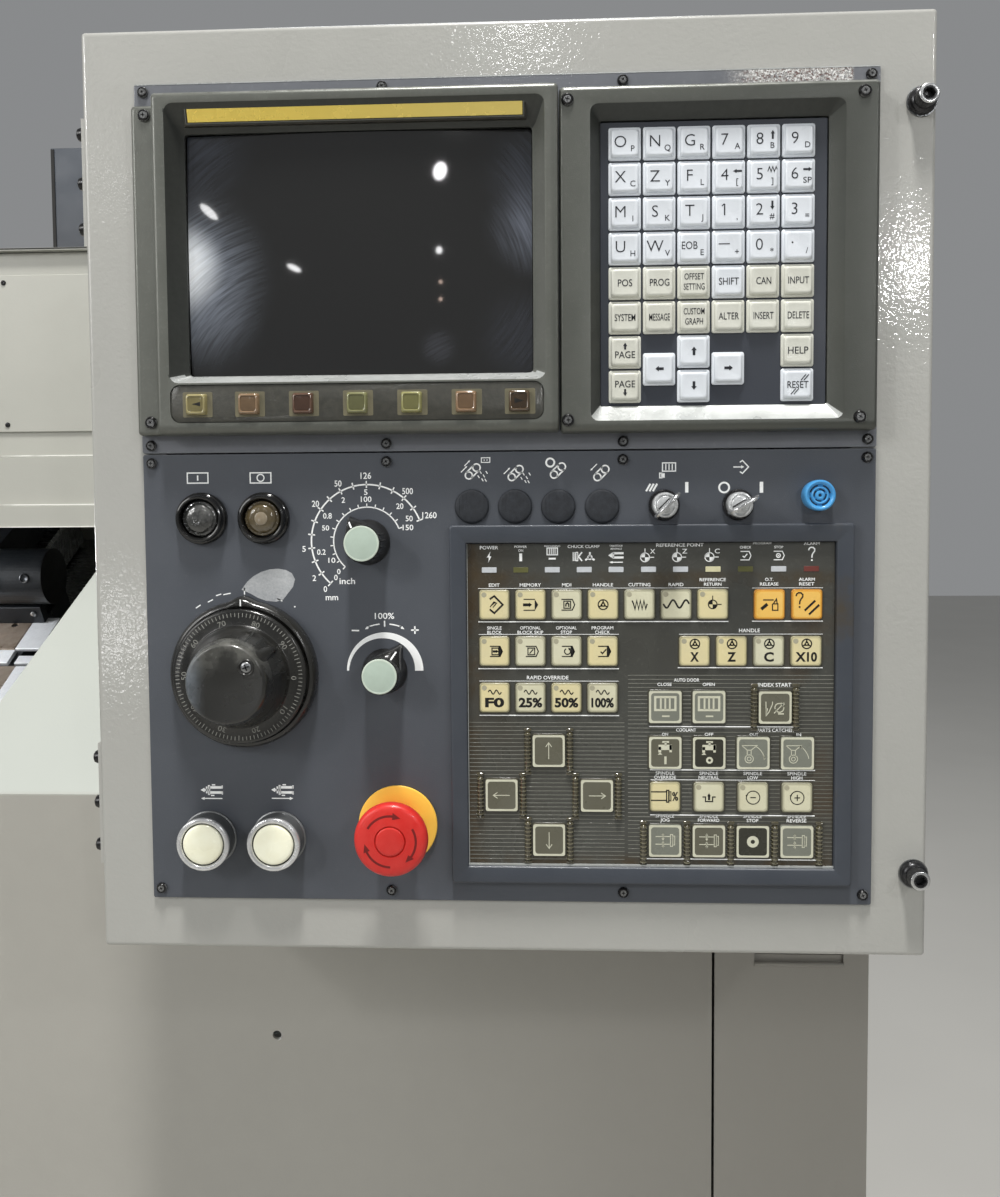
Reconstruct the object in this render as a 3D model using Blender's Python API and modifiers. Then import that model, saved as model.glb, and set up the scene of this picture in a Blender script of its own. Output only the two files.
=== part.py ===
"""CNC turning lathe: slant-bed machine with its operator's control station.

Metres, +Z up. The front of the machine faces -Y, the spindle lies along X with
the chuck on the left, and the control station hangs at the right-hand end.
The origin is on the floor under the centre of the machine's outer box.
"""

import math

import bmesh
import bpy
from mathutils import Matrix, Vector

# ---------------------------------------------------------------- dimensions
# Casing
X_END = 1.150            # half of the length over the two end casings
Y_CASE = -0.5535         # front plane of the casing
Z_SKIRT = 0.100          # lower edge of the casing sheets
Z_SEAM = 0.685           # joint between the lower and the upper front sheets
Z_SILL = 0.900           # lower edge of the loading opening
Z_BEND = 1.004           # fold between the upright front and the apron
APRON_RUN = 0.330        # depth of the sloped apron
APRON_RISE = 0.4983      # rise of the apron for each metre of depth
COVER_T = 0.300          # front face of the upper cover, behind the casing front
Z_COVER_LOW = 1.194
Z_COVER_TOP = 1.4690
REAR_T = 0.900           # rear wall, behind the casing front
SHEET = 0.0025           # casing sheet
X_OPEN_L = -0.300        # loading opening, left and right edges
X_OPEN_R = 0.4660
X_SEAM = 1.0397          # upright seam beside the right-hand end casing
GAP = 0.0005             # running and fitting gap between sheets

# Bed, in slope coordinates (x, s up the slope, n square to it)
SLOPE_DEG = 30.0
BED_T, BED_Z = 0.140, 0.7523
SPIN_S, SPIN_N = 0.5007, 0.147     # spindle axis in slope coordinates
CHUCK_R = 0.0845

# Control station: panel coordinates (u right, w up, d towards the operator)
X_PANEL = 0.8977
Z_PANEL = 1.220
Y_PANEL = -0.7035
DOOR_U, DOOR_W = 0.2386, 0.2642    # half width and half height of the station door
HINGE_U, HINGE_D = -0.2435, -0.0262
KEY_PITCH = 0.01893

MM = 0.001


# ------------------------------------------------------------------- helpers
def clear():
    for obj in list(bpy.data.objects):
        bpy.data.objects.remove(obj, do_unlink=True)


clear()
SCENE = bpy.context.scene
PARTS = bpy.data.collections.new("cnc_turning_lathe")
CUTTERS = bpy.data.collections.new("cutters")
SCENE.collection.children.link(PARTS)
SCENE.collection.children.link(CUTTERS)


def material(name, rgb, rough=0.5, metal=0.0, alpha=1.0):
    mat = bpy.data.materials.new(name)
    mat.use_nodes = True
    bsdf = mat.node_tree.nodes["Principled BSDF"]
    bsdf.inputs["Base Color"].default_value = (*rgb, 1.0)
    bsdf.inputs["Roughness"].default_value = rough
    bsdf.inputs["Metallic"].default_value = metal
    bsdf.inputs["Alpha"].default_value = alpha
    return mat


M = {
    "greige": material("casing_paint", (0.40, 0.385, 0.35), 0.38),
    "cream": material("cover_paint", (0.52, 0.51, 0.45), 0.42),
    "slate": material("plate_paint", (0.062, 0.070, 0.085), 0.45),
    "bezel": material("bezel_plastic", (0.085, 0.092, 0.085), 0.42),
    "dark": material("cabinet_paint", (0.07, 0.075, 0.085), 0.5),
    "black": material("black_plastic", (0.02, 0.02, 0.02), 0.35),
    "iron": material("cast_iron", (0.10, 0.11, 0.11), 0.55, 0.4),
    "steel": material("ground_steel", (0.55, 0.55, 0.54), 0.3, 1.0),
    "chrome": material("chrome", (0.75, 0.75, 0.76), 0.15, 1.0),
    "glass": material("screen_glass", (0.02, 0.022, 0.026), 0.08),
    "keys": material("key_sheet", (0.70, 0.70, 0.68), 0.35),
    "film": material("key_film", (0.10, 0.10, 0.09), 0.3),
    "red": material("stop_red", (0.62, 0.03, 0.03), 0.35),
    "yellow": material("ring_yellow", (0.85, 0.42, 0.03), 0.4),
    "ivory": material("button_ivory", (0.80, 0.76, 0.55), 0.3),
    "amber": material("lens_amber", (0.40, 0.25, 0.07), 0.2),
    "clear": material("lens_clear", (0.25, 0.25, 0.25), 0.15),
    "window": material("window", (0.75, 0.80, 0.80), 0.1, 0.0, 0.35),
}


def empty(name, location, rotation=(0, 0, 0), parent=None):
    obj = bpy.data.objects.new(name, None)
    obj.location = location
    obj.rotation_euler = rotation
    obj.parent = parent
    PARTS.objects.link(obj)
    return obj


def add(name, bm, mat=None, location=(0, 0, 0), rotation=(0, 0, 0), parent=None,
        cutter=False):
    bmesh.ops.recalc_face_normals(bm, faces=bm.faces)
    mesh = bpy.data.meshes.new(name)
    bm.to_mesh(mesh)
    bm.free()
    obj = bpy.data.objects.new(name, mesh)
    obj.location = location
    obj.rotation_euler = rotation
    obj.parent = parent
    if mat:
        mesh.materials.append(mat)
    (CUTTERS if cutter else PARTS).objects.link(obj)
    if cutter:
        obj.hide_render = True
        obj.display_type = "WIRE"
    return obj


def cube_bm(size, top=1.0):
    """A cube primitive at its real size; top shrinks its +Z face."""
    bm = bmesh.new()
    bmesh.ops.create_cube(bm, size=1.0)
    bmesh.ops.scale(bm, vec=size, verts=bm.verts)
    if top != 1.0:
        upper = [v for v in bm.verts if v.co.z > 0]
        bmesh.ops.scale(bm, vec=(top, top, 1.0), verts=upper)
    return bm


def box(name, lo, hi, mat=None, parent=None, bevel=0.0, origin=None, cutter=False,
        segments=1):
    """A box between two corners, given in its parent's frame; origin moves its pivot."""
    lo, hi = Vector(lo), Vector(hi)
    size, mid = hi - lo, (lo + hi) / 2
    bm = cube_bm(size)
    at = Vector(origin) if origin is not None else mid
    bmesh.ops.translate(bm, vec=mid - at, verts=bm.verts)
    obj = add(name, bm, mat, at, (0, 0, 0), parent, cutter)
    if bevel:
        round_edges(obj, bevel, segments)
    return obj


def round_edges(obj, width, segments=1, angle=40):
    mod = obj.modifiers.new("rounded", "BEVEL")
    mod.width = width
    mod.segments = segments
    mod.limit_method = "ANGLE"
    mod.angle_limit = math.radians(angle)
    return mod


def rod(name, centre, radius, length, axis="Z", mat=None, parent=None, segments=24,
        cutter=False, radius2=None):
    """A cylinder or cone primitive about its own axis, given in its parent's frame."""
    bm = bmesh.new()
    bmesh.ops.create_cone(bm, cap_ends=True, segments=segments, radius1=radius,
                          radius2=radius if radius2 is None else radius2, depth=length)
    turn = {"Z": (0, 0, 0), "X": (0, math.pi / 2, 0), "Y": (-math.pi / 2, 0, 0)}[axis]
    return add(name, bm, mat, centre, turn, parent, cutter)


def turned(name, profile, location, rotation=(0, 0, 0), mat=None, parent=None,
           steps=32, cutter=False):
    """A turned piece: (radius, height) points from the top of the axis, down the
    outer side, to the bottom, swept about the local Z axis with Screw."""
    mesh = bpy.data.meshes.new(name)
    bm = bmesh.new()
    closed = profile[0] == profile[-1]
    verts = [bm.verts.new((r, 0, z)) for r, z in (profile[:-1] if closed else profile)]
    for a, b in zip(verts, verts[1:] + (verts[:1] if closed else [])):
        bm.edges.new((a, b))
    bm.to_mesh(mesh)
    bm.free()
    obj = bpy.data.objects.new(name, mesh)
    obj.location = location
    obj.rotation_euler = rotation
    obj.parent = parent
    if mat:
        mesh.materials.append(mat)
    (CUTTERS if cutter else PARTS).objects.link(obj)
    mod = obj.modifiers.new("turn", "SCREW")
    mod.angle = 2 * math.pi
    mod.steps = steps
    mod.render_steps = steps
    mod.use_merge_vertices = True
    mod.merge_threshold = 0.00005
    if cutter:
        obj.hide_render = True
        obj.display_type = "WIRE"
    return obj


def folded(name, profile, x0, x1, mat, thick=SHEET, parent=None, offset=-1.0):
    """Sheet metal folded to a (y, z) profile and run from x0 to x1, with Solidify.
    The profile is the outer surface; offset -1 puts the thickness behind it."""
    bm = bmesh.new()
    verts = [bm.verts.new((x0, y, z)) for y, z in profile]
    edges = [bm.edges.new((a, b)) for a, b in zip(verts, verts[1:])]
    made = bmesh.ops.extrude_edge_only(bm, edges=edges)["geom"]
    moved = [g for g in made if isinstance(g, bmesh.types.BMVert)]
    bmesh.ops.translate(bm, vec=(x1 - x0, 0, 0), verts=moved)
    # the outer side is on the left of the profile's direction of travel
    bm.normal_update()
    face = next(f for f in bm.faces if verts[0] in f.verts and verts[1] in f.verts)
    run = Vector(profile[1]) - Vector(profile[0])
    if face.normal.dot(Vector((0, -run.y, run.x))) < 0:
        bmesh.ops.reverse_faces(bm, faces=bm.faces)
    mesh = bpy.data.meshes.new(name)
    bm.to_mesh(mesh)
    bm.free()
    obj = bpy.data.objects.new(name, mesh)
    obj.parent = parent
    mesh.materials.append(mat)
    PARTS.objects.link(obj)
    mod = obj.modifiers.new("sheet", "SOLIDIFY")
    mod.thickness = thick
    mod.offset = offset
    mod.use_even_offset = True
    return obj


def outline(name, points, plane, at, thick, mat, parent=None):
    """A flat sheet cut to an outline: a filled 2D curve, extruded by half its
    thickness. plane YZ puts it square to X at x = at."""
    curve = bpy.data.curves.new(name, "CURVE")
    curve.dimensions = "2D"
    curve.fill_mode = "BOTH"
    curve.extrude = thick / 2
    spline = curve.splines.new("POLY")
    spline.points.add(len(points) - 1)
    for point, (a, b) in zip(spline.points, points):
        point.co = (a, b, 0, 1)
    spline.use_cyclic_u = True
    turn = {"YZ": (math.pi / 2, 0, math.pi / 2), "XZ": (math.pi / 2, 0, 0)}[plane]
    place = {"YZ": (at, 0, 0), "XZ": (0, at, 0)}[plane]
    helper = bpy.data.objects.new(name + "_curve", curve)
    helper.location = place
    helper.rotation_euler = turn
    SCENE.collection.objects.link(helper)
    bpy.context.view_layer.update()
    graph = bpy.context.evaluated_depsgraph_get()
    mesh = bpy.data.meshes.new_from_object(helper.evaluated_get(graph))
    matrix = helper.matrix_world.copy()
    bpy.data.objects.remove(helper, do_unlink=True)
    bm = bmesh.new()
    bm.from_mesh(mesh)
    bmesh.ops.remove_doubles(bm, verts=bm.verts, dist=0.00001)
    bmesh.ops.recalc_face_normals(bm, faces=bm.faces)
    bm.to_mesh(mesh)
    bm.free()
    mesh.name = name
    mesh.materials.clear()
    mesh.materials.append(mat)
    obj = bpy.data.objects.new(name, mesh)
    obj.matrix_world = matrix
    obj.parent = parent
    PARTS.objects.link(obj)
    return obj


def boolean(obj, other, operation):
    mod = obj.modifiers.new(operation.lower(), "BOOLEAN")
    mod.operation = operation
    mod.solver = "EXACT"
    mod.object = other
    other.hide_render = True
    other.display_type = "WIRE"
    for collection in list(other.users_collection):
        collection.objects.unlink(other)
    CUTTERS.objects.link(other)
    return mod


def cut(obj, *others):
    for other in others:
        boolean(obj, other, "DIFFERENCE")
    return obj


def join(obj, *others):
    for other in others:
        boolean(obj, other, "UNION")
    return obj


# -------------------------------------------------------------- base and feet
y0 = Y_CASE
base = box("base_casting", (-1.05, y0 + 0.050, 0.060), (1.05, y0 + 0.860, 0.3095),
           M["iron"], bevel=0.008)
cut(base, box("base_hollow", (-1.015, y0 + 0.085, 0.000), (1.015, y0 + 0.825, 0.2800),
              cutter=True))
for label, x, t in (("front_left", -0.95, 0.15), ("front_right", 0.95, 0.15),
                    ("rear_left", -0.95, 0.75), ("rear_right", 0.95, 0.75)):
    turned("leveling_foot_" + label,
           [(0, 0.0595), (0.012, 0.0595), (0.012, 0.024), (0.030, 0.020),
            (0.045, 0.016), (0.045, 0.0), (0, 0.0)],
           (x, y0 + t, 0), mat=M["steel"], steps=20)
    # the foot's stud goes up into a boss under the casting
    join(base, box("boss_" + label, (x - 0.06, y0 + t - 0.06, 0.060),
                   (x + 0.06, y0 + t + 0.06, 0.290), cutter=True))

# ------------------------------------------------------------------------ bed
bed = outline("slant_bed", [(y0 + BED_T, 0.310), (y0 + BED_T, BED_Z),
                            (y0 + 0.850, BED_Z + 0.710 * math.tan(math.radians(SLOPE_DEG))),
                            (y0 + 0.850, 0.310)], "YZ", 0.0, 2.04, M["iron"])
slope = empty("slope_frame", (0, y0 + BED_T, BED_Z), (math.radians(SLOPE_DEG), 0, 0))
# the casting is a shell, open underneath
hollow = outline("bed_hollow", [(y0 + BED_T + 0.035, 0.250), (y0 + BED_T + 0.035, BED_Z - 0.020),
                                (y0 + 0.815, BED_Z + 0.675 * math.tan(math.radians(SLOPE_DEG))
                                 - 0.040), (y0 + 0.815, 0.250)], "YZ", 0.0, 1.97, M["iron"])
cut(bed, hollow)

# ----------------------------------------------------------- headstock, chuck
head = box("headstock", (-1.000, SPIN_S - 0.155, 0.0005), (-0.460, SPIN_S + 0.165, 0.245),
           M["iron"], parent=slope, bevel=0.020, segments=2)
spin = empty("spindle_axis", (0, SPIN_S, SPIN_N), parent=slope)
cut(head, rod("head_bore", (-0.73, SPIN_S, SPIN_N), 0.0480, 0.8, "X", parent=slope,
              cutter=True, segments=32))
turned("spindle", [(0, -0.4225), (0.070, -0.4225), (0.070, -0.4450), (0.0420, -0.4480),
                   (0.0420, -1.0300), (0.0700, -1.0300), (0.0700, -1.1000), (0, -1.1000)],
       (0, 0, 0), (0, math.pi / 2, 0), M["steel"], parent=spin, steps=28)
chuck = turned("chuck_body", [(0, -0.3300), (0.0300, -0.3300), (0.0800, -0.3300),
                              (CHUCK_R, -0.3345), (CHUCK_R, -0.4175), (0.0800, -0.4220),
                              (0, -0.4220)],
               (0, 0, 0), (0, math.pi / 2, 0), M["steel"], parent=spin, steps=36)
JAW_ANGLES = (90.0, 210.0, 330.0)
for i, degrees in enumerate(JAW_ANGLES):
    # each jaw lies along its own radius; local Z is the radius
    axle = empty(f"jaw_axis_{i + 1}", (0, 0, 0), (math.radians(degrees - 90), 0, 0),
                 parent=spin)
    jaw = box(f"chuck_jaw_{i + 1}", (-0.3295, -0.0130, 0.0260), (-0.3060, 0.0130, 0.0800),
              M["steel"], parent=axle)
    join(jaw, box(f"jaw_step_{i + 1}", (-0.3100, -0.0110, 0.0260), (-0.2900, 0.0110, 0.0520),
                  parent=axle, cutter=True))

# ------------------------------------------------------- saddle, turret, tail
saddle = box("saddle", (-0.0550, 0.600, 0.0030), (0.2100, 0.810, 0.0600), M["iron"],
             parent=slope, bevel=0.004)
turret = box("turret_slide", (-0.0450, 0.605, 0.0605), (0.1900, 0.800, 0.1150),
             M["iron"], parent=slope)
join(turret, box("turret_housing", (-0.0600, 0.625, 0.1000), (0.1400, 0.775, 0.2250),
                 parent=slope, cutter=True))
disc_axis = empty("turret_axis", (0, 0.700, SPIN_N), parent=slope)
disc = rod("turret_disc", (-0.1090, 0, 0), 0.1050, 0.0900, "X", M["steel"],
           parent=disc_axis, segments=12)
for i in range(6):
    axle = empty(f"tool_axis_{i + 1}", (0, 0, 0), (math.radians(60 * i + 15), 0, 0),
                 parent=disc_axis)
    join(disc, box(f"tool_block_{i + 1}", (-0.1520, -0.0190, 0.0900),
                   (-0.0900, 0.0190, 0.1280), parent=axle, cutter=True))

tail = box("tailstock_body", (0.1000, 0.360, 0.0030), (0.3000, 0.556, 0.0900),
           M["iron"], parent=slope)
join(tail,
     box("tail_neck", (0.1050, SPIN_S - 0.012, 0.0800), (0.2950, SPIN_S + 0.050, 0.1450),
         parent=slope, cutter=True),
     rod("tail_barrel", (0.2110, SPIN_S, SPIN_N), 0.0340, 0.2220, "X", parent=slope,
         cutter=True, segments=56))
cut(tail, rod("tail_bore", (0.1600, SPIN_S, SPIN_N), 0.0268, 0.1900, "X", parent=slope,
              cutter=True, segments=28))
turned("tailstock_quill", [(0, 0.2400), (0.0260, 0.2400), (0.0260, 0.0250), (0.0200, 0.0200),
                           (0.0200, 0.0080), (0.0010, -0.0300), (0, -0.0300)],
       (0, 0, 0), (0, math.pi / 2, 0), M["steel"], parent=spin, steps=28)

# -------------------------------------------------------------- casing sheets
front = outline("front_lower_casing",
                [(-X_END + 0.003, Z_SKIRT), (X_SEAM - 0.001, Z_SKIRT), (X_SEAM - 0.001, Z_SEAM),
                 (X_OPEN_R - 0.002, Z_SEAM), (X_OPEN_R - 0.002, Z_SILL),
                 (X_OPEN_L + 0.002, Z_SILL), (X_OPEN_L + 0.002, Z_SEAM), (-X_END + 0.003, Z_SEAM)],
                "XZ", y0 + SHEET / 2, SHEET, M["greige"])
join(front, box("sill_return", (X_OPEN_L + 0.002, y0, Z_SILL - SHEET),
                (X_OPEN_R - 0.002, y0 + 0.060, Z_SILL), cutter=True))

z_apron = Z_BEND + APRON_RISE * APRON_RUN
apron = [(y0, Z_SEAM + 0.002), (y0, Z_BEND), (y0 + APRON_RUN, z_apron)]
right_front = folded("right_front_casing", apron, X_OPEN_R, X_SEAM - 0.001, M["greige"])
# an open screw hole in the upright below the station
cut(right_front, rod("open_hole", (0.7207, y0, 0.8250), 0.0033, 0.020, "Y", cutter=True,
                     segments=24))
folded("headstock_casing", apron, -X_END + 0.003, X_OPEN_L, M["greige"])

end_line = [(y0, Z_SKIRT), (y0, Z_BEND),
            (y0 + COVER_T, Z_BEND + APRON_RISE * COVER_T),
            (y0 + COVER_T, Z_COVER_TOP - 0.0003),
            (y0 + REAR_T - 0.0005, Z_COVER_TOP - 0.0003), (y0 + REAR_T - 0.0005, Z_SKIRT)]
outline("left_end_casing", end_line, "YZ", -X_END + SHEET / 2, SHEET, M["greige"])
right_end = folded("right_end_casing", [(y0, Z_SKIRT), (y0, Z_BEND),
                                        (y0 + APRON_RUN, z_apron)],
                   X_SEAM + 0.001, X_END, M["greige"])
wall = [(y0 + 0.0010, Z_SKIRT), (y0 + 0.0010, Z_BEND - 0.001),
        (y0 + COVER_T + 0.0035, Z_BEND + APRON_RISE * COVER_T - 0.0005),
        (y0 + COVER_T + 0.0035, Z_COVER_TOP - 0.0003),
        (y0 + REAR_T - 0.0005, Z_COVER_TOP - 0.0003), (y0 + REAR_T - 0.0005, Z_SKIRT)]
join(right_end, outline("right_wall", wall, "YZ", X_END - SHEET / 2, SHEET, M["greige"]))
# a pressed finger slot near the top of the narrow front strip
cut(right_end, box("slot_cutter", (1.0690, y0 - 0.01, 0.8848), (1.1322, y0 + 0.01, 0.8915),
                   cutter=True))

c = y0 + COVER_T
folded("upper_front_cover",
       [(c + 0.080, Z_COVER_LOW), (c - 0.016, Z_COVER_LOW), (c - 0.016, 1.2155),
        (c - 0.012, 1.2175), (c - 0.012, 1.2645), (c, 1.2665), (c, Z_COVER_TOP)],
       -X_END + 0.003, X_END - 0.003, M["cream"])
box("access_plate", (-0.550, c - 0.0025, 1.2903), (0.620, c - 0.0005, 1.4472), M["cream"],
    bevel=0.0006)
folded("roof_and_rear_cover",
       [(c - 0.008, 1.4725), (y0 + REAR_T + 0.0030, 1.4725), (y0 + REAR_T + 0.0030, Z_SKIRT)],
       -X_END, X_END, M["cream"])

# --------------------------------------------------------------- sliding door
DOOR_X0, DOOR_X1 = -1.135, -0.330
tilt = math.atan(APRON_RISE)
line_z = lambda t: 1.0147 + APRON_RISE * (t + 0.0054)
door = folded("sliding_door",
              [(y0 - 0.012, 0.870), (y0 - 0.012, line_z(-0.012)),
               (y0 + 0.262, line_z(0.262)), (y0 + 0.262, 1.2620)],
              DOOR_X0, DOOR_X1, M["greige"], thick=0.003, offset=1.0)
pane = empty("pane_frame", (0, y0 - 0.012, line_z(-0.012)), (tilt, 0, 0))
cut(door, box("pane_cutter", (-0.990, 0.045, -0.05), (-0.475, 0.255, 0.05), parent=pane,
              cutter=True))
box("door_window", (-1.005, 0.030, 0.0035), (-0.460, 0.270, 0.0085), M["window"],
    parent=pane, bevel=0.0010)


def tube(name, points, radius, mat, parent=None, resolution=2):
    """A bent round bar: a poly curve with a round bevel and filled ends, as a mesh."""
    curve = bpy.data.curves.new(name, "CURVE")
    curve.dimensions = "3D"
    curve.bevel_depth = radius
    curve.bevel_resolution = resolution
    curve.use_fill_caps = True
    spline = curve.splines.new("POLY")
    spline.points.add(len(points) - 1)
    for point, co in zip(spline.points, points):
        point.co = (*co, 1)
    helper = bpy.data.objects.new(name + "_curve", curve)
    SCENE.collection.objects.link(helper)
    bpy.context.view_layer.update()
    graph = bpy.context.evaluated_depsgraph_get()
    mesh = bpy.data.meshes.new_from_object(helper.evaluated_get(graph))
    bpy.data.objects.remove(helper, do_unlink=True)
    bm = bmesh.new()
    bm.from_mesh(mesh)
    bmesh.ops.remove_doubles(bm, verts=bm.verts, dist=0.00001)
    bmesh.ops.recalc_face_normals(bm, faces=bm.faces)
    bm.to_mesh(mesh)
    bm.free()
    mesh.name = name
    mesh.materials.clear()
    mesh.materials.append(mat)
    obj = bpy.data.objects.new(name, mesh)
    obj.parent = parent
    PARTS.objects.link(obj)
    return obj


hy = y0 - 0.0155
tube("door_handle", [(-0.372, hy, 0.985), (-0.372, hy - 0.034, 0.985),
                     (-0.372, hy - 0.042, 0.977), (-0.372, hy - 0.042, 0.893),
                     (-0.372, hy - 0.034, 0.885), (-0.372, hy, 0.885)], 0.007, M["black"])

# ------------------------------------------------- electrical cabinet and tank
cx0, cx1 = 0.142, X_END
cabinet = box("electrical_cabinet", (cx0, y0 + 0.905, 0.120), (cx1, y0 + 1.2765, 1.776),
              M["dark"])
cut(cabinet, box("cabinet_room", (cx0 + 0.004, y0 + 0.909, 0.124),
                 (cx1 - 0.004, y0 + 1.40, 1.772), cutter=True))
cab_hinge = empty("cabinet_door_hinge", (cx1, y0 + 1.2780, 0.9))
cabinet_door = box("cabinet_door", (cx0 - cx1, 0.0, -0.778), (0.0, 0.0210, 0.874),
                   M["dark"], parent=cab_hinge, bevel=0.002)
cut(cabinet_door, box("door_room", (cx0 - cx1 + 0.003, -0.02, -0.775),
                      (-0.003, 0.0180, 0.871), parent=cab_hinge, cutter=True))
tank = box("coolant_tank", (-1.020, y0 + 0.925, 0.004), (0.080, y0 + 1.290, 0.300),
           M["greige"], bevel=0.006)
cut(tank, box("tank_room", (-1.012, y0 + 0.933, 0.012), (0.072, y0 + 1.282, 0.400),
              cutter=True))

# --------------------------------------------------------------------- station
panel = empty("panel_frame", (X_PANEL, Y_PANEL, Z_PANEL), (math.pi / 2, 0, 0))
pivot = empty("station_door_hinge", (HINGE_U, 0, HINGE_D), parent=panel)


def pbox(name, u0, u1, w0, w1, d0, d1, mat=None, cutter=False, bevel=0.0, fixed=False,
         segments=1, origin=None):
    """A box in panel millimetres. It hangs on the station door unless fixed."""
    shift = Vector((0, 0, 0)) if fixed else Vector((HINGE_U, 0, HINGE_D))
    lo = Vector((u0, w0, d0)) * MM - shift
    hi = Vector((u1, w1, d1)) * MM - shift
    at = None if origin is None else Vector(origin) * MM - shift
    return box(name, lo, hi, mat, panel if fixed else pivot, bevel, at, cutter, segments)


def pturned(name, u, w, profile, mat=None, cutter=False, steps=32):
    """A turned piece on the station door: (radius, d) points in millimetres."""
    return turned(name, [(r * MM, d * MM) for r, d in profile],
                  Vector((u, w, 0)) * MM - Vector((HINGE_U, 0, HINGE_D)),
                  (0, 0, 0), mat, pivot, steps, cutter)


def prod(name, u, w, radius, d0, d1, cutter=True, segments=24, mat=None):
    return rod(name, Vector((u, w, (d0 + d1) / 2)) * MM - Vector((HINGE_U, 0, HINGE_D)),
               radius * MM, (d1 - d0) * MM, "Z", mat, pivot, segments, cutter)


# station housing: a full-height tray in front and a deeper hood above the apron
housing = pbox("station_housing", -238.6, 238.6, -264.2, 264.2, -147.0, -27.5,
               M["greige"], fixed=True)
join(housing, pbox("hood", -228.0, 228.0, -55.0, 252.0, -432.5, -140.0, cutter=True,
                   fixed=True))
cut(housing, pbox("tray_room", -236.1, 236.1, -261.7, 261.7, -144.5, -20.0, cutter=True,
                  fixed=True),
    pbox("hood_room", -225.5, 225.5, -52.5, 249.5, -430.0, -100.0, cutter=True,
         fixed=True))

DU, DW = 238.6, 264.2
station_door = pbox("station_door", -DU, DU, -DW, DW, -31.0, 0.0, M["greige"],
                    bevel=0.0028, segments=2)
cut(station_door,
    pbox("door_trim", -DU - 5, DU + 5, -DW - 5, DW + 5, -45.0, -25.0, cutter=True),
    pbox("door_hollow", -DU + 2.2, DU - 2.2, -DW + 2.2, DW - 2.2, -50.0, -2.2, cutter=True),
    pbox("door_aperture", -194.0, 194.0, -221.0, 221.0, -40.0, 10.0, cutter=True),
    prod("bolt_hole_upper", 230.1, 214.0, 3.6, -10, 10, segments=16),
    prod("bolt_hole_lower", 231.1, -215.8, 3.6, -10, 10, segments=16))
for label, u, w in (("upper", 230.1, 214.0), ("lower", 231.1, -215.8)):
    pturned("station_bolt_" + label, u, w,
            [(0, 7.0), (2.6, 7.0), (2.9, 13.0), (4.6, 13.0), (5.2, 12.4), (5.2, 6.0),
             (7.3, 4.2), (7.4, 0.5), (3.1, 0.5), (3.1, -17.0), (0, -17.0)],
            M["black"], steps=20)
for label, w in (("upper", 181.5), ("lower", -179.5)):
    leaf = pbox("station_hinge_" + label, -241.2, -238.9, w - 36, w + 36, -24.0, -4.0,
                M["black"])
    join(leaf, rod("knuckle_" + label, (0.0, w * MM, 0.0), 0.0034, 0.060, "Y",
                   parent=pivot, cutter=True, segments=16),
         pbox("web_" + label, -243.0, -240.4, w - 29, w + 29, -26.0, -20.0, cutter=True))

# face plates
upper_plate = pbox("upper_face_plate", -207.6, 207.4, 25.9, 233.2, 0.4, 2.3, M["slate"])
cut(upper_plate, pbox("screen_port", -181.5, 20.5, 62.0, 210.0, -5, 8, cutter=True))
lower_plate = pbox("lower_face_plate", -207.4, 207.2, -233.6, 25.2, 0.4, 2.3, M["slate"])
cut(lower_plate, pbox("keys_port", -18.0, 181.0, -207.0, -30.0, -5, 8, cutter=True))
POWER = ((-173.6, -11.5), (-137.6, -11.6))
PUSH = ((-173.0, -197.5), (-132.3, -197.3))
KEYSW = ((90.0, -5.6), (131.2, -5.7))
DIALS = ((-78.0, -25.6), (-69.0, -99.5))
MPG = (-149.8, -100.7)
STOP = (-62.5, -188.8)
CAPS = ((-18.3, -5.7), (6.2, -5.8), (30.6, -6.0), (55.3, -6.1))
# rings, plugs and the sounder that are screwed into the lower plate
for i, (u, w) in enumerate(POWER):
    join(lower_plate, pturned(f"power_ring_{i}", u, w,
                              [(0, 6.5), (11.2, 6.5), (12.6, 9.0), (14.0, 8.0), (14.4, 6.0),
                               (14.4, 1.0), (0, 1.0)], cutter=True, steps=24))
for i, (u, w) in enumerate(CAPS):
    join(lower_plate, pturned(f"plug_{i}", u, w, [(0, 4.2), (8.8, 4.0), (9.5, 3.2),
                                                  (9.5, 1.0), (0, 1.0)],
                              cutter=True, steps=20))
for i, (u, w) in enumerate(KEYSW):
    join(lower_plate, pturned(f"lock_ring_{i}", u, w, [(0, 5.0), (8.2, 5.0), (8.8, 4.2),
                                                       (8.8, 1.0), (0, 1.0)],
                              cutter=True, steps=20))
join(lower_plate, pturned("sounder", 174.6, -0.8,
                          [(0, 11.5), (8.2, 11.5), (9.0, 10.6), (9.2, 1.0), (0, 1.0)],
                          cutter=True, steps=24))
# shaft and button holes through the plate and its rings
for i, ((u, w), r) in enumerate([(POWER[0], 10.6), (POWER[1], 10.6), (KEYSW[0], 7.4),
                                 (KEYSW[1], 7.4), (DIALS[0], 4.5), (DIALS[1], 4.5),
                                 (PUSH[0], 12.2), (PUSH[1], 12.2), (STOP, 11.8),
                                 (MPG, 26.0)]):
    cut(lower_plate, prod(f"plate_hole_{i}", u, w, r, -6, 16))

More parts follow.
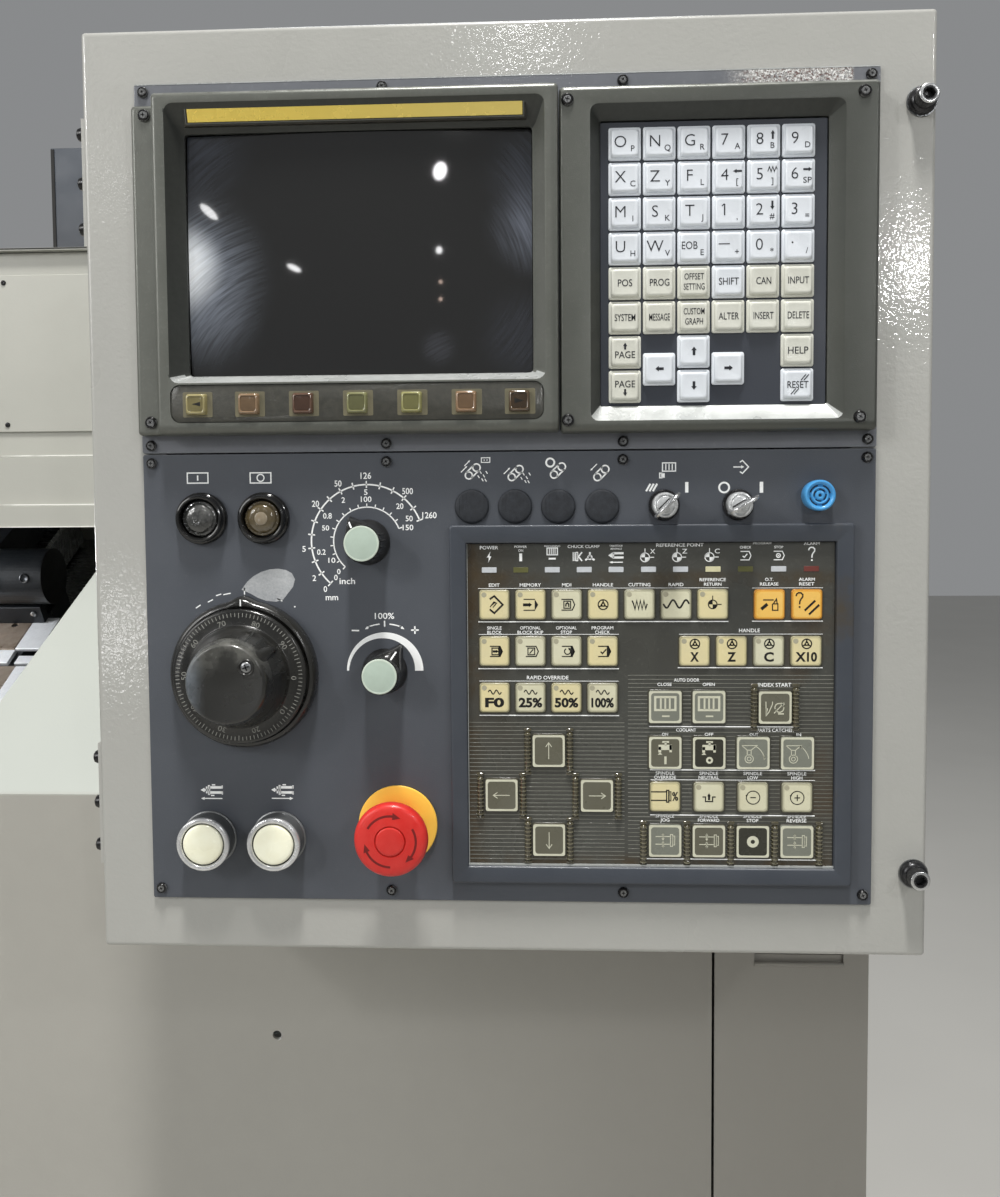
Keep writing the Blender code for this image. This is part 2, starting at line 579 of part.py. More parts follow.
# display unit
crt = pbox("display_bezel", -207.0, 31.6, 35.2, 224.2, 2.7, 16.0, M["bezel"])
mouth = add("display_mouth", cube_bm(Vector((209.2, 152.0, 12.0)) * MM),
            location=Vector((-81.0, 141.0, 10.6)) * MM - Vector((HINGE_U, 0, HINGE_D)),
            parent=pivot, cutter=True)
for v in mouth.data.vertices:          # the mouth narrows towards the glass
    deep = v.co.z < 0
    if deep:
        v.co.x = math.copysign(97.9, v.co.x) * MM
        v.co.y = (63.2 if v.co.y > 0 else -72.2) * MM
cut(crt, mouth,
    pbox("glass_port", -178.6, 17.4, 68.7, 204.3, -5, 12, cutter=True),
    pbox("flange_step", -210.0, -194.2, 30.0, 230.0, 8.2, 20.0, cutter=True),
    pbox("softkey_pocket", -185.8, 23.0, 42.0, 63.4, 14.4, 20.0, cutter=True))
tube_front = pbox("display_tube", -177.9, 16.7, 69.4, 203.6, -24.0, 6.0, M["glass"],
                  bevel=0.004, segments=2)
bell = add("bell", cube_bm(Vector((180.0, 124.0, 120.0)) * MM, 1.0),
           location=Vector((-80.6, 136.5, -80.0)) * MM - Vector((HINGE_U, 0, HINGE_D)),
           parent=pivot, cutter=True)
for v in bell.data.vertices:           # the bell tapers to the neck
    if v.co.z < 0:
        v.co.x *= 0.30
        v.co.y *= 0.40
join(tube_front, bell, prod("neck", -80.6, 136.5, 15.0, -245, -120))
soft = pbox("softkey_sheet", -185.4, 22.6, 42.4, 63.0, 14.7, 15.6, M["film"])
SOFT_U = [-170.6 + 30.05 * i for i in range(7)]
soft_keys = bmesh.new()
for u in SOFT_U:
    made = bmesh.ops.create_cube(soft_keys, size=1.0)["verts"]
    bmesh.ops.scale(soft_keys, vec=(11.4 * MM, 11.0 * MM, 4.0 * MM), verts=made)
    bmesh.ops.scale(soft_keys, vec=(0.84, 0.84, 1), verts=[v for v in made if v.co.z > 0])
    bmesh.ops.translate(soft_keys, vec=Vector((u, 52.2, 17.0)) * MM, verts=made)
join(soft, add("softkeys", soft_keys, location=-Vector((HINGE_U, 0, HINGE_D)),
               parent=pivot, cutter=True))

# keyboard unit
mdi = pbox("keyboard_bezel", 32.0, 204.6, 34.8, 222.4, 2.7, 14.0, M["bezel"])
well = add("key_well", cube_bm(Vector((135.8, 170.8, 9.0)) * MM),
           location=Vector((116.7, 126.7, 10.5)) * MM - Vector((HINGE_U, 0, HINGE_D)),
           parent=pivot, cutter=True)
for v in well.data.vertices:
    if v.co.z < 0:
        v.co.x *= 124.4 / 135.8
        v.co.y = (78.9 if v.co.y > 0 else -77.3) * MM
cut(mdi, well, pbox("key_port", 54.2, 178.8, 49.3, 205.7, -5, 12, cutter=True))
keyboard = pbox("keyboard_key_sheet", 54.6, 178.4, 49.7, 205.3, 2.9, 5.2, M["keys"])
COLS = [67.9 + 18.93 * i for i in range(6)]
ROWS = [192.9 - 18.94 * j for j in range(8)]
KEYS = [(u, w) for w in ROWS[:6] for u in COLS]
KEYS += [(COLS[0], ROWS[6]), (COLS[0], ROWS[7]), (COLS[2], ROWS[6]), (COLS[2], ROWS[7]),
         (COLS[1], (ROWS[6] + ROWS[7]) / 2), (COLS[3], (ROWS[6] + ROWS[7]) / 2),
         (COLS[5], ROWS[6]), (COLS[5], ROWS[7])]
keys = bmesh.new()
for u, w in KEYS:
    made = bmesh.ops.create_cube(keys, size=1.0)["verts"]
    bmesh.ops.scale(keys, vec=(17.8 * MM, 17.8 * MM, 5.0 * MM), verts=made)
    bmesh.ops.scale(keys, vec=(0.86, 0.86, 1), verts=[v for v in made if v.co.z > 0])
    bmesh.ops.translate(keys, vec=Vector((u, w, 6.9)) * MM, verts=made)
join(keyboard, add("keycaps", keys, location=-Vector((HINGE_U, 0, HINGE_D)),
                   parent=pivot, cutter=True))

# machine keys: a frame round an embossed film
frame = pbox("operator_frame", -31.0, 194.7, -221.2, -16.4, 2.7, 7.6, M["slate"])
cut(frame, pbox("film_port", -21.6, 185.1, -211.7, -26.3, -5, 12, cutter=True))
film = pbox("operator_key_sheet", -21.2, 184.7, -211.3, -26.7, 2.7, 4.2, M["film"])
ROW_A = [(-5.8 + 20.47 * i, -61.4) for i in range(7)] + [(148.4, -61.6), (169.1, -61.6)]
ROW_B = [(-5.9 + 20.4 * i, -87.9) for i in range(4)] + [(106.8 + 20.7 * i, -87.9)
                                                        for i in range(4)]
ROW_C = [(-6.0 + 20.4 * i, -114.5) for i in range(4)]
BLOCK = [(90.5, -119.6), (115.0, -119.6), (151.9, -119.8)]
BLOCK += [(90.5 + 24.67 * i, w) for w in (-145.8, -171.1, -196.5) for i in range(4)]
ARROWS = [(24.6, -145.0), (-2.4, -170.7), (51.9, -170.7), (24.6, -196.5)]
pads = bmesh.new()
for u, w in ROW_A + ROW_B + ROW_C + BLOCK + ARROWS:
    made = bmesh.ops.create_cube(pads, size=1.0)["verts"]
    bmesh.ops.scale(pads, vec=(17.4 * MM, 17.2 * MM, 2.4 * MM), verts=made)
    bmesh.ops.scale(pads, vec=(0.93, 0.93, 1), verts=[v for v in made if v.co.z > 0])
    bmesh.ops.translate(pads, vec=Vector((u, w, 4.6)) * MM, verts=made)
join(film, add("pads", pads, location=-Vector((HINGE_U, 0, HINGE_D)), parent=pivot,
               cutter=True))

# pulse handwheel
pturned("handwheel_housing", MPG[0], MPG[1],
        [(0, 10.5), (37.0, 10.5), (38.9, 14.0), (40.4, 13.5), (41.6, 9.0), (42.2, 2.7),
         (24.0, 2.7), (24.0, -38.0), (0, -38.0)], M["black"], steps=40)
wheel = pturned("handwheel", MPG[0], MPG[1],
                [(0, 42.0), (20.4, 42.0), (21.4, 41.0), (24.2, 30.5), (27.0, 24.0),
                 (27.6, 19.2), (36.6, 18.6), (38.2, 17.6), (38.2, 14.6), (36.2, 14.6),
                 (36.2, 11.0), (0, 11.0)], M["black"], steps=40)
thumb = prod("thumb_notch", MPG[0] + 17.2, MPG[1] + 13.4, 6.2, 33.0, 60.0, segments=16)
cut(wheel, thumb)


def pointer_knob(name, u, w, degrees):
    """A round knob with a tapered pointer wing, its origin on its own shaft."""
    knob = pturned(name, u, w, [(0, 24.0), (9.8, 24.0), (10.3, 23.2), (10.9, 12.0),
                                (12.3, 3.4), (12.3, 2.9), (3.0, 2.9), (3.0, -14.0),
                                (0, -14.0)], M["black"], steps=32)
    bm = cube_bm(Vector((15.0, 12.0, 18.0)) * MM)
    for v in bm.verts:
        v.co.x += 9.5 * MM
        v.co.z += 12.2 * MM
        if v.co.x > 10 * MM:       # the wing's nose: narrow, and lower towards the front
            v.co.y *= 0.16
            v.co.z = (v.co.z if v.co.z < 12 * MM else 12.0 * MM)
    wing = add(name + "_wing", bm, None,
               Vector((u, w, 0)) * MM - Vector((HINGE_U, 0, HINGE_D)),
               (0, 0, math.radians(degrees)), pivot, True)
    return join(knob, wing)


pointer_knob("feed_knob", *DIALS[0], 127.0)
pointer_knob("override_knob", *DIALS[1], 57.0)

# emergency stop
collar = pturned("stop_collar", STOP[0], STOP[1],
                 [(11.9, 4.4), (22.4, 4.4), (22.8, 3.9), (22.8, 2.7), (11.9, 2.7),
                  (11.9, 4.4)], M["yellow"], steps=40)
pturned("stop_button", STOP[0], STOP[1],
        [(0, 36.6), (6.0, 36.5), (13.0, 35.4), (17.6, 33.4), (20.0, 30.4), (20.3, 27.4),
         (19.6, 23.4), (15.5, 20.6), (11.3, 19.6), (11.3, -22.0), (0, -22.0)],
        M["red"], steps=40)

# push buttons in chrome rings, and the two lit power buttons
for i, (u, w) in enumerate(PUSH):
    label = ("left", "right")[i]
    pturned("push_ring_" + label, u, w,
            [(12.1, 13.2), (12.9, 14.0), (14.4, 14.0), (14.9, 13.2), (14.9, 2.7),
             (12.1, 2.7), (12.1, 13.2)], M["chrome"], steps=36)
    pturned("push_button_" + label, u, w,
            [(0, 14.9), (10.6, 14.6), (11.5, 13.8), (11.5, -18.0), (0, -18.0)],
            M["ivory"], steps=32)
for i, (u, w) in enumerate(POWER):
    pturned("power_button_" + ("on", "off")[i], u, w,
            [(0, 9.6), (4.0, 9.4), (7.5, 8.6), (9.9, 7.0), (10.2, 6.2), (10.2, -16.0),
             (0, -16.0)], M[("clear", "amber")[i]], steps=28)
for i, ((u, w), degrees) in enumerate(zip(KEYSW, (45.0, 30.0))):
    lock = pturned("key_switch_" + ("left", "right")[i], u, w,
                   [(0, 11.0), (6.4, 11.0), (7.1, 10.2), (7.1, -20.0), (0, -20.0)],
                   M["chrome"], steps=24)
    bow = add(f"key_bow_{i}", cube_bm(Vector((17.5, 2.4, 17.0)) * MM), None,
              Vector((u, w, 18.0)) * MM - Vector((HINGE_U, 0, HINGE_D)),
              (0, 0, math.radians(degrees)), pivot, True)
    join(lock, bow)

for obj in PARTS.objects:
    if obj.type == "MESH":
        obj.data.shade_smooth()
        obj.data.set_sharp_from_angle(angle=math.radians(35))
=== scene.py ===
"""The looks of the CNC turning lathe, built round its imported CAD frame.

Panel coordinates, in millimetres, are used for the control station: u to the right,
w up and d towards the operator, from the centre of the station door's front face.
"""

import math

import bmesh
import bpy
from mathutils import Matrix, Vector


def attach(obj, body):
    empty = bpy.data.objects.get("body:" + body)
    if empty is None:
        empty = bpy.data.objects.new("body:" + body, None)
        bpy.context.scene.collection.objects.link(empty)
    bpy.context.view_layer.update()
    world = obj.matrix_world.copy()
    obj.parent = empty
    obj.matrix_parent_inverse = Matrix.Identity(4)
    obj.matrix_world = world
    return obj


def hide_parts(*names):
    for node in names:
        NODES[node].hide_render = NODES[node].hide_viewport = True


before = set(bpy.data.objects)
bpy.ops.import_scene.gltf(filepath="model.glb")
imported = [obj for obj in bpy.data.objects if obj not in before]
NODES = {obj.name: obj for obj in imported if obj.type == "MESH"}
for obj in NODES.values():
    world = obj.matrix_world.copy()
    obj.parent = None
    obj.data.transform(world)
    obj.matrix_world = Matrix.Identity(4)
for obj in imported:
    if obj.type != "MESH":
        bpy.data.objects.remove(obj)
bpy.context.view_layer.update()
SCENE = bpy.context.scene

XP, YP, ZP = 0.8977, -0.7035, 1.220     # centre of the station door's front face
Y0 = -0.5535                            # front plane of the casing
HALF_PI = math.pi / 2


def at(u, w, d):
    return (XP + u * 0.001, YP - d * 0.001, ZP + w * 0.001)


# ------------------------------------------------------------------- materials
def srgb(r, g, b):
    def lin(c):
        c /= 255.0
        return c / 12.92 if c <= 0.04045 else ((c + 0.055) / 1.055) ** 2.4
    return (lin(r), lin(g), lin(b))


class Mat:
    """A procedural material: a Principled shader with noise-driven colour,
    roughness and bump, all in the row frame's own metres."""

    def __init__(self, name, colour, rough=0.5, metal=0.0, coat=0.0, spec=0.5,
                 trans=0.0, ior=1.45, alpha=1.0, coat_rough=0.08):
        self.m = bpy.data.materials.new(name)
        self.m.use_nodes = True
        self.t = self.m.node_tree
        self.b = self.t.nodes["Principled BSDF"]
        self.colour = tuple(colour)
        self.rough = rough
        self.b.inputs["Base Color"].default_value = (*colour, 1)
        self.b.inputs["Roughness"].default_value = rough
        self.b.inputs["Metallic"].default_value = metal
        self.b.inputs["Coat Weight"].default_value = coat
        self.b.inputs["Coat Roughness"].default_value = coat_rough
        self.b.inputs["Specular IOR Level"].default_value = spec
        self.b.inputs["Transmission Weight"].default_value = trans
        self.b.inputs["IOR"].default_value = ior
        self.b.inputs["Alpha"].default_value = alpha
        self.coord = self.t.nodes.new("ShaderNodeTexCoord").outputs["Object"]
        self.col = None
        self.normal = None

    def _scaled(self, stretch):
        if stretch is None:
            return self.coord
        n = self.t.nodes.new("ShaderNodeMapping")
        n.inputs["Scale"].default_value = stretch
        self.t.links.new(self.coord, n.inputs["Vector"])
        return n.outputs["Vector"]

    def noise(self, scale, detail=3.0, rough=0.55, lo=0.0, hi=1.0, frm=(0.3, 0.7),
              stretch=None, distort=0.0):
        n = self.t.nodes.new("ShaderNodeTexNoise")
        n.inputs["Scale"].default_value = scale
        n.inputs["Detail"].default_value = detail
        n.inputs["Roughness"].default_value = rough
        n.inputs["Distortion"].default_value = distort
        self.t.links.new(self._scaled(stretch), n.inputs["Vector"])
        r = self.t.nodes.new("ShaderNodeMapRange")
        r.inputs["From Min"].default_value = frm[0]
        r.inputs["From Max"].default_value = frm[1]
        r.inputs["To Min"].default_value = lo
        r.inputs["To Max"].default_value = hi
        self.t.links.new(n.outputs["Fac"], r.inputs["Value"])
        return r.outputs["Result"]

    def ramp_axis(self, axis, lo, hi, a=0.0, b=1.0):
        """A value that goes from a to b as the row frame's axis goes from lo to hi."""
        s = self.t.nodes.new("ShaderNodeSeparateXYZ")
        self.t.links.new(self.coord, s.inputs[0])
        r = self.t.nodes.new("ShaderNodeMapRange")
        r.interpolation_type = "SMOOTHSTEP"
        r.inputs["From Min"].default_value = lo
        r.inputs["From Max"].default_value = hi
        r.inputs["To Min"].default_value = a
        r.inputs["To Max"].default_value = b
        self.t.links.new(s.outputs[axis], r.inputs["Value"])
        return r.outputs["Result"]

    def math(self, op, a, b):
        n = self.t.nodes.new("ShaderNodeMath")
        n.operation = op
        n.use_clamp = True
        for i, v in enumerate((a, b)):
            if isinstance(v, (int, float)):
                n.inputs[i].default_value = v
            else:
                self.t.links.new(v, n.inputs[i])
        return n.outputs[0]

    def tint(self, colour, factor):
        """Mixes a colour over what is there by a factor socket."""
        n = self.t.nodes.new("ShaderNodeMix")
        n.data_type = "RGBA"
        self.t.links.new(factor, n.inputs[0])
        if self.col is None:
            n.inputs[6].default_value = (*self.colour, 1)
        else:
            self.t.links.new(self.col, n.inputs[6])
        n.inputs[7].default_value = (*colour, 1)
        self.col = n.outputs[2]
        self.t.links.new(self.col, self.b.inputs["Base Color"])
        return self

    def mottle(self, scale, amount, colour=None, detail=3.0, stretch=None, frm=(0.35, 0.7)):
        other = colour or tuple(c * 0.72 for c in self.colour)
        return self.tint(other, self.noise(scale, detail, 0.6, 0.0, amount, frm, stretch))

    def vary_rough(self, scale, lo, hi, stretch=None, detail=3.0):
        self.t.links.new(self.noise(scale, detail, 0.6, lo, hi, (0.3, 0.7), stretch),
                         self.b.inputs["Roughness"])
        return self

    def bump(self, scale, distance, strength=0.5, detail=2.0, stretch=None, frm=(0.3, 0.7)):
        h = self.noise(scale, detail, 0.5, 0.0, 1.0, frm, stretch)
        n = self.t.nodes.new("ShaderNodeBump")
        n.inputs["Strength"].default_value = strength
        n.inputs["Distance"].default_value = distance
        self.t.links.new(h, n.inputs["Height"])
        if self.normal is not None:
            self.t.links.new(self.normal, n.inputs["Normal"])
        self.normal = n.outputs["Normal"]
        self.t.links.new(self.normal, self.b.inputs["Normal"])
        if self.b.inputs["Coat Weight"].default_value > 0:
            self.t.links.new(self.normal, self.b.inputs["Coat Normal"])
        return self


def enamel(name, colour, rough=0.32, peel=0.00009, coat=0.30, coat_rough=0.09, fine=0.25):
    """Sprayed enamel with orange peel, faint soiling and rubbed patches."""
    m = Mat(name, colour, rough, coat=coat, coat_rough=coat_rough)
    m.mottle(9.0, 0.16, tuple(c * 0.80 for c in colour), 4.0)
    m.mottle(60.0, 0.10, tuple(min(1, c * 1.12) for c in colour), 2.0)
    m.vary_rough(14.0, rough - 0.06, rough + 0.14)
    m.bump(430.0, peel, 0.22, 1.5)
    m.bump(2600.0, peel * fine, 0.25, 1.0)
    return m


K = {}
K["door"] = enamel("station_enamel", srgb(168, 168, 163), 0.30, 0.00022, 0.50, 0.03, 0.02)
K["casing"] = enamel("casing_enamel", srgb(163, 161, 154), 0.34)
# painted shade: darker towards the right, under and beside the overhanging station
K["casing"].tint(srgb(132, 129, 122), K["casing"].ramp_axis(0, 0.72, 1.16, 0.0, 0.75))
K["apron"] = enamel("apron_enamel", srgb(163, 161, 154), 0.34)
# painted shade: darker towards the right, as on the casing
K["apron"].tint(srgb(132, 129, 122), K["apron"].ramp_axis(0, 0.72, 1.16, 0.0, 0.75))
# painted light: lighter above z 1.004, where the apron slopes up towards the overhead light
K["apron"].tint(srgb(176, 180, 174), K["apron"].ramp_axis(2, 1.002, 1.006))
K["cover"] = enamel("cover_enamel", srgb(174, 174, 166), 0.40)
# lighter than the lower plate: partly its own paint, partly painted light, as the panel's top is lit more brightly
m = Mat("upper_plate_paint", srgb(104, 107, 113), 0.36, coat=0.15)
m.mottle(7.0, 0.30, srgb(82, 84, 88), 3.0).mottle(60.0, 0.22, srgb(122, 125, 130), 4.0)
m.mottle(300.0, 0.16, srgb(140, 142, 144), 3.0, frm=(0.58, 0.75))
# paint flaked off along the top edge, down to primer and rust
flaked = m.math("MULTIPLY", m.ramp_axis(0, XP + 0.120, XP + 0.146), m.ramp_axis(2, ZP + 0.2240, ZP + 0.2268))
flaked = m.math("MULTIPLY", flaked, m.ramp_axis(0, XP + 0.1915, XP + 0.1935, 1.0, 0.0))
m.tint(srgb(176, 174, 170), m.math("MULTIPLY", m.noise(300.0, 4, 0.6, 0.25, 1.0, (0.36, 0.50)), flaked))
m.tint(srgb(230, 230, 228), m.math("MULTIPLY", m.noise(820.0, 3, 0.6, 0, 1.0, (0.50, 0.57)), flaked))
m.tint(srgb(96, 66, 60), m.math("MULTIPLY", m.noise(640.0, 3, 0.6, 0, 0.9, (0.53, 0.60), (1, 1, 1.4)), flaked))
m.tint(srgb(58, 58, 56), m.math("MULTIPLY", m.noise(900.0, 3, 0.6, 0, 0.8, (0.57, 0.62), (1.3, 1, 1)), flaked))
m.vary_rough(18.0, 0.30, 0.50).bump(1400.0, 0.00008, 0.3)
K["upper"] = m
m = Mat("face_plate_paint", srgb(76, 80, 87), 0.42, coat=0.08)
m.mottle(5.0, 0.30, srgb(56, 59, 64), 3.0).mottle(38.0, 0.18, srgb(84, 88, 94), 4.0)
m.mottle(240.0, 0.10, srgb(96, 99, 104), 2.0, frm=(0.62, 0.75))
m.vary_rough(16.0, 0.36, 0.55).bump(1500.0, 0.00008, 0.3)
K["plate"] = m
m = Mat("frame_paint", srgb(61, 66, 74), 0.40, coat=0.08)
m.mottle(6.0, 0.25, srgb(52, 55, 60)).mottle(50.0, 0.15, srgb(82, 86, 92), 4.0)
m.tint(srgb(70, 60, 40), m.math("MULTIPLY", m.noise(22.0, 5, 0.65, 0, 0.8, (0.56, 0.72)),
                                m.ramp_axis(0, XP + 0.160, XP + 0.196)))
m.vary_rough(20.0, 0.32, 0.5).bump(1400.0, 0.00007, 0.3)
K["frame"] = m
m = Mat("bezel_moulding", srgb(99, 101, 95), 0.34, 0.35, coat=0.15, coat_rough=0.2)
m.mottle(7.0, 0.30, srgb(80, 82, 77), 3.0).mottle(80.0, 0.16, srgb(122, 123, 117), 3.0)
m.mottle(420.0, 0.20, srgb(130, 131, 126), 2.0, frm=(0.55, 0.75))
# painted shade: darker towards the right, with a step at the display bezel's right edge and a gradient across the
# keyboard bezel
m.tint(srgb(74, 76, 71), m.ramp_axis(0, XP + 0.026, XP + 0.029, 0.0, 0.45))
m.tint(srgb(66, 68, 64), m.ramp_axis(0, XP + 0.040, XP + 0.200, 0.0, 0.55))
m.vary_rough(18.0, 0.28, 0.48).bump(1900.0, 0.00009, 0.35)
K["bezel"] = m
m = Mat("bezel_rubbed", srgb(176, 178, 174), 0.30, 0.55)
m.mottle(22.0, 0.6, srgb(112, 114, 106), 5.0).mottle(240.0, 0.3, srgb(214, 216, 212), 3.0)
m.vary_rough(60.0, 0.20, 0.46).bump(900.0, 0.00006, 0.3)
K["rubbed"] = m
# painted shade: a darker copy of the bezel plastic for the recesses' inner slopes that face down or to the right
m = Mat("bezel_shade", srgb(56, 58, 55), 0.40, 0.2)
m.mottle(7.0, 0.30, srgb(44, 46, 43), 3.0).mottle(300.0, 0.2, srgb(74, 76, 72), 3.0)
m.vary_rough(18.0, 0.32, 0.5).bump(1900.0, 0.00009, 0.35)
K["shade"] = m
# painted highlight: a bright finish for the upward faces of sills and for thin bright edge strips
m = Mat("bezel_sill", srgb(182, 185, 183), 0.30, 0.35)
m.mottle(14.0, 0.3, srgb(156, 158, 154), 3.0).mottle(160.0, 0.25, srgb(216, 218, 216), 3.0)
m.vary_rough(50.0, 0.20, 0.42).bump(900.0, 0.00006, 0.3)
K["sill"] = m
# rounded top edges: bright specks, partly worn plastic and partly painted highlight
m = Mat("bezel_edge", srgb(116, 118, 112), 0.30, 0.4)
m.mottle(34.0, 0.75, srgb(160, 162, 158), 5.0, frm=(0.50, 0.64)).mottle(300.0, 0.3, srgb(84, 86, 80), 3.0)
m.vary_rough(60.0, 0.20, 0.44).bump(900.0, 0.00006, 0.3)
K["edge"] = m
m = Mat("recess_dark", srgb(34, 36, 35), 0.42)
m.mottle(20.0, 0.3, srgb(50, 52, 50)).vary_rough(30.0, 0.34, 0.55).bump(1600.0, 0.00006, 0.3)
K["recess"] = m
m = Mat("tube_face", srgb(27, 27, 27), 0.035, coat=0.6, spec=0.6, coat_rough=0.025)
m.mottle(5.0, 0.4, srgb(35, 35, 34), 2.0)


def wiping(m, colour, u, w, radius, reach, amount, along=34.0, across=700.0, least=0.35):
    """Painted glare: bright streaks on the smeared glass, fading out from a point as arcs round a pivot below it,
    standing for light reflected in the smears.
    """
    t = m.t
    sub = t.nodes.new("ShaderNodeVectorMath")
    sub.operation = "DISTANCE"
    t.links.new(m.coord, sub.inputs[0])
    sub.inputs[1].default_value = at(u, w, 4.0)
    fade = t.nodes.new("ShaderNodeMapRange")
    fade.interpolation_type = "SMOOTHERSTEP"
    fade.inputs["From Min"].default_value = radius
    fade.inputs["From Max"].default_value = 0.0
    fade.inputs["To Min"].default_value = 0.0
    fade.inputs["To Max"].default_value = 1.0
    t.links.new(sub.outputs["Value"], fade.inputs["Value"])
    pivot = at(u + reach[0], w + reach[1], 4.0)
    sep = t.nodes.new("ShaderNodeSeparateXYZ")
    off = t.nodes.new("ShaderNodeVectorMath")
    off.operation = "SUBTRACT"
    t.links.new(m.coord, off.inputs[0])
    off.inputs[1].default_value = pivot
    t.links.new(off.outputs[0], sep.inputs[0])
    length = t.nodes.new("ShaderNodeVectorMath")
    length.operation = "LENGTH"
    t.links.new(off.outputs[0], length.inputs[0])
    turn = t.nodes.new("ShaderNodeMath")
    turn.operation = "ARCTAN2"
    t.links.new(sep.outputs["Z"], turn.inputs[0])
    t.links.new(sep.outputs["X"], turn.inputs[1])
    join = t.nodes.new("ShaderNodeCombineXYZ")
    t.links.new(length.outputs["Value"], join.inputs["X"])
    t.links.new(turn.outputs[0], join.inputs["Y"])
    scaled = t.nodes.new("ShaderNodeVectorMath")
    scaled.operation = "MULTIPLY"
    t.links.new(join.outputs[0], scaled.inputs[0])
    scaled.inputs[1].default_value = (across, along * 0.1, 1.0)
    n = t.nodes.new("ShaderNodeTexNoise")
    n.inputs["Scale"].default_value = 1.0
    n.inputs["Detail"].default_value = 3.0
    t.links.new(scaled.outputs[0], n.inputs["Vector"])
    r = t.nodes.new("ShaderNodeMapRange")
    r.inputs["From Min"].default_value = 0.36
    r.inputs["From Max"].default_value = 0.66
    r.inputs["To Min"].default_value = least * amount
    r.inputs["To Max"].default_value = amount
    t.links.new(n.outputs["Fac"], r.inputs["Value"])
    m.tint(colour, m.math("MULTIPLY", fade.outputs[0], r.outputs[0]))


# painted reflections: a white glare core at the upper left with its streaky falloff, and fainter glare patches over the
# rest of the glass
wiping(m, srgb(150, 158, 172), -182.0, 125.0, 0.060, (70, -80), 0.72)
wiping(m, srgb(222, 230, 240), -182.0, 131.0, 0.030, (70, -80), 0.95)
wiping(m, srgb(250, 253, 255), -187.0, 129.0, 0.034, (70, -80), 1.0, least=0.8)
wiping(m, srgb(120, 126, 138), -168.0, 104.0, 0.040, (70, -60), 0.34)
wiping(m, srgb(120, 126, 140), 19.0, 150.0, 0.034, (-90, -40), 0.55)
wiping(m, srgb(90, 96, 110), 17.0, 180.0, 0.034, (-90, -60), 0.34)
wiping(m, srgb(84, 90, 104), -176.0, 196.0, 0.044, (70, -90), 0.38)
wiping(m, srgb(72, 76, 88), 12.0, 90.0, 0.034, (-90, 60), 0.30)
wiping(m, srgb(96, 98, 108), -36.0, 84.0, 0.014, (30, -60), 0.30)
K["tube"] = m
m = Mat("soft_key_film", srgb(57, 57, 52), 0.34, coat=0.2)
m.mottle(16.0, 0.4, srgb(46, 45, 39), 4.0).mottle(260.0, 0.25, srgb(92, 90, 80), 3.0)
m.vary_rough(40.0, 0.26, 0.46).bump(800.0, 0.00008, 0.4)
K["softfilm"] = m
m = Mat("key_board_film", srgb(50, 54, 62), 0.38)
m.mottle(9.0, 0.3, srgb(62, 66, 74)).vary_rough(24.0, 0.3, 0.48).bump(1200.0, 0.00005, 0.3)
K["kbfilm"] = m


def moulded(name, colour, rough=0.33, soil=None, amount=0.2, coat=0.1):
    m = Mat(name, colour, rough, coat=coat, coat_rough=0.15)
    m.mottle(34.0, amount, soil or tuple(c * 0.78 for c in colour), 4.0)
    m.mottle(160.0, amount * 0.5, tuple(min(1, c * 1.08) for c in colour), 2.0)
    m.vary_rough(60.0, rough - 0.07, rough + 0.12).bump(1500.0, 0.00005, 0.3)
    return m


K["white_key"] = moulded("key_white", srgb(216, 221, 227), 0.28, srgb(194, 198, 200), 0.25)
K["beige_key"] = moulded("key_beige", srgb(208, 209, 199), 0.30, srgb(180, 178, 164), 0.35)
# the cream, cool and orange keys each come in three copies: the colour itself, a darker mid copy and a much darker edge
# copy, the darker ones painted shade on the pads' sloping edges
K["cream_key"] = moulded("key_cream", srgb(218, 206, 158), 0.26, srgb(200, 196, 170), 0.40)
K["cream_mid"] = moulded("key_cream_mid", srgb(202, 192, 146), 0.26, srgb(180, 178, 156), 0.40)
K["cream_edge"] = moulded("key_cream_edge", srgb(150, 144, 112), 0.24, srgb(126, 124, 108), 0.40)
K["cool_key"] = moulded("key_cool", srgb(210, 208, 182), 0.26, srgb(188, 180, 144), 0.4)
K["cool_mid"] = moulded("key_cool_mid", srgb(184, 182, 156), 0.26, srgb(164, 158, 130), 0.4)
K["cool_edge"] = moulded("key_cool_edge", srgb(138, 136, 116), 0.24, srgb(120, 118, 100), 0.4)
K["orange_key"] = moulded("key_orange", srgb(232, 184, 88), 0.26, srgb(236, 204, 130), 0.5)
K["orange_mid"] = moulded("key_orange_mid", srgb(224, 166, 66), 0.26, srgb(218, 174, 92), 0.4)
K["orange_edge"] = moulded("key_orange_edge", srgb(186, 126, 40), 0.24, srgb(160, 118, 60), 0.4)
K["seat"] = moulded("key_seat", srgb(70, 68, 56), 0.30, srgb(52, 48, 38), 0.5)
K["olive_key"] = moulded("key_olive", srgb(92, 90, 76), 0.30, srgb(110, 110, 100), 0.4)
K["grey_key"] = moulded("key_grey", srgb(122, 125, 115), 0.28, srgb(100, 100, 90), 0.4)
K["black_key"] = moulded("key_black", srgb(50, 50, 43), 0.24, srgb(70, 68, 58), 0.35)
K["pale"] = moulded("pale_outline", srgb(206, 206, 186), 0.34, srgb(172, 170, 148), 0.4)
K["dot"] = moulded("lamp_dot", srgb(168, 164, 142), 0.25, None, 0.2)
m = Mat("machine_film", srgb(71, 72, 68), 0.28, coat=0.30, coat_rough=0.12)
m.mottle(11.0, 0.45, srgb(52, 50, 44), 4.0)
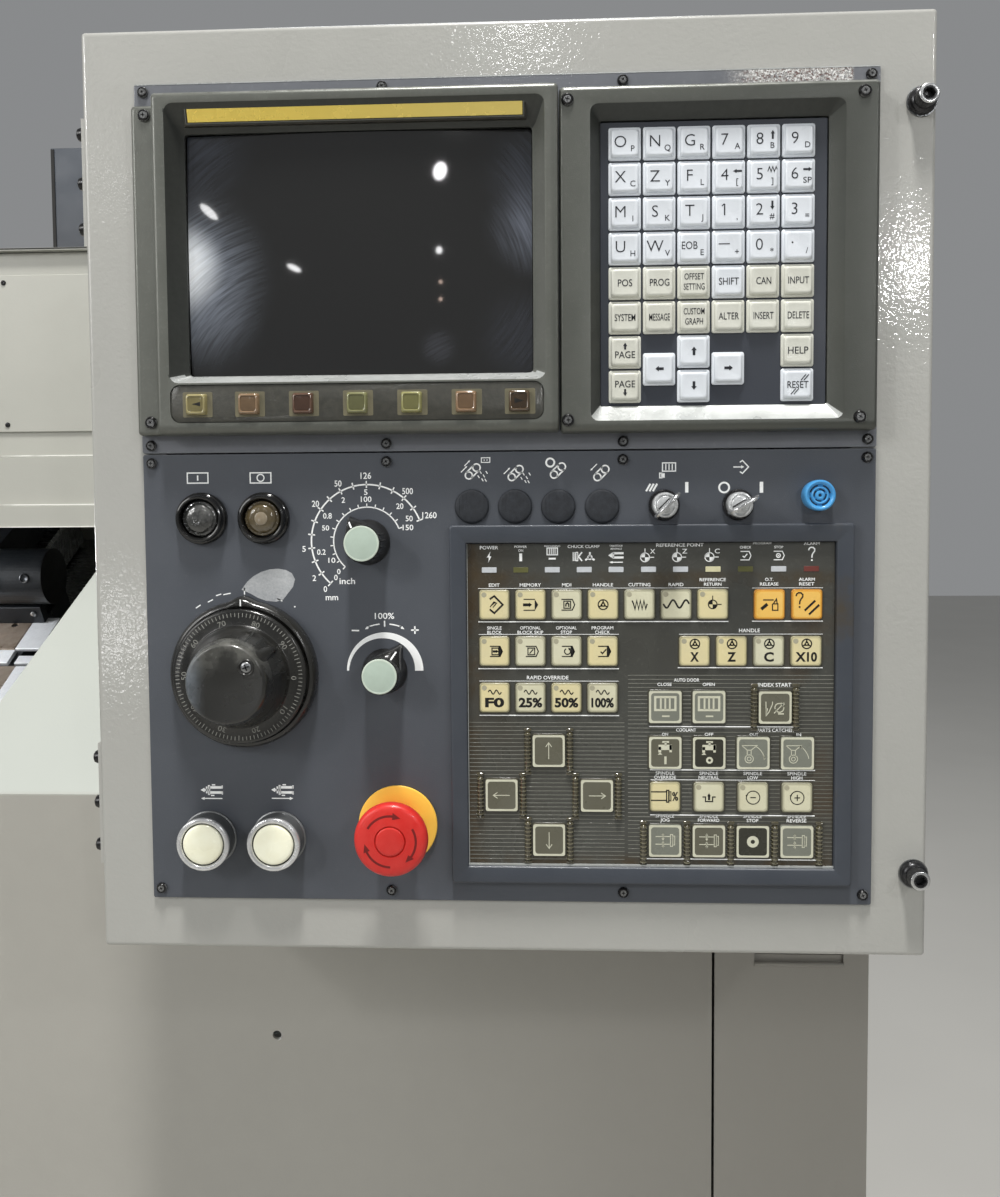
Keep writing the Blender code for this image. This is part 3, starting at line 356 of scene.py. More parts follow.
brown = m.math("MULTIPLY", m.noise(15.0, 5, 0.62, 0, 1.0, (0.44, 0.70)),
               m.ramp_axis(0, XP - 0.020, XP + 0.045, 1.0, 0.20))
m.tint(srgb(56, 48, 34), m.math("MULTIPLY", brown, 0.55))
m.tint(srgb(72, 54, 30), m.math("MULTIPLY", m.noise(20.0, 5, 0.62, 0, 0.7, (0.48, 0.70)),
                                m.ramp_axis(0, XP + 0.140, XP + 0.186)))
edge_dirt = m.math("ADD", m.ramp_axis(0, XP - 0.0215, XP - 0.0090, 1.0, 0.0),
                   m.ramp_axis(2, ZP - 0.2115, ZP - 0.2020, 1.0, 0.0))
m.tint(srgb(64, 50, 28), m.math("MULTIPLY", m.noise(60.0, 5, 0.65, 0.1, 0.85, (0.38, 0.62)), edge_dirt))
upper_dirt = m.math("MULTIPLY", m.ramp_axis(2, ZP - 0.056, ZP - 0.047), m.ramp_axis(2, ZP - 0.040, ZP - 0.046))
m.tint(srgb(66, 54, 34), m.math("MULTIPLY", m.noise(30.0, 5, 0.65, 0.0, 0.7, (0.42, 0.66)), upper_dirt))
m.mottle(420.0, 0.18, srgb(110, 110, 102), 3.0, frm=(0.58, 0.75))
m.vary_rough(26.0, 0.20, 0.42).bump(700.0, 0.00006, 0.35)
K["film"] = m
# the ribs' pale colour stands for the light caught on their tops: painted highlight
m = Mat("film_line", srgb(124, 125, 117), 0.28)
m.mottle(26.0, 0.65, srgb(80, 79, 70), 4.0).mottle(300.0, 0.3, srgb(70, 68, 58), 3.0)
K["line"] = m
m = Mat("guard_rib", srgb(62, 58, 44), 0.08, coat=1.0, spec=0.9, coat_rough=0.05)
m.mottle(200.0, 0.5, srgb(92, 86, 62), 3.0)
K["rib"] = m
# painted highlight: a lighter copy of the guard plastic for its ridges
m = Mat("guard_ridge", srgb(112, 108, 88), 0.10, coat=1.0, spec=0.8, coat_rough=0.05)
m.mottle(240.0, 0.6, srgb(78, 74, 56), 3.0)
K["ridge"] = m
m = Mat("black_moulding", srgb(24, 24, 24), 0.30, coat=0.2, coat_rough=0.12)
m.mottle(26.0, 0.35, srgb(42, 41, 38), 4.0).vary_rough(40.0, 0.20, 0.42).bump(900.0, 0.00005, 0.25)
K["black"] = m
m = Mat("black_oxide", srgb(44, 44, 45), 0.26, 0.7)
m.mottle(300.0, 0.5, srgb(80, 80, 82), 3.0).vary_rough(200.0, 0.18, 0.4)
K["oxide"] = m
m = Mat("screw_black", srgb(13, 13, 14), 0.26, 0.0)
m.mottle(300.0, 0.3, srgb(30, 30, 31), 3.0).vary_rough(200.0, 0.18, 0.36)
K["screw"] = m
m = Mat("screw_land", srgb(214, 215, 214), 0.24, 0.55)
m.mottle(400.0, 0.5, srgb(90, 90, 90), 3.0).vary_rough(300.0, 0.14, 0.34)
K["land"] = m
# bright copy for the screws' lands and lower edges: partly worn metal, partly painted highlight
m = Mat("screw_recess", srgb(128, 129, 129), 0.22, 0.5)
m.mottle(400.0, 0.5, srgb(44, 44, 44), 3.0).vary_rough(300.0, 0.16, 0.36)
K["duller"] = m
m = Mat("lock_silver", srgb(196, 198, 199), 0.26, 0.35)
m.mottle(300.0, 0.4, srgb(140, 142, 142), 3.0).vary_rough(200.0, 0.16, 0.34)
K["silver"] = m
m = Mat("title_edge", srgb(38, 36, 30), 0.32, coat=0.3)
m.mottle(200.0, 0.4, srgb(66, 62, 50), 3.0)
K["titleedge"] = m
m = Mat("wiped_steel", srgb(214, 217, 220), 0.42, 0.40)
m.mottle(60.0, 0.35, srgb(170, 172, 174), 4.0).mottle(400.0, 0.25, srgb(232, 234, 236), 3.0)
m.vary_rough(60.0, 0.30, 0.52).bump(600.0, 0.00006, 0.3)
K["wiped"] = m
# painted reflection: a bluish highlight on the cone's left side; lighter streaks on its upper part, partly rubbed wear
# and partly painted highlight
m = Mat("wheel_rubbed", srgb(37, 37, 35), 0.22, coat=0.5, coat_rough=0.12)
m.tint(srgb(120, 128, 136), m.math("MULTIPLY", m.noise(30.0, 4, 0.6, 0.15, 0.8, (0.40, 0.62)),
                                   m.ramp_axis(0, XP - 0.172, XP - 0.160, 1.0, 0.0)))
m.tint(srgb(120, 120, 114), m.math("MULTIPLY", m.noise(60.0, 5, 0.6, 0.05, 0.8, (0.44, 0.64)),
                                   m.ramp_axis(2, ZP - 0.100, ZP - 0.074)))
m.mottle(300.0, 0.35, srgb(36, 36, 34), 4.0).vary_rough(60.0, 0.14, 0.34)
K["wheelrub"] = m
m = Mat("wheel_plastic", srgb(30, 30, 29), 0.24, coat=0.35, coat_rough=0.14)
m.mottle(40.0, 0.4, srgb(52, 51, 46), 5.0).mottle(300.0, 0.2, srgb(84, 82, 74), 3.0, frm=(0.6, 0.75))
m.vary_rough(50.0, 0.16, 0.38).bump(1000.0, 0.00005, 0.3)
K["wheel"] = m
m = Mat("wheel_disc", srgb(20, 20, 19), 0.50, spec=0.25)
m.mottle(60.0, 0.4, srgb(30, 30, 27), 5.0).mottle(420.0, 0.25, srgb(52, 51, 46), 3.0, frm=(0.6, 0.75))
m.vary_rough(60.0, 0.42, 0.62).bump(1400.0, 0.00006, 0.35)
K["disc"] = m
m = Mat("ring_wall", srgb(122, 124, 125), 0.36, 0.60)
m.mottle(90.0, 0.5, srgb(84, 85, 84), 4.0, (1, 1, 1)).vary_rough(90.0, 0.28, 0.5)
K["ringwall"] = m
m = Mat("cap_rubber", srgb(34, 37, 42), 0.62)
m.mottle(260.0, 0.5, srgb(56, 60, 67), 4.0).bump(2600.0, 0.00010, 0.5)
K["plug"] = m
m = Mat("knob_rim", srgb(200, 212, 198), 0.36)
m.mottle(200.0, 0.3, srgb(178, 192, 178), 3.0)
K["knobrim"] = m
m = Mat("knob_cap", srgb(178, 194, 181), 0.42)
m.mottle(220.0, 0.25, srgb(156, 170, 156), 3.0).bump(2200.0, 0.00006, 0.4)
K["knobcap"] = m
m = Mat("ivory_cap", srgb(249, 249, 226), 0.26, coat=0.2)
m.mottle(70.0, 0.35, srgb(228, 222, 184), 4.0).vary_rough(60.0, 0.2, 0.36)
K["ivory"] = m
m = Mat("chrome_ring", srgb(222, 223, 224), 0.20, 0.62)
m.mottle(140.0, 0.35, srgb(150, 150, 148), 4.0).vary_rough(120.0, 0.12, 0.32)
m.bump(1200.0, 0.00003, 0.3)
K["chrome"] = m
m = Mat("bright_steel", srgb(206, 207, 208), 0.22, 0.85)
m.mottle(90.0, 0.4, srgb(160, 160, 158), 4.0).vary_rough(120.0, 0.14, 0.34)
K["bright"] = m
m = Mat("gloss_black", srgb(16, 16, 16), 0.24, coat=0.35, spec=0.5, coat_rough=0.10)
m.mottle(60.0, 0.4, srgb(34, 34, 33), 4.0).vary_rough(70.0, 0.08, 0.22)
K["gloss"] = m
m = Mat("satin_steel", srgb(150, 152, 154), 0.30, 1.0)
m.mottle(60.0, 0.4, srgb(96, 96, 94), 4.0).vary_rough(80.0, 0.2, 0.42)
m.bump(900.0, 0.00004, 0.4, 2.0, (1, 1, 8))
K["satin"] = m
m = Mat("stop_red", srgb(206, 40, 34), 0.34, coat=0.15)
m.mottle(26.0, 0.3, srgb(176, 34, 30), 4.0).mottle(200.0, 0.15, srgb(226, 92, 84), 3.0)
m.vary_rough(60.0, 0.28, 0.46).bump(1400.0, 0.00006, 0.35)
K["red"] = m
m = Mat("stop_groove", srgb(120, 20, 18), 0.5)
m.mottle(90.0, 0.4, srgb(80, 14, 12))
K["redline"] = m
m = Mat("ring_yellow", srgb(255, 206, 84), 0.40)
m.mottle(40.0, 0.25, srgb(246, 160, 46), 4.0).bump(1300.0, 0.00005, 0.3)
K["yellow"] = m
m = Mat("strip_yellow", srgb(244, 216, 104), 0.28, 0.22, coat=0.3)
# painted highlight: lighter towards the right end; the bright base colour is partly painted highlight as well
m.tint(srgb(244, 222, 132), m.ramp_axis(0, XP - 0.130, XP + 0.010, 0.0, 0.8))
m.mottle(30.0, 0.14, srgb(206, 170, 56), 4.0, (1, 1, 1)).vary_rough(90.0, 0.18, 0.34)
m.bump(500.0, 0.00004, 0.3, 2.0, (1, 1, 6))
K["strip"] = m
m = Mat("white_ink", srgb(250, 252, 251), 0.5)
m.mottle(300.0, 0.12, srgb(214, 216, 216), 3.0)
K["ink"] = m
m = Mat("worn_ink", srgb(148, 148, 142), 0.5)
m.mottle(300.0, 0.5, srgb(92, 92, 87), 4.0)
K["worn"] = m
m = Mat("key_ink", srgb(22, 24, 32), 0.5)
m.mottle(300.0, 0.2, srgb(38, 40, 48))
K["keyink"] = m
m = Mat("black_ink", srgb(15, 15, 14), 0.45)
m.mottle(300.0, 0.2, srgb(34, 32, 29))
K["blackink"] = m
m = Mat("sounder_blue", srgb(66, 146, 206), 0.28, coat=0.3)
m.mottle(80.0, 0.3, srgb(92, 168, 214), 3.0)
K["blue"] = m
m = Mat("sounder_slot", srgb(14, 34, 62), 0.5)
m.mottle(80.0, 0.3, srgb(20, 44, 70))
K["bluedark"] = m
m = Mat("lens_smoke", srgb(40, 41, 40), 0.10, coat=0.8, spec=0.8)
m.mottle(130.0, 0.6, srgb(112, 112, 110), 4.0, frm=(0.44, 0.70)).bump(500.0, 0.0002, 0.5)
K["lens"] = m
m = Mat("lens_amber", srgb(78, 68, 48), 0.12, coat=0.8, spec=0.7)
m.mottle(120.0, 0.6, srgb(102, 90, 62), 4.0).bump(500.0, 0.0002, 0.5)
K["amber"] = m
m = Mat("lens_core", srgb(136, 126, 108), 0.2, coat=0.4)
m.mottle(200.0, 0.5, srgb(118, 102, 80))
K["core"] = m
for name, colour in (("soft_olive_yellow", (116, 108, 72)), ("soft_rose", (104, 84, 62)),
                     ("soft_maroon", (66, 46, 34)), ("soft_green", (94, 94, 62)),
                     ("soft_lime", (108, 106, 66)), ("soft_tan", (104, 82, 60)),
                     ("soft_brown", (58, 44, 28))):
    m = Mat(name, srgb(*colour), 0.12, coat=0.7, spec=0.6)
    m.mottle(160.0, 0.45, tuple(c * 0.6 for c in srgb(*colour)), 3.0)
    K[name] = m
    # lighter, glossier copies of each colour for the caps' sides and rounded shoulders: painted highlight
    rim = tuple(min(255, c * 1.25 + 12) for c in colour)
    m = Mat(name + "_rim", srgb(*rim), 0.10, coat=0.9, spec=0.7)
    m.mottle(200.0, 0.35, srgb(*colour), 3.0)
    K[name + "_rim"] = m
m = Mat("soft_label", srgb(104, 100, 82), 0.3)
m.mottle(120.0, 0.5, srgb(128, 122, 98))
K["softlabel"] = m
m = Mat("led_white", srgb(196, 200, 204), 0.3)
m.mottle(300.0, 0.3, srgb(168, 172, 178))
K["led"] = m
m = Mat("led_olive", srgb(96, 96, 58), 0.3)
m.mottle(300.0, 0.3, srgb(80, 80, 46))
K["ledolive"] = m
m = Mat("led_cream", srgb(208, 204, 168), 0.3)
m.mottle(300.0, 0.3, srgb(188, 180, 130))
K["ledcream"] = m
m = Mat("led_red", srgb(110, 58, 52), 0.3)
m.mottle(300.0, 0.3, srgb(90, 44, 40))
K["ledred"] = m
m = Mat("scraped", srgb(178, 181, 183), 0.55)
m.mottle(90.0, 0.6, srgb(136, 140, 144), 5.0, (1, 1, 2.2)).mottle(900.0, 0.4, srgb(200, 200, 200), 3.0)
m.bump(800.0, 0.0001, 0.5)
K["scraped"] = m
m = Mat("flaked_paint", srgb(186, 184, 178), 0.5)
m.mottle(260.0, 0.85, srgb(120, 92, 82), 5.0, frm=(0.54, 0.62)).bump(700.0, 0.0002, 0.6)
K["flaked"] = m


# ---------------------------------------------------------------- mesh building
class Shape:
    """Closed shells gathered in panel millimetres, or in row metres with panel=False."""

    def __init__(self, panel=True):
        self.v, self.f, self.mi, self.i = [], [], [], 0
        self.panel = panel

    def use(self, i):
        self.i = i
        return self

    def face(self, idx):
        self.f.append(idx)
        self.mi.append(self.i)

    def loft(self, loops, ring=False):
        n, base, k = len(loops[0]), len(self.v), len(loops)
        for lp in loops:
            self.v.extend(lp)
        for i in range(k if ring else k - 1):
            a, b = base + i * n, base + ((i + 1) % k) * n
            for j in range(n):
                jj = (j + 1) % n
                self.face((a + j, a + jj, b + jj, b + j))
        if not ring:
            self.face(tuple(range(base + n - 1, base - 1, -1)))
            self.face(tuple(range(base + (k - 1) * n, base + k * n)))
        return self

    def poly(self, pts, d0, d1):
        return self.loft([[(x, y, d0) for x, y in pts], [(x, y, d1) for x, y in pts]])

    def stroke(self, pts, wd, d0, d1, closed=False):
        n, loops = len(pts), []
        for i, p in enumerate(pts):
            a = pts[i - 1] if (i or closed) else None
            b = pts[(i + 1) % n] if (i < n - 1 or closed) else None
            dirs = []
            for s, e in ((a, p), (p, b)):
                if s is not None and e is not None:
                    v = Vector((e[0] - s[0], e[1] - s[1]))
                    if v.length > 1e-9:
                        dirs.append(v.normalized())
            if not dirs:
                continue
            t = sum(dirs, Vector((0, 0)))
            t = t.normalized() if t.length > 1e-6 else dirs[0]
            nrm = Vector((-t.y, t.x))
            side = Vector((-dirs[0].y, dirs[0].x))
            h = wd / 2 / max(0.35, nrm.dot(side))
            l, r = (p[0] + nrm.x * h, p[1] + nrm.y * h), (p[0] - nrm.x * h, p[1] - nrm.y * h)
            loops.append([(*l, d1), (*r, d1), (*r, d0), (*l, d0)])
        return self.loft(loops, ring=closed)

    def turn(self, cu, cw, profile, n=48, ring=False):
        """(radius, d) points; a radius of 0 is only for the ends."""
        pts = [(max(r, 0.01), d) for r, d in profile]
        return self.loft([circle(cu, cw, r, d, n) for r, d in pts], ring=ring)

    def make(self, name, body, mats, smooth=35, slot=None, replaces=(), location=None):
        mesh = bpy.data.meshes.new(name)
        if self.panel:
            pts = [at(*p) for p in self.v]
        else:
            pts = [tuple(p) for p in self.v]
        mesh.from_pydata(pts, [], self.f)
        mats = mats if isinstance(mats, (list, tuple)) else [mats]
        for k in mats:
            mesh.materials.append(K[k].m if isinstance(k, str) else k)
        mesh.polygons.foreach_set("material_index", self.mi)
        bm = bmesh.new()
        bm.from_mesh(mesh)
        bmesh.ops.recalc_face_normals(bm, faces=bm.faces)
        bm.to_mesh(mesh)
        bm.free()
        if smooth:
            mesh.shade_smooth()
            mesh.set_sharp_from_angle(angle=math.radians(smooth))
        obj = bpy.data.objects.new(name, mesh)
        SCENE.collection.objects.link(obj)
        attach(obj, body)
        if replaces:
            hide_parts(*replaces)
        return obj


def circle(cu, cw, r, d, n=48, start=0.0):
    return [(cu + r * math.cos(start + 2 * math.pi * i / n),
             cw + r * math.sin(start + 2 * math.pi * i / n), d) for i in range(n)]


def arc(cu, cw, r, a0, a1, n=16):
    """Points of an arc; degrees, counted from +u towards +w."""
    return [(cu + r * math.cos(math.radians(a0 + (a1 - a0) * i / n)),
             cw + r * math.sin(math.radians(a0 + (a1 - a0) * i / n))) for i in range(n + 1)]


def rrect(u0, u1, w0, w1, r, d, n=4):
    """A rounded rectangle's loop."""
    pts = []
    for cu, cw, a in ((u1 - r, w1 - r, 0), (u0 + r, w1 - r, 90), (u0 + r, w0 + r, 180),
                      (u1 - r, w0 + r, 270)):
        for i in range(n + 1):
            t = math.radians(a + 90 * i / n)
            pts.append((cu + r * math.cos(t), cw + r * math.sin(t), d))
    return pts


def sq(cu, cw, half, r, d, n=4, halfw=None):
    hw = half if halfw is None else halfw
    return rrect(cu - half, cu + half, cw - hw, cw + hw, r, d, n)


def rounded_slab(s, u0, u1, w0, w1, d0, d1, r=2.0, edge=1.0, n=4, steps=3):
    """A slab with rounded corners and a rounded front edge."""
    loops = [rrect(u0, u1, w0, w1, r, d0, n)]
    for i in range(steps + 1):
        t = HALF_PI * i / steps
        k = edge * (1 - math.cos(t))
        loops.append(rrect(u0 + k, u1 - k, w0 + k, w1 - k, max(r - k, 0.05),
                           d1 - edge + edge * math.sin(t), n))
    return s.loft(loops)


def screw_head(s, u, w, d, r=3.4, turn=20, dark=0, bright=1, flat=False):
    """A cross-recess pan head whose recess land and lower edge are bright, partly worn metal and partly painted
    highlight.
    """
    s.use(dark)
    h = 2.0 if not flat else 0.9
    s.turn(u, w, [(0.01, d + h * 0.70), (r * 0.56, d + h * 0.72), (r * 0.64, d + h * 0.96), (r * 0.74, d + h),
                  (r * 0.88, d + h * 0.78), (r, d + h * 0.25), (r, d), (0.01, d)], 24)
    # a square land round the star-shaped recess, bright: worn metal with a painted highlight
    s.use(bright)
    land = [circle(u, w, r * 0.60, z, 8, math.radians(turn)) for z in (d + h * 0.5, d + h * 0.94)]
    star = [[(u + r * k * math.cos(math.radians(turn + 45 * q)), w + r * k * math.sin(math.radians(turn + 45 * q)), z)
             for q, k in enumerate((0.46, 0.15) * 4)] for z in (d + h * 0.94, d + h * 0.5)]
    s.loft(land + star, ring=True)
    # the edge of the head on its lower side, bright: worn metal with a painted highlight
    rim = []
    for j in range(13):
        t = math.radians(turn % 60 + 200 + 15 * j)
        rim.append([(u + r * k * math.cos(t), w + r * k * math.sin(t), d + h * z)
                    for k, z in ((0.90, 0.40), (0.90, 0.80), (0.965, 0.60), (1.01, 0.30))])
    s.loft(rim)
    s.use(dark)


# ------------------------------------------------------------------- lettering
class Ink(Shape):
    """Print: generic letters, figures and symbols as thin raised prisms."""

    def __init__(self, d, thick=0.06):
        super().__init__()
        self.weight, self.extra = 1.0, 0.0
        self.d0, self.d1 = d - 0.05, d + thick
        self.words = []

    def line(self, pts, wd=0.35, closed=False):
        return self.stroke(pts, wd * self.weight, self.d0, self.d1, closed)

    def area(self, pts):
        return self.poly(pts, self.d0, self.d1)

    def ring(self, u, w, r, wd=0.35, n=28):
        return self.line([(x, y) for x, y, _ in circle(u, w, r, 0, n)], wd, True)

    def disc(self, u, w, r, n=20):
        return self.area([(x, y) for x, y, _ in circle(u, w, r, 0, n)])

    def box(self, u, w, hx, hy, wd=0.35):
        return self.line([(u - hx, w - hy), (u + hx, w - hy), (u + hx, w + hy),
                          (u - hx, w + hy)], wd, True)

    def rect(self, u, w, hx, hy):
        return self.area([(u - hx, w - hy), (u + hx, w - hy), (u + hx, w + hy),
                          (u - hx, w + hy)])

    def arrow(self, p, q, wd=0.4, head=1.6, width=1.2):
        """A line from p to q with a solid head at q."""
        v = Vector((q[0] - p[0], q[1] - p[1]))
        length = v.length
        v.normalize()
        n = Vector((-v.y, v.x))
        e = (q[0] - v.x * head, q[1] - v.y * head)
        if length > head:
            self.line([p, e], wd)
        return self.area([(q[0], q[1]), (e[0] + n.x * width / 2, e[1] + n.y * width / 2),
                          (e[0] - n.x * width / 2, e[1] - n.y * width / 2)])

    def text(self, body, u, w, h, wide=None, bold=0.0, angle=0.0, align="C"):
        """Centred on (u, w); h is the height of a capital, wide the whole width."""
        self.words.append((body, u, w, h, wide, bold, angle, align))
        return self


def set_words(inks):
    """Turns every ink's words into prisms, with one scene update for all of them."""
    made = []
    for ink in inks:
        for word in ink.words:
            body, u, w, h, wide, bold, angle, align = word
            cu = bpy.data.curves.new("word", "FONT")
            cu.body = body
            cu.size = 1.0
            cu.extrude = 0.5
            cu.offset = bold + ink.extra
            cu.resolution_u = 3
            ob = bpy.data.objects.new("word", cu)
            SCENE.collection.objects.link(ob)
            made.append((ink, word, ob))
    bpy.context.view_layer.update()
    graph = bpy.context.evaluated_depsgraph_get()
    cap = 0.729
    for ink, (body, u, w, h, wide, bold, angle, align), ob in made:
        mesh = bpy.data.meshes.new_from_object(ob.evaluated_get(graph))
        bm = bmesh.new()
        bm.from_mesh(mesh)
        bmesh.ops.remove_doubles(bm, verts=bm.verts, dist=1e-5)
        bm.verts.index_update()
        co = [v.co.copy() for v in bm.verts]
        if co:
            x0, x1 = min(c.x for c in co), max(c.x for c in co)
            k = h / cap
            kx = k if wide is None else wide / max(x1 - x0, 1e-6)
            mid = {"C": (x0 + x1) / 2, "L": x0, "R": x1}[align]
            ca, sa = math.cos(math.radians(angle)), math.sin(math.radians(angle))
            base = len(ink.v)
            for c in co:
                px, py = (c.x - mid) * kx, (c.y - cap / 2) * k
                ink.v.append((u + px * ca - py * sa, w + px * sa + py * ca,
                              ink.d1 if c.z > 0 else ink.d0))
            for f in bm.faces:
                ink.face(tuple(base + v.index for v in f.verts))
        bm.free()
        bpy.data.meshes.remove(mesh)
        cu = ob.data
        bpy.data.objects.remove(ob, do_unlink=True)
        bpy.data.curves.remove(cu)


# ================================================================ control station
ST = "station_front"
inks = []


def ink(d, thick=0.06):
    i = Ink(d, thick)
    inks.append(i)
    return i


def edge_loops(u0, u1, w0, w1, r, d_side, d_front, el, er, eb, et, steps=4, n=4):
    """Loops that round a frame's four front edges by different widths."""
    loops = []
    for i in range(steps + 1):
        t = HALF_PI * i / steps
        k, z = 1 - math.cos(t), math.sin(t)
        loops.append(rrect(u0 + el * k, u1 - er * k, w0 + eb * k, w1 - et * k, r,
                           d_side + (d_front - d_side) * z, n))
    loops.append(rrect(u0 + el + 0.3, u1 - er - 0.3, w0 + eb + 0.3, w1 - et - 0.3, r, d_front, n))
    return loops


# the folded door sheet, with its edge turned back all round
U, W, R = 238.6, 264.2, 2.6
s = Shape()
loops = [rrect(-U + 2.2, U - 2.2, -W + 2.2, W - 2.2, 0.8, -25.0),
         rrect(-U, U, -W, W, 2.2, -25.0)]
for i in range(9):
    t = HALF_PI * i / 8
    k = R * (1 - math.cos(t))
    loops.append(rrect(-U + k, U - k, -W + k, W - k, 2.2 - k * 0.6, -R + R * math.sin(t)))
loops.append(rrect(-U + R + 0.4, U - R - 0.4, -W + R + 0.4, W - R - 0.4, 0.5, 0.0))
loops.append(rrect(-194.3, 194.3, -221.3, 221.3, 2.0, 0.0))
loops.append(rrect(-194.0, 194.0, -221.0, 221.0, 2.0, -0.3))
loops.append(rrect(-194.0, 194.0, -221.0, 221.0, 2.0, -2.2))
loops.append(rrect(-U + 2.4, U - 2.4, -W + 2.4, W - 2.4, 2.0, -2.2))
s.loft(loops, ring=True)
s.make("station_door_sheet", ST, "door", slot="casing_paint", replaces=("station_door",))


def plate(name, node, u0, u1, w0, w1, hole, d0=0.4, d1=2.3):
    s = Shape()
    s.loft([rrect(u0, u1, w0, w1, 1.2, d0), rrect(u0, u1, w0, w1, 1.2, d1 - 0.4),
            rrect(u0 + 0.12, u1 - 0.12, w0 + 0.12, w1 - 0.12, 1.1, d1 - 0.12),
            rrect(u0 + 0.4, u1 - 0.4, w0 + 0.4, w1 - 0.4, 1.0, d1),
            rrect(u0 + 0.8, u1 - 0.8, w0 + 0.8, w1 - 0.8, 1.0, d1),
            rrect(*hole, 2.0, d1), rrect(*hole, 2.0, d0)], ring=True)
    return s.make(name, ST, "upper" if w0 > 0 else "plate", slot="plate_paint", replaces=(node,))


plate("upper_plate_sheet", "upper_face_plate", -207.6, 207.4, 25.9, 233.2,
      (-181.5, 20.5, 62.0, 210.0))
plate("lower_plate_sheet", "lower_face_plate", -207.4, 207.2, -233.6, 25.2,
      (-18.0, 181.0, -207.0, -30.0))

# a bright line along the top edge of the upper plate: painted highlight
s = Shape()
s.stroke([(-207.0, 232.95), (207.0, 232.95)], 0.62, 2.0, 2.42)
s.make("plate_top_edge", ST, "sill", smooth=0, slot="plate_paint")

# ------------------------------------------------------------------ display unit
s = Shape()
loops = [rrect(-194.0, 31.4, 35.6, 224.2, 2.0, 2.7)]
loops += edge_loops(-194.0, 31.4, 35.6, 224.2, 2.0, 11.6, 16.0, 2.6, 1.0, 5.2, 3.0, 5)
M0 = (-185.7, 23.6, 64.6, 217.2)
loops += [rrect(M0[0] - 0.9, M0[1] + 0.9, M0[2] - 0.9, M0[3] + 0.9, 5.2, 16.0),
          rrect(M0[0] - 0.4, M0[1] + 0.4, M0[2] - 0.3, M0[3] + 0.4, 5.0, 15.85),
          rrect(*M0, 4.8, 15.3),
          rrect(-180.6, 19.3, 67.9, 207.4, 3.4, 7.0),
          rrect(-178.3, 17.1, 69.0, 204.1, 2.4, 4.8),
          rrect(-178.3, 17.1, 69.0, 204.1, 2.4, 2.7)]
s.loft(loops, ring=True)
surround = s.make("display_surround", ST, ["bezel", "sill", "edge", "shade"], slot="bezel_plastic",
                  replaces=("display_bezel",))


def wear(obj, sill, top, back=12.0, shade=None):
    """Paints the upward faces of a sill bright (painted highlight), the upward faces of the rounded top edge a lighter
    worn and highlighted finish, and the inner slopes that face down or right dark (painted shade).
    """
    for p in obj.data.polygons:
        w, d = (p.center.z - ZP) * 1000, (YP - p.center.y) * 1000
        if p.normal.z > 0.35 and sill[0] < w < sill[1]:
            p.material_index = 1
        elif p.normal.z > 0.30 and w > top and d > back - 0.5:
            p.material_index = 2
        elif shade and (p.normal.z < -0.25 or p.normal.x > 0.25) and shade[0] < (p.center.x - XP) * 1000 < shade[1] \
                and shade[2] < w < shade[3]:
            p.material_index = 3


def carve(obj, shape, inner=0):
    """Cuts a closed shape out of a piece and keeps the result as its mesh."""
    mesh = bpy.data.meshes.new("cutter")
    mesh.from_pydata([at(*p) for p in shape.v] if shape.panel else shape.v, [], shape.f)
    bm = bmesh.new()
    bm.from_mesh(mesh)
    bmesh.ops.recalc_face_normals(bm, faces=bm.faces)
    bm.to_mesh(mesh)
    bm.free()
    tool = bpy.data.objects.new("cutter", mesh)
    SCENE.collection.objects.link(tool)
    mod = obj.modifiers.new("cut", "BOOLEAN")
    mod.operation = "DIFFERENCE"
    mod.solver = "EXACT"
    mod.object = tool
    bpy.context.view_layer.update()
    graph = bpy.context.evaluated_depsgraph_get()
    done = bpy.data.meshes.new_from_object(obj.evaluated_get(graph))
    obj.modifiers.clear()
    old, obj.data = obj.data, done
    done.name = old.name
    bpy.data.objects.remove(tool, do_unlink=True)
    bpy.data.meshes.remove(mesh)
    bpy.data.meshes.remove(old)
    obj.data.shade_smooth()
    obj.data.set_sharp_from_angle(angle=math.radians(35))
    return obj


cut = Shape()
cut.loft([rrect(-185.8, 23.0, 42.0, 63.3, 5.6, 14.5, 6), rrect(-185.8, 23.0, 42.0, 63.3, 5.6, 18.0, 6)])
carve(surround, cut)
wear(surround, (63.5, 69.4), 220.0, 12.0, (-186.2, 24.2, 64.0, 217.4))

# side flange of the display unit, with its screws
s = Shape()
loops = [rrect(-207.7, -193.9, 35.8, 219.6, 2.0, 2.7)]
loops += edge_loops(-207.7, -193.9, 35.8, 219.6, 2.0, 6.2, 8.2, 2.0, 0.1, 2.0, 2.0, 3)
s.loft(loops)
s.make("display_flange", ST, "bezel", slot="bezel_plastic")

# the bare strip over the glass, on its dark band; the band's dark colour is partly a dark border and partly painted
# shade of its downward-leaning face
s = Shape()
s.use(0)
a = [(-175.0, 206.9), (12.6, 206.9), (12.6, 216.6), (-175.0, 216.6)]


def wedge(s, u0, u1, lo, hi, thick):
    """A flat plate whose face leans between two (w, d) points."""
    (w0, d0), (w1, d1) = lo, hi
    s.loft([[(u0, w0, d0 - thick), (u1, w0, d0 - thick), (u1, w1, d1 - thick), (u0, w1, d1 - thick)],
            [(u0, w0, d0), (u1, w0, d0), (u1, w1, d1), (u0, w1, d1)]])


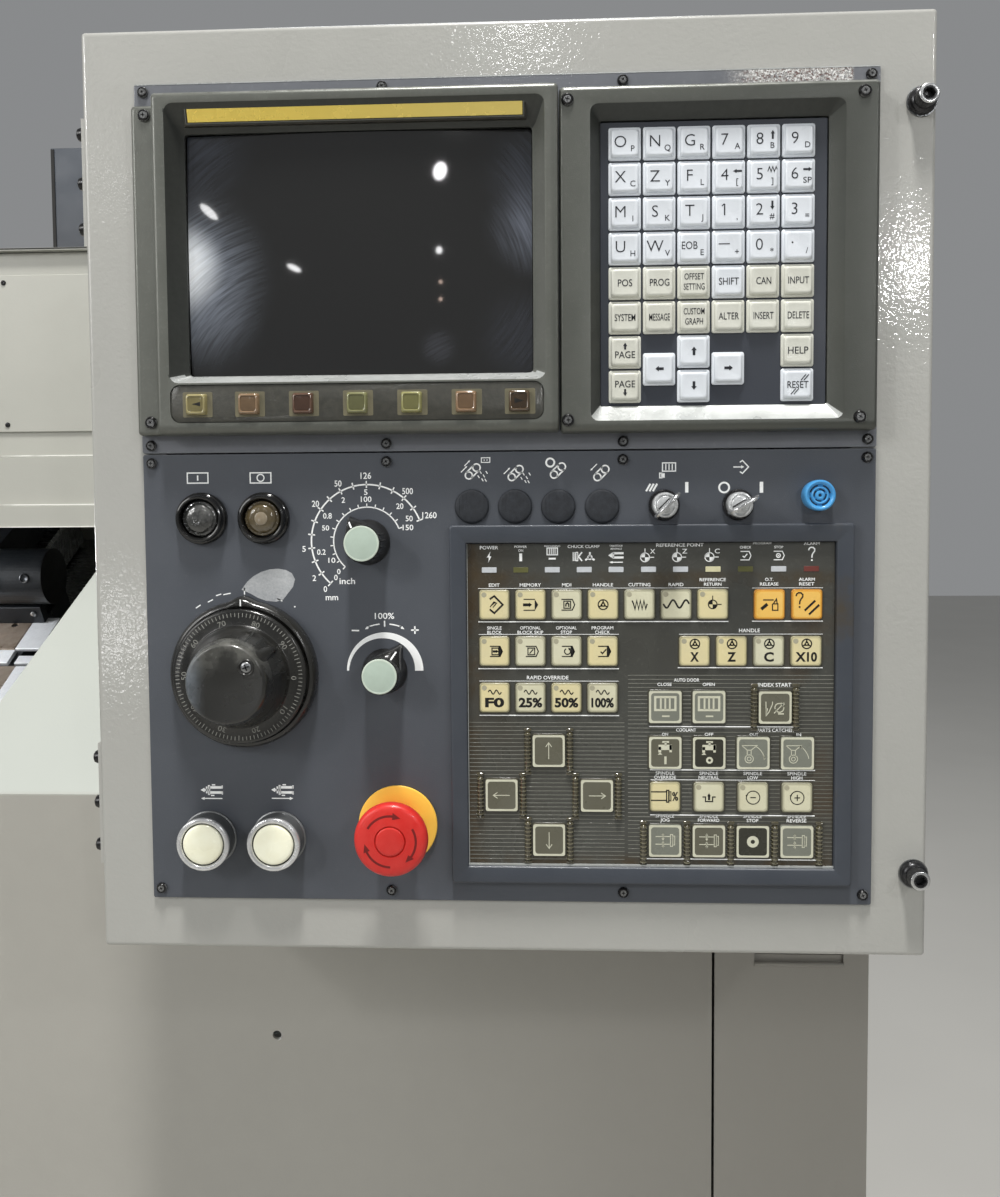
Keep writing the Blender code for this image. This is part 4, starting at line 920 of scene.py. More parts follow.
wedge(s, -176.2, 13.8, (206.4, 10.9), (217.0, 13.6), 2.6)
s.use(1)
wedge(s, -173.8, 11.9, (208.3, 11.62), (214.9, 13.35), 0.25)
s.use(2)
for u0, u1, a, b in ((-175.2, 12.9, (207.3, 11.45), (207.8, 11.58)), (-175.2, 12.9, (215.4, 13.52), (215.9, 13.65)),
                     (-175.2, -174.6, (207.3, 11.45), (215.9, 13.65)), (12.4, 12.9, (207.3, 11.45), (215.9, 13.65))):
    wedge(s, u0, u1, a, b, 0.3)
s.make("title_strip", ST, ["titleedge", "strip", "bezel"], smooth=0, slot="bezel_plastic")

# the picture tube: a bulged glass face with turned-back edges
s = Shape()
NX, NY = 44, 32
u0, u1, w0, w1 = -177.9, 16.7, 69.4, 203.6
uc, wc = (u0 + u1) / 2, (w0 + w1) / 2


def bulge(u, w):
    return 5.9 - ((u - uc) ** 2 + (w - wc) ** 2) / (2 * 1500.0)


grid = {}
for i in range(NX + 1):
    for j in range(NY + 1):
        u, w = u0 + (u1 - u0) * i / NX, w0 + (w1 - w0) * j / NY
        grid[i, j] = len(s.v)
        s.v.append((u, w, bulge(u, w)))
for i in range(NX):
    for j in range(NY):
        s.face((grid[i, j], grid[i + 1, j], grid[i + 1, j + 1], grid[i, j + 1]))
rim = ([grid[i, 0] for i in range(NX)] + [grid[NX, j] for j in range(NY)]
       + [grid[i, NY] for i in range(NX, 0, -1)] + [grid[0, j] for j in range(NY, 0, -1)])
back = []
for k in rim:
    u, w, d = s.v[k]
    back.append(len(s.v))
    s.v.append((u, w, -20.0))
for a, b in zip(range(len(rim)), list(range(1, len(rim))) + [0]):
    s.face((rim[a], back[a], back[b], rim[b]))
neck = []
for k in back:
    u, w, d = s.v[k]
    neck.append(len(s.v))
    s.v.append((uc + (u - uc) * 0.28, wc + (w - wc) * 0.36, -130.0))
for a, b in zip(range(len(rim)), list(range(1, len(rim))) + [0]):
    s.face((back[a], neck[a], neck[b], back[b]))
s.face(tuple(neck))
s.turn(uc, wc, [(0.01, -245), (13.5, -245), (15, -242), (15, -120), (0.01, -120)], 32)
s.make("display_glass", ST, "tube", slot="screen_glass", replaces=("display_tube",))

# soft keys
s = Shape()
rounded_slab(s, -185.3, 22.5, 42.5, 62.8, 14.52, 15.5, 5.1, 0.3, 6, 2)
s.make("soft_key_sheet_front", ST, "softfilm", slot="key_film", replaces=("softkey_sheet",))
SOFT = ["soft_olive_yellow", "soft_rose", "soft_maroon", "soft_green", "soft_lime", "soft_tan",
        "soft_brown"]
s = Shape()
for k, u in enumerate([-170.6, -141.0, -110.6, -80.3, -50.0, -19.8, 9.6]):
    s.use(0)
    rounded_slab(s, u - 8.2, u + 8.6, 45.2, 59.2, 15.45, 15.62, 0.7, 0.05, 2, 1)
    # the cap's sides and rounded shoulder in the lighter copy: painted highlight
    s.use(8 + k)
    c = u - 0.2
    s.loft([sq(c, 52.3, 5.9, 1.2, 15.6), sq(c, 52.3, 5.75, 1.4, 17.2), sq(c, 52.3, 5.45, 1.7, 18.3),
            sq(c, 52.3, 5.05, 1.7, 18.85), sq(c, 52.3, 4.6, 1.5, 19.0), sq(c, 52.3, 4.3, 1.4, 18.85),
            sq(c, 52.3, 4.1, 1.2, 18.45)])
    s.use(1 + k)
    s.loft([sq(c, 52.3, 4.12, 1.2, 18.3), sq(c, 52.3, 4.1, 1.2, 18.58), sq(c, 52.3, 3.6, 1.0, 18.66)])
s.make("soft_keys", ST, ["softlabel"] + SOFT + [k + "_rim" for k in SOFT], slot="key_film")
dark = ink(18.7)
dark.area([(-172.6, 52.3), (-168.0, 53.5), (-168.0, 51.1)])
dark.area([(11.8, 52.3), (6.8, 53.6), (6.8, 51.0)])

# ------------------------------------------------------------------ keyboard unit
s = Shape()
loops = [rrect(31.9, 204.6, 34.8, 222.4, 2.0, 2.7)]
loops += edge_loops(31.9, 204.6, 34.8, 222.4, 2.2, 10.0, 14.0, 1.4, 2.2, 4.4, 3.0, 5)
K0 = (49.0, 185.6, 41.4, 212.0)
loops += [rrect(K0[0] - 0.9, K0[1] + 0.9, K0[2] - 0.9, K0[3] + 0.9, 4.6, 14.0),
          rrect(K0[0] - 0.35, K0[1] + 0.35, K0[2] - 0.3, K0[3] + 0.35, 4.4, 13.85),
          rrect(*K0, 4.2, 13.3),
          rrect(54.2, 178.9, 49.5, 205.6, 1.2, 6.0),
          rrect(54.2, 178.9, 49.5, 205.6, 1.2, 2.7)]
s.loft(loops, ring=True)
wear(s.make("keyboard_surround", ST, ["bezel", "sill", "edge", "shade"], slot="bezel_plastic",
            replaces=("keyboard_bezel",)), (40.0, 49.8), 218.0, 10.0, (48.6, 186.0, 41.0, 212.4))

s = Shape()
rounded_slab(s, 54.5, 178.5, 49.8, 205.2, 2.8, 4.6, 1.0, 0.2, 2, 1)
COLS = [67.9 + 18.93 * i for i in range(6)]
ROWS = [192.9 - 18.94 * j for j in range(8)]
MID = (ROWS[6] + ROWS[7]) / 2


def cap(s, u, w, half=8.92, top=7.15, base=4.55):
    s.loft([sq(u, w, half, 1.3, base), sq(u, w, half, 1.3, base + 1.15),
            sq(u, w, half - 0.22, 1.2, base + 1.40), sq(u, w, half - 0.9, 1.0, base + 1.55),
            sq(u, w, top + 0.62, 1.3, base + 1.75), sq(u, w, top + 0.30, 1.5, base + 2.9),
            sq(u, w, top, 1.7, base + 3.45), sq(u, w, top - 0.45, 1.7, base + 3.72),
            sq(u, w, top - 1.1, 1.5, base + 3.78), sq(u, w, top - 1.6, 1.3, base + 3.70)])


KEY_TOP = 4.55 + 3.70
BEIGE = {(r, c) for r in (4, 5) for c in range(6)} - {(4, 3)}
for r in range(6):
    for c in range(6):
        s.use(2 if (r, c) in BEIGE else 1)
        cap(s, COLS[c], ROWS[r])
for u, w, k in ((COLS[0], ROWS[6], 2), (COLS[0], ROWS[7], 2), (COLS[2], ROWS[6], 1),
                (COLS[2], ROWS[7], 1), (COLS[1], MID, 1), (COLS[3], MID, 1),
                (COLS[5], ROWS[6], 2), (COLS[5], ROWS[7], 1)):
    s.use(k)
    cap(s, u, w)
s.make("keyboard_keys", ST, ["kbfilm", "white_key", "beige_key"], slot="key_sheet",
       replaces=("keyboard_key_sheet",))

# key legends: thin strokes
kl = ink(KEY_TOP, 0.12)
MAIN = [("O", "P"), ("N", "Q"), ("G", "R"), ("7", "A"), ("8", "B"), ("9", "D"),
        ("X", "C"), ("Z", "Y"), ("F", "L"), ("4", "["), ("5", "]"), ("6", "SP"),
        ("M", "I"), ("S", "K"), ("T", "J"), ("1", ","), ("2", "#"), ("3", "="),
        ("U", "H"), ("W", "V"), ("EOB", "E"), ("", "+"), ("0", "*"), ("", "/")]
for k, (a, b) in enumerate(MAIN):
    u, w = COLS[k % 6], ROWS[k // 6]
    if a:
        kl.text(a, u - 2.5, w + 0.9, 4.4 if a == "EOB" else 6.6, 8.6 if a == "EOB" else None,
                -0.002 if a == "EOB" else -0.010)
    if b:
        kl.text(b, u + 4.3, w - 3.0, 3.3, 4.6 if b == "SP" else None, 0.0)
kl.line([(COLS[3] - 4.0, ROWS[2] + 2.7), (COLS[3] - 2.6, ROWS[2] + 3.9)], 0.5)
u, w = COLS[3], ROWS[3]
kl.line([(u - 5.6, w + 1.2), (u + 0.4, w + 1.2)], 0.5)
u = COLS[5]
kl.disc(u - 3.5, w + 1.3, 0.5)


def block_arrow(i, u, w, angle, length=4.8, wide=2.2):
    """A short fat arrow with a square tail."""
    c, n = math.cos(math.radians(angle)), math.sin(math.radians(angle))
    pts = [(length / 2, 0), (length / 2 - 1.9, wide / 2), (length / 2 - 1.9, wide * 0.24),
           (-length / 2, wide * 0.24), (-length / 2, -wide * 0.24),
           (length / 2 - 1.9, -wide * 0.24), (length / 2 - 1.9, -wide / 2)]
    i.area([(u + x * c - y * n, w + x * n + y * c) for x, y in pts])


block_arrow(kl, COLS[4] + 4.4, ROWS[0] + 2.6, 90)
block_arrow(kl, COLS[3] + 4.4, ROWS[1] + 2.4, 180)
block_arrow(kl, COLS[5] + 4.4, ROWS[1] + 2.6, 0)
block_arrow(kl, COLS[4] + 4.4, ROWS[2] + 2.6, 270)
x, y = COLS[4] + 4.4, ROWS[1] + 3.0
kl.line([(x - 2.6, y - 1.2), (x - 1.7, y + 1.3), (x - 0.8, y - 1.3), (x + 0.1, y + 1.3),
         (x + 1.0, y - 1.3), (x + 1.9, y + 1.3), (x + 2.5, y - 0.2)], 0.45)
WORDS = {(4, 0): (("POS", 8.6, 0),), (4, 1): (("PROG", 11.6, 0),),
         (4, 2): (("OFFSET", 11.6, 2.9), ("SETTING", 12.4, -2.6)), (4, 3): (("SHIFT", 11.8, 0),),
         (4, 4): (("CAN", 8.8, 0),), (4, 5): (("INPUT", 12.2, 0),),
         (5, 0): (("SYSTEM", 12.4, 0),), (5, 1): (("MESSAGE", 12.4, 0),),
         (5, 2): (("CUSTOM", 12.4, 2.9), ("GRAPH", 10.6, -2.6)), (5, 3): (("ALTER", 12.0, 0),),
         (5, 4): (("INSERT", 11.8, 0),), (5, 5): (("DELETE", 12.6, 0),)}
for (r, c), rows in WORDS.items():
    for word, wide, dy in rows:
        kl.text(word, COLS[c], ROWS[r] + dy, 4.0 if dy == 0 else 3.6, wide * 0.92, 0.002)
kl.text("PAGE", COLS[0], ROWS[6] - 1.4, 3.9, 11.0, 0.002)
block_arrow(kl, COLS[0], ROWS[6] + 3.2, 90, 3.8, 2.3)
kl.text("PAGE", COLS[0], ROWS[7] + 1.4, 3.9, 11.0, 0.002)
block_arrow(kl, COLS[0], ROWS[7] - 3.4, 270, 3.8, 2.3)
kl.text("HELP", COLS[5], ROWS[6] - 0.2, 4.0, 11.0, 0.002)
kl.text("RESET", COLS[5], ROWS[7], 3.9, 11.4, 0.002)
for dx, dy in ((1.6, 2.2), (3.2, 2.2), (-3.8, -5.4), (-2.2, -5.4)):
    kl.line([(COLS[5] + dx, ROWS[7] + dy), (COLS[5] + dx + 2.7, ROWS[7] + dy + 3.1)], 0.5)
block_arrow(kl, COLS[2], ROWS[6], 90, 4.6, 3.0)
block_arrow(kl, COLS[2], ROWS[7], 270, 4.6, 3.0)
block_arrow(kl, COLS[1], MID, 180, 4.6, 3.0)
block_arrow(kl, COLS[3], MID, 0, 4.6, 3.0)

# -------------------------------------------------------- screws on the front
s = Shape()
k = 0
for w in (228.6, 30.3):
    for u in (-202.3, -66.6, 67.2, 202.4):
        k += 1
        screw_head(s, u, w, 2.3, 3.1, 17 * k)
for w in (20.2, -227.6):
    for u in (-202.3, -66.8, 67.0, 202.2):
        k += 1
        screw_head(s, u, w, 2.3, 3.1, 29 * k + 11)
for u, w, d in ((-199.8, 213.8, 8.1), (-199.8, 43.1, 8.1), (36.4, 214.6, 13.9),
                (195.6, 215.3, 13.9), (194.6, 41.8, 13.9), (36.2, 41.6, 13.9)):
    k += 1
    screw_head(s, u, w, d, 3.5, 37 * k)
for w in (209.7, 181.8, 155.9, -152.7, -179.5, -205.2):
    # the hinge's screws, seen edge on along the door's left side
    c = -8.2
    base = len(s.v)
    loops = [[(-238.4 - x, w + r * math.cos(2 * math.pi * j / 16),
               c + r * math.sin(2 * math.pi * j / 16)) for j in range(16)]
             for r, x in ((3.9, 0.0), (3.9, 4.6), (3.4, 5.9), (2.0, 6.8), (0.01, 7.0))]
    s.use(0)
    s.loft(loops)
s.make("station_screws", ST, ["screw", "duller"], slot="black_plastic")

# socket-head bolts with their washers
def hexagon(cu, cw, r, d, n=42):
    pts = []
    for i in range(n):
        a = 2 * math.pi * i / n
        k = math.cos(math.pi / 6) / math.cos(a % (math.pi / 3) - math.pi / 6)
        pts.append((cu + r * k * math.cos(a), cw + r * k * math.sin(a), d))
    return pts


for label, u, w in (("upper", 230.1, 214.0), ("lower", 231.1, -215.8)):
    s = Shape()
    s.use(0)
    ring = [circle(u, w, r, d, 42) for r, d in
            ((0.01, -17.0), (3.1, -17.0), (3.1, 0.5), (7.3, 0.5), (7.6, 0.9), (7.6, 2.6),
             (6.6, 4.4), (5.6, 4.9), (5.6, 12.0), (5.35, 12.7), (4.8, 13.0))]
    s.loft(ring + [hexagon(u, w, 3.2, 13.0), hexagon(u, w, 3.1, 12.8), hexagon(u, w, 3.0, 8.6),
                   hexagon(u, w, 0.02, 8.2)])
    s.use(2)
    s.turn(u, w, [(3.85, 12.6), (3.85, 13.06), (4.7, 13.08), (5.05, 12.98), (5.35, 12.78), (5.35, 12.4)], 42, ring=True)
    s.use(1)
    s.turn(u, w, [(7.65, 0.15), (8.3, 0.15), (8.3, 1.2), (7.65, 1.2)], 36, ring=True)
    s.make("socket_bolt_" + label, ST, ["oxide", "satin", "bright"], slot="black_plastic",
           replaces=("station_bolt_" + label,))

# ------------------------------------------------------------- machine key frame
s = Shape()
loops = [rrect(-31.0, 194.7, -221.3, -16.3, 1.6, 2.6)]
loops += edge_loops(-31.0, 194.7, -221.3, -16.3, 1.6, 6.6, 7.6, 1.0, 1.0, 1.0, 1.0, 3)
loops += [rrect(-22.3, 185.8, -212.5, -25.6, 0.8, 7.6),
          rrect(-21.8, 185.3, -212.0, -26.1, 0.7, 7.35),
          rrect(-21.5, 185.0, -211.6, -26.4, 0.6, 6.8),
          rrect(-21.5, 185.0, -211.6, -26.4, 0.6, 2.6)]
s.loft(loops, ring=True)
s.make("operator_key_frame", ST, "frame", slot="plate_paint", replaces=("operator_frame",))
# a bright line along the film's lower edge and a thin one up its left edge: painted highlight where the frame's inner
# edge catches the light
s = Shape()
s.stroke([(-21.4, -211.0), (185.0, -211.0)], 1.1, 4.3, 5.6)
s.stroke([(-21.1, -211.0), (-21.1, -27.0)], 0.35, 4.3, 5.2)
s.make("film_lower_edge", ST, "sill", slot="plate_paint")

s = Shape()
s.use(0)
rounded_slab(s, -21.2, 184.8, -211.3, -26.7, 2.7, 4.2, 0.5, 0.2, 2, 1)
FILM = 4.2
ROW_A = [(-5.8 + 20.47 * i, -61.4) for i in range(7)]
ORANGE = [(148.4, -61.6), (169.1, -61.6)]
ROW_B = [(-5.9 + 20.4 * i, -87.9) for i in range(4)]
AXES = [(106.8 + 20.7 * i, -87.9) for i in range(4)]
ROW_C = [(-6.0 + 20.4 * i, -114.5) for i in range(4)]
R1 = [(90.5, -119.6), (115.0, -119.6), (151.9, -119.8)]
R2 = [(90.5 + 24.67 * i, -145.8) for i in range(4)]
R3 = [(90.5 + 24.67 * i, -171.1) for i in range(4)]
R4 = [(90.5 + 24.67 * i, -196.5) for i in range(4)]
ARROWS = [(24.6, -145.0), (-2.4, -170.7), (51.9, -170.7), (24.6, -196.5)]


def pad(s, u, w, half, top, r, halfw, edge, mid, middle):
    """A pillowed key: darker copies of its colour on the sloping edge and the band inside it, painted shade, going over
    to its own colour in the middle.
    """
    hw = halfw
    s.use(edge)
    s.loft([sq(u, w, half, r, FILM - 0.1, 4, hw), sq(u, w, half, r, top - 0.55, 4, hw),
            sq(u, w, half - 0.14, r, top - 0.30, 4, hw - 0.14),
            sq(u, w, half - 0.42, r, top - 0.14, 4, hw - 0.42),
            sq(u, w, half - 0.80, r, top - 0.06, 4, hw - 0.80)])
    s.use(mid)
    s.loft([sq(u, w, half - 0.62, r, top - 0.4, 4, hw - 0.62), sq(u, w, half - 0.66, r, top - 0.06, 4, hw - 0.66),
            sq(u, w, half - 1.0, r, top - 0.02, 4, hw - 1.0), sq(u, w, half - 1.8, r, top - 0.01, 4, hw - 1.8)])
    s.use(middle)
    s.loft([sq(u, w, half - 1.25, r, top - 0.4, 4, hw - 1.25), sq(u, w, half - 1.3, r, top - 0.02, 4, hw - 1.3),
            sq(u, w, half - 1.6, r, top, 4, hw - 1.6), sq(u, w, half - 2.4, r, top, 4, hw - 2.4)])


def slab_key(s, u, w, half, top, r, i):
    """A flat key with a small rounded edge."""
    s.use(i)
    s.loft([sq(u, w, half, r, FILM - 0.1), sq(u, w, half, r, top - 0.25),
            sq(u, w, half - 0.08, r, top - 0.08), sq(u, w, half - 0.24, r, top),
            sq(u, w, half - 0.6, r, top)])


# each pad sits in a shallow dark seat, its dark colour partly painted shadow round the key's foot
s.use(1)
for u, w in ROW_A + ORANGE + ROW_B + AXES + ROW_C + R3:
    rounded_slab(s, u - 9.1, u + 9.1, w - 8.95, w + 8.95, FILM - 0.2, FILM + 0.18, 1.6, 0.10, 3, 1)
for u, w in R1 + R2 + R4 + ARROWS:
    rounded_slab(s, u - 9.8, u + 9.8, w - 9.8, w + 9.8, FILM - 0.2, FILM + 0.18, 1.6, 0.10, 3, 1)
COOL = {ROW_A[2], ROW_A[4], ROW_A[5], ROW_B[1], ROW_B[2], AXES[2], ROW_C[1], ROW_C[3], R3[1],
        R3[2], R3[3]}
for u, w in ROW_A + ROW_B + AXES + ROW_C + R3:
    k = 3 if (u, w) in COOL else 0
    pad(s, u, w, 8.55, 5.75, 1.7, 8.45, 5 + k, 6 + k, 7 + k)
for u, w in ORANGE:
    pad(s, u, w, 8.55, 5.75, 1.7, 8.45, 11, 12, 13)
for u, w in R1 + R2 + R4 + ARROWS:
    slab_key(s, u, w, 9.25, 5.7, 1.2, 4 if (u, w) in (R2[1], R4[2]) else 2 if (u, w) in
             (R1[0], R1[1], R2[2], R2[3], R4[0], R4[3]) else 3)
s.make("operator_keys", ST, ["film", "seat", "grey_key", "olive_key", "black_key", "cream_edge",
                             "cream_mid", "cream_key", "cool_edge", "cool_mid", "cool_key",
                             "orange_edge", "orange_mid", "orange_key"], slot="key_film",
       replaces=("operator_key_sheet",))
PAD = 5.75

# ribs pressed into the film, their light colour a painted highlight of the light caught on their tops
s = Shape()
seats = ([(u, w, 9.5, 9.3) for u, w in ROW_C + R3] +
         [(u, w, 9.9, 9.9) for u, w in R1 + R2 + R4 + ARROWS])


def ribs(s, u0, u1, w0, w1, pitch):
    w = w1
    while w > w0:
        spans = [(u0, u1)]
        for cu, cw, hx, hy in seats:
            if abs(w - cw) < hy + 0.5:
                nxt = []
                for a, b in spans:
                    if cu + hx <= a or cu - hx >= b:
                        nxt.append((a, b))
                    else:
                        if cu - hx > a + 0.6:
                            nxt.append((a, cu - hx))
                        if cu + hx < b - 0.6:
                            nxt.append((cu + hx, b))
                spans = nxt
        for a, b in spans:
            s.loft([[(a, w - 0.30, FILM - 0.1), (a, w + 0.30, FILM - 0.1), (a, w + 0.22, FILM + 0.07),
                     (a, w - 0.16, FILM + 0.07)],
                    [(b, w - 0.30, FILM - 0.1), (b, w + 0.30, FILM - 0.1), (b, w + 0.22, FILM + 0.07),
                     (b, w - 0.16, FILM + 0.07)]])
        w -= pitch


ribs(s, -20.8, 67.6, -208.0, -129.0, 2.32)
ribs(s, 69.6, 184.6, -208.4, -101.8, 2.32)
s.make("film_ribs", ST, "line", smooth=0, slot="key_film")

# upright ribbed guards beside the keys
GUARDS = []
for (u, w), side in zip(ARROWS, (12.05, 12.25, 12.25, 12.05)):
    GUARDS += [(u - side, w - 0.6), (u + side, w - 0.6)]
GUARDS += [(x, -198.6) for x in (78.3, 103.0, 127.6, 152.3, 177.2)]
GUARDS += [(140.4, -119.9), (163.6, -119.9)]
s = Shape()
for u, w in GUARDS:
    top, low = w + 11.6, w - 11.6
    loops = []
    n = 12
    for i in range(23):
        t = i / 22
        z = low + (top - low) * t
        wave = 0.22 * math.cos(2 * math.pi * (z - low) / 2.2)
        end = 1.0 if 0 < i < 22 else 0.55
        h, b = (2.05 + wave) * end, (2.9 + wave * 1.3) * end
        loops.append([(u + b_ * math.cos(a) * 1.0, z, FILM - 0.2 + max(0.0, math.sin(a)) * h * 1.35)
                      for a, b_ in ((math.pi * j / (n - 1), 1.75 * (b / 2.9)) for j in range(n))])
    s.use(0)
    s.loft(loops)
    # the moulded ridges across it, lighter than the rib as a painted highlight, and its foot at each end
    s.use(1)
    for i in range(10):
        z = low + 1.4 + 2.25 * i
        row = []
        for dz, k in ((-0.34, 0.80), (-0.20, 1.0), (0.20, 1.0), (0.34, 0.80)):
            row.append([(u + 2.15 * k * math.cos(a), z + dz, FILM - 0.2 + max(0.0, math.sin(a)) * 3.25 * k)
                        for a in (math.pi * j / 10 for j in range(11))])
        s.loft(row)
    s.use(0)
    for z in (low - 0.9, top + 0.9):
        rounded_slab(s, u - 2.2, u + 2.2, z - 1.0, z + 1.0, FILM - 0.1, FILM + 1.3, 0.8, 0.5, 3, 2)
s.make("key_guards", ST, ["rib", "ridge"], smooth=50, slot="key_film")

# lamps along the top of the film
s = Shape()
LEDS = [-8.6, 9.3, 27.1, 45.1, 63.0, 81.2, 99.1, 117.2, 135.2, 153.6, 171.7]
for k, u in enumerate(LEDS):
    s.use({1: 1, 8: 1, 7: 2, 10: 3}.get(k, 0))
    rounded_slab(s, u - 4.2, u + 4.2, -43.2, -40.2, FILM - 0.1, FILM + 0.2, 0.3, 0.08, 2, 1)
s.make("lamp_windows", ST, ["led", "ledolive", "ledcream", "ledred"], slot="key_film")

# ------------------------------------------------------------------- handwheel
HU, HW = -149.9, -100.8
s = Shape()
s.use(0)
loops = []
N = 96


def hw_base(r, d, tab=0.0):
    pts = []
    for i in range(N):
        a = 2 * math.pi * i / N
        off = abs((a - HALF_PI + math.pi) % (2 * math.pi) - math.pi)
        k = max(0.0, 1 - off / 0.22)
        rr = r + 0.8 * tab * k * k * (3 - 2 * k)
        pts.append((HU + rr * math.cos(a), HW + rr * math.sin(a), d))
    return pts


s.loft([hw_base(24.0, -38.0), hw_base(24.0, 2.4), hw_base(42.3, 2.5, 3.4), hw_base(42.4, 7.0, 3.2),
        hw_base(42.0, 9.0, 3.0), hw_base(41.2, 10.6, 2.8), hw_base(40.2, 11.4, 2.4), hw_base(39.2, 11.6, 1.2),
        hw_base(38.9, 11.2), hw_base(38.7, 10.0), hw_base(30.0, 9.6), hw_base(0.01, 9.6)])
s.make("handwheel_base", ST, "wheel", slot="black_plastic", replaces=("handwheel_housing",))
pr = ink(11.6, 0.1)
pr.line([(HU + 0.2, HW + 39.6), (HU + 0.2, HW + 43.4)], 0.75)

s = Shape()
s.use(0)
RING = 16.75            # the figured ring's face
base = len(s.f)
s.turn(HU, HW, [(0.01, 11.2), (36.2, 11.2), (36.2, 13.6), (37.9, 14.0), (38.3, 14.6), (38.3, 15.6),
                (37.9, 16.3), (37.2, 16.65), (36.6, 16.75), (36.0, RING), (29.8, RING), (29.3, 17.0),
                (28.9, 18.0), (28.7, 20.2), (28.2, 22.0), (27.2, 23.6), (26.2, 25.4), (24.2, 33.6)], 120)
s.use(3)
s.turn(HU, HW, [(0.01, 33.4), (24.2, 33.4), (23.2, 37.6), (22.6, 39.6), (21.9, 41.0), (21.2, 41.7),
                (20.7, 41.85), (20.2, 41.8)], 120)
s.use(5)
s.turn(HU, HW, [(0.01, 41.0), (20.3, 41.0), (20.3, 41.78), (19.9, 41.72), (12.0, 41.6), (0.01, 41.6)], 120)
s.use(0)
# crank boss: a round seat with its screw, and a ramp running out over the cone
bu, bw, ba = HU + 11.6, HW + 9.4, math.radians(39)
s.turn(bu, bw, [(0.01, 36.0), (4.7, 36.0), (4.6, 41.9), (4.4, 42.3), (4.0, 42.5), (3.6, 42.3),
                (3.4, 41.9), (0.01, 41.9)], 36)


def local(x, y):
    return (bu + x * math.cos(ba) - y * math.sin(ba), bw + x * math.sin(ba) + y * math.cos(ba))


loops = []
for x, half, top in ((-1.0, 4.4, 41.5), (1.6, 4.5, 41.9), (4.0, 4.4, 41.9), (6.2, 4.1, 41.2), (8.2, 3.6, 38.8),
                     (10.4, 3.0, 34.2), (12.4, 2.4, 29.2), (14.2, 1.8, 25.2)):
    row = []
    for j in range(13):
        t = -1 + 2 * j / 12
        px, py = local(x, half * t)
        row.append((px, py, top - (0.5 + 0.16 * max(0, x - 4)) * 1.5 * t * t))
    for t in (1, -1):
        px, py = local(x, half * t)
        row.append((px, py, 20.2))
    loops.append(row)
s.loft(loops)
# fine joints across the cone at the upper right
s.use(4)
for k, deg in enumerate((8, 22, 56, 68)):
    a = math.radians(deg)
    n = (-math.sin(a) * 0.28, math.cos(a) * 0.28)
    row = []
    for r, d in ((24.0, 34.4), (25.1, 29.9), (26.2, 25.4), (27.2, 23.6), (28.2, 22.0)):
        cx, cy = HU + r * math.cos(a), HW + r * math.sin(a)
        row.append([(cx - n[0], cy - n[1], d - 2), (cx + n[0], cy + n[1], d - 2),
                    (cx + n[0], cy + n[1], d + 0.18), (cx - n[0], cy - n[1], d + 0.18)])
    s.loft(row)
s.use(1)
s.turn(bu, bw, [(0.01, 41.6), (2.9, 41.6), (2.9, 42.1), (2.5, 42.5), (1.2, 42.7), (0.01, 42.7)], 28)
s.use(2)
for a in (20, 110):
    c, n = math.cos(math.radians(a)), math.sin(math.radians(a))
    s.stroke([(bu + c * 1.9, bw + n * 1.9), (bu - c * 1.9, bw - n * 1.9)], 0.8, 42.4, 42.78)
s.make("handwheel_dial", "pulse_handwheel", ["wheel", "satin", "oxide", "wheelrub", "recess", "disc"], smooth=42,
       slot="black_plastic", replaces=("handwheel",))
wheel_ink = Shape()
for k in range(100):
    a = math.radians(89.0 - 3.6 * k)
    c, n = math.cos(a), math.sin(a)
    r0 = 33.4 if k % 10 == 0 else 34.1
    lift = lambda r: RING
    pts = [(HU + c * r0, HW + n * r0), (HU + c * 36.3, HW + n * 36.3)]
    wd = 0.42
    loops = []
    for (x, y), r in zip(pts, (r0, 36.3)):
        loops.append([(x - n * wd / 2, y + c * wd / 2, lift(r) + 0.06), (x + n * wd / 2, y - c * wd / 2, lift(r) + 0.06),
                      (x + n * wd / 2, y - c * wd / 2, lift(r) - 0.1), (x - n * wd / 2, y + c * wd / 2, lift(r) - 0.1)])
    wheel_ink.loft(loops)
wheel_ink.make("handwheel_ticks", "pulse_handwheel", "worn", smooth=0, slot="black_plastic")
dial = ink(RING)
for k in range(10):
    deg = 107.0 - 36.0 * k
    a = math.radians(deg)
    value = (70 + 10 * k) % 100
    dial.text(str(value), HU + 31.5 * math.cos(a), HW + 31.5 * math.sin(a), 3.1,
              2.1 if value == 0 else 4.6, 0.0, deg - 90)

# ------------------------------------------------------------------ dial knobs


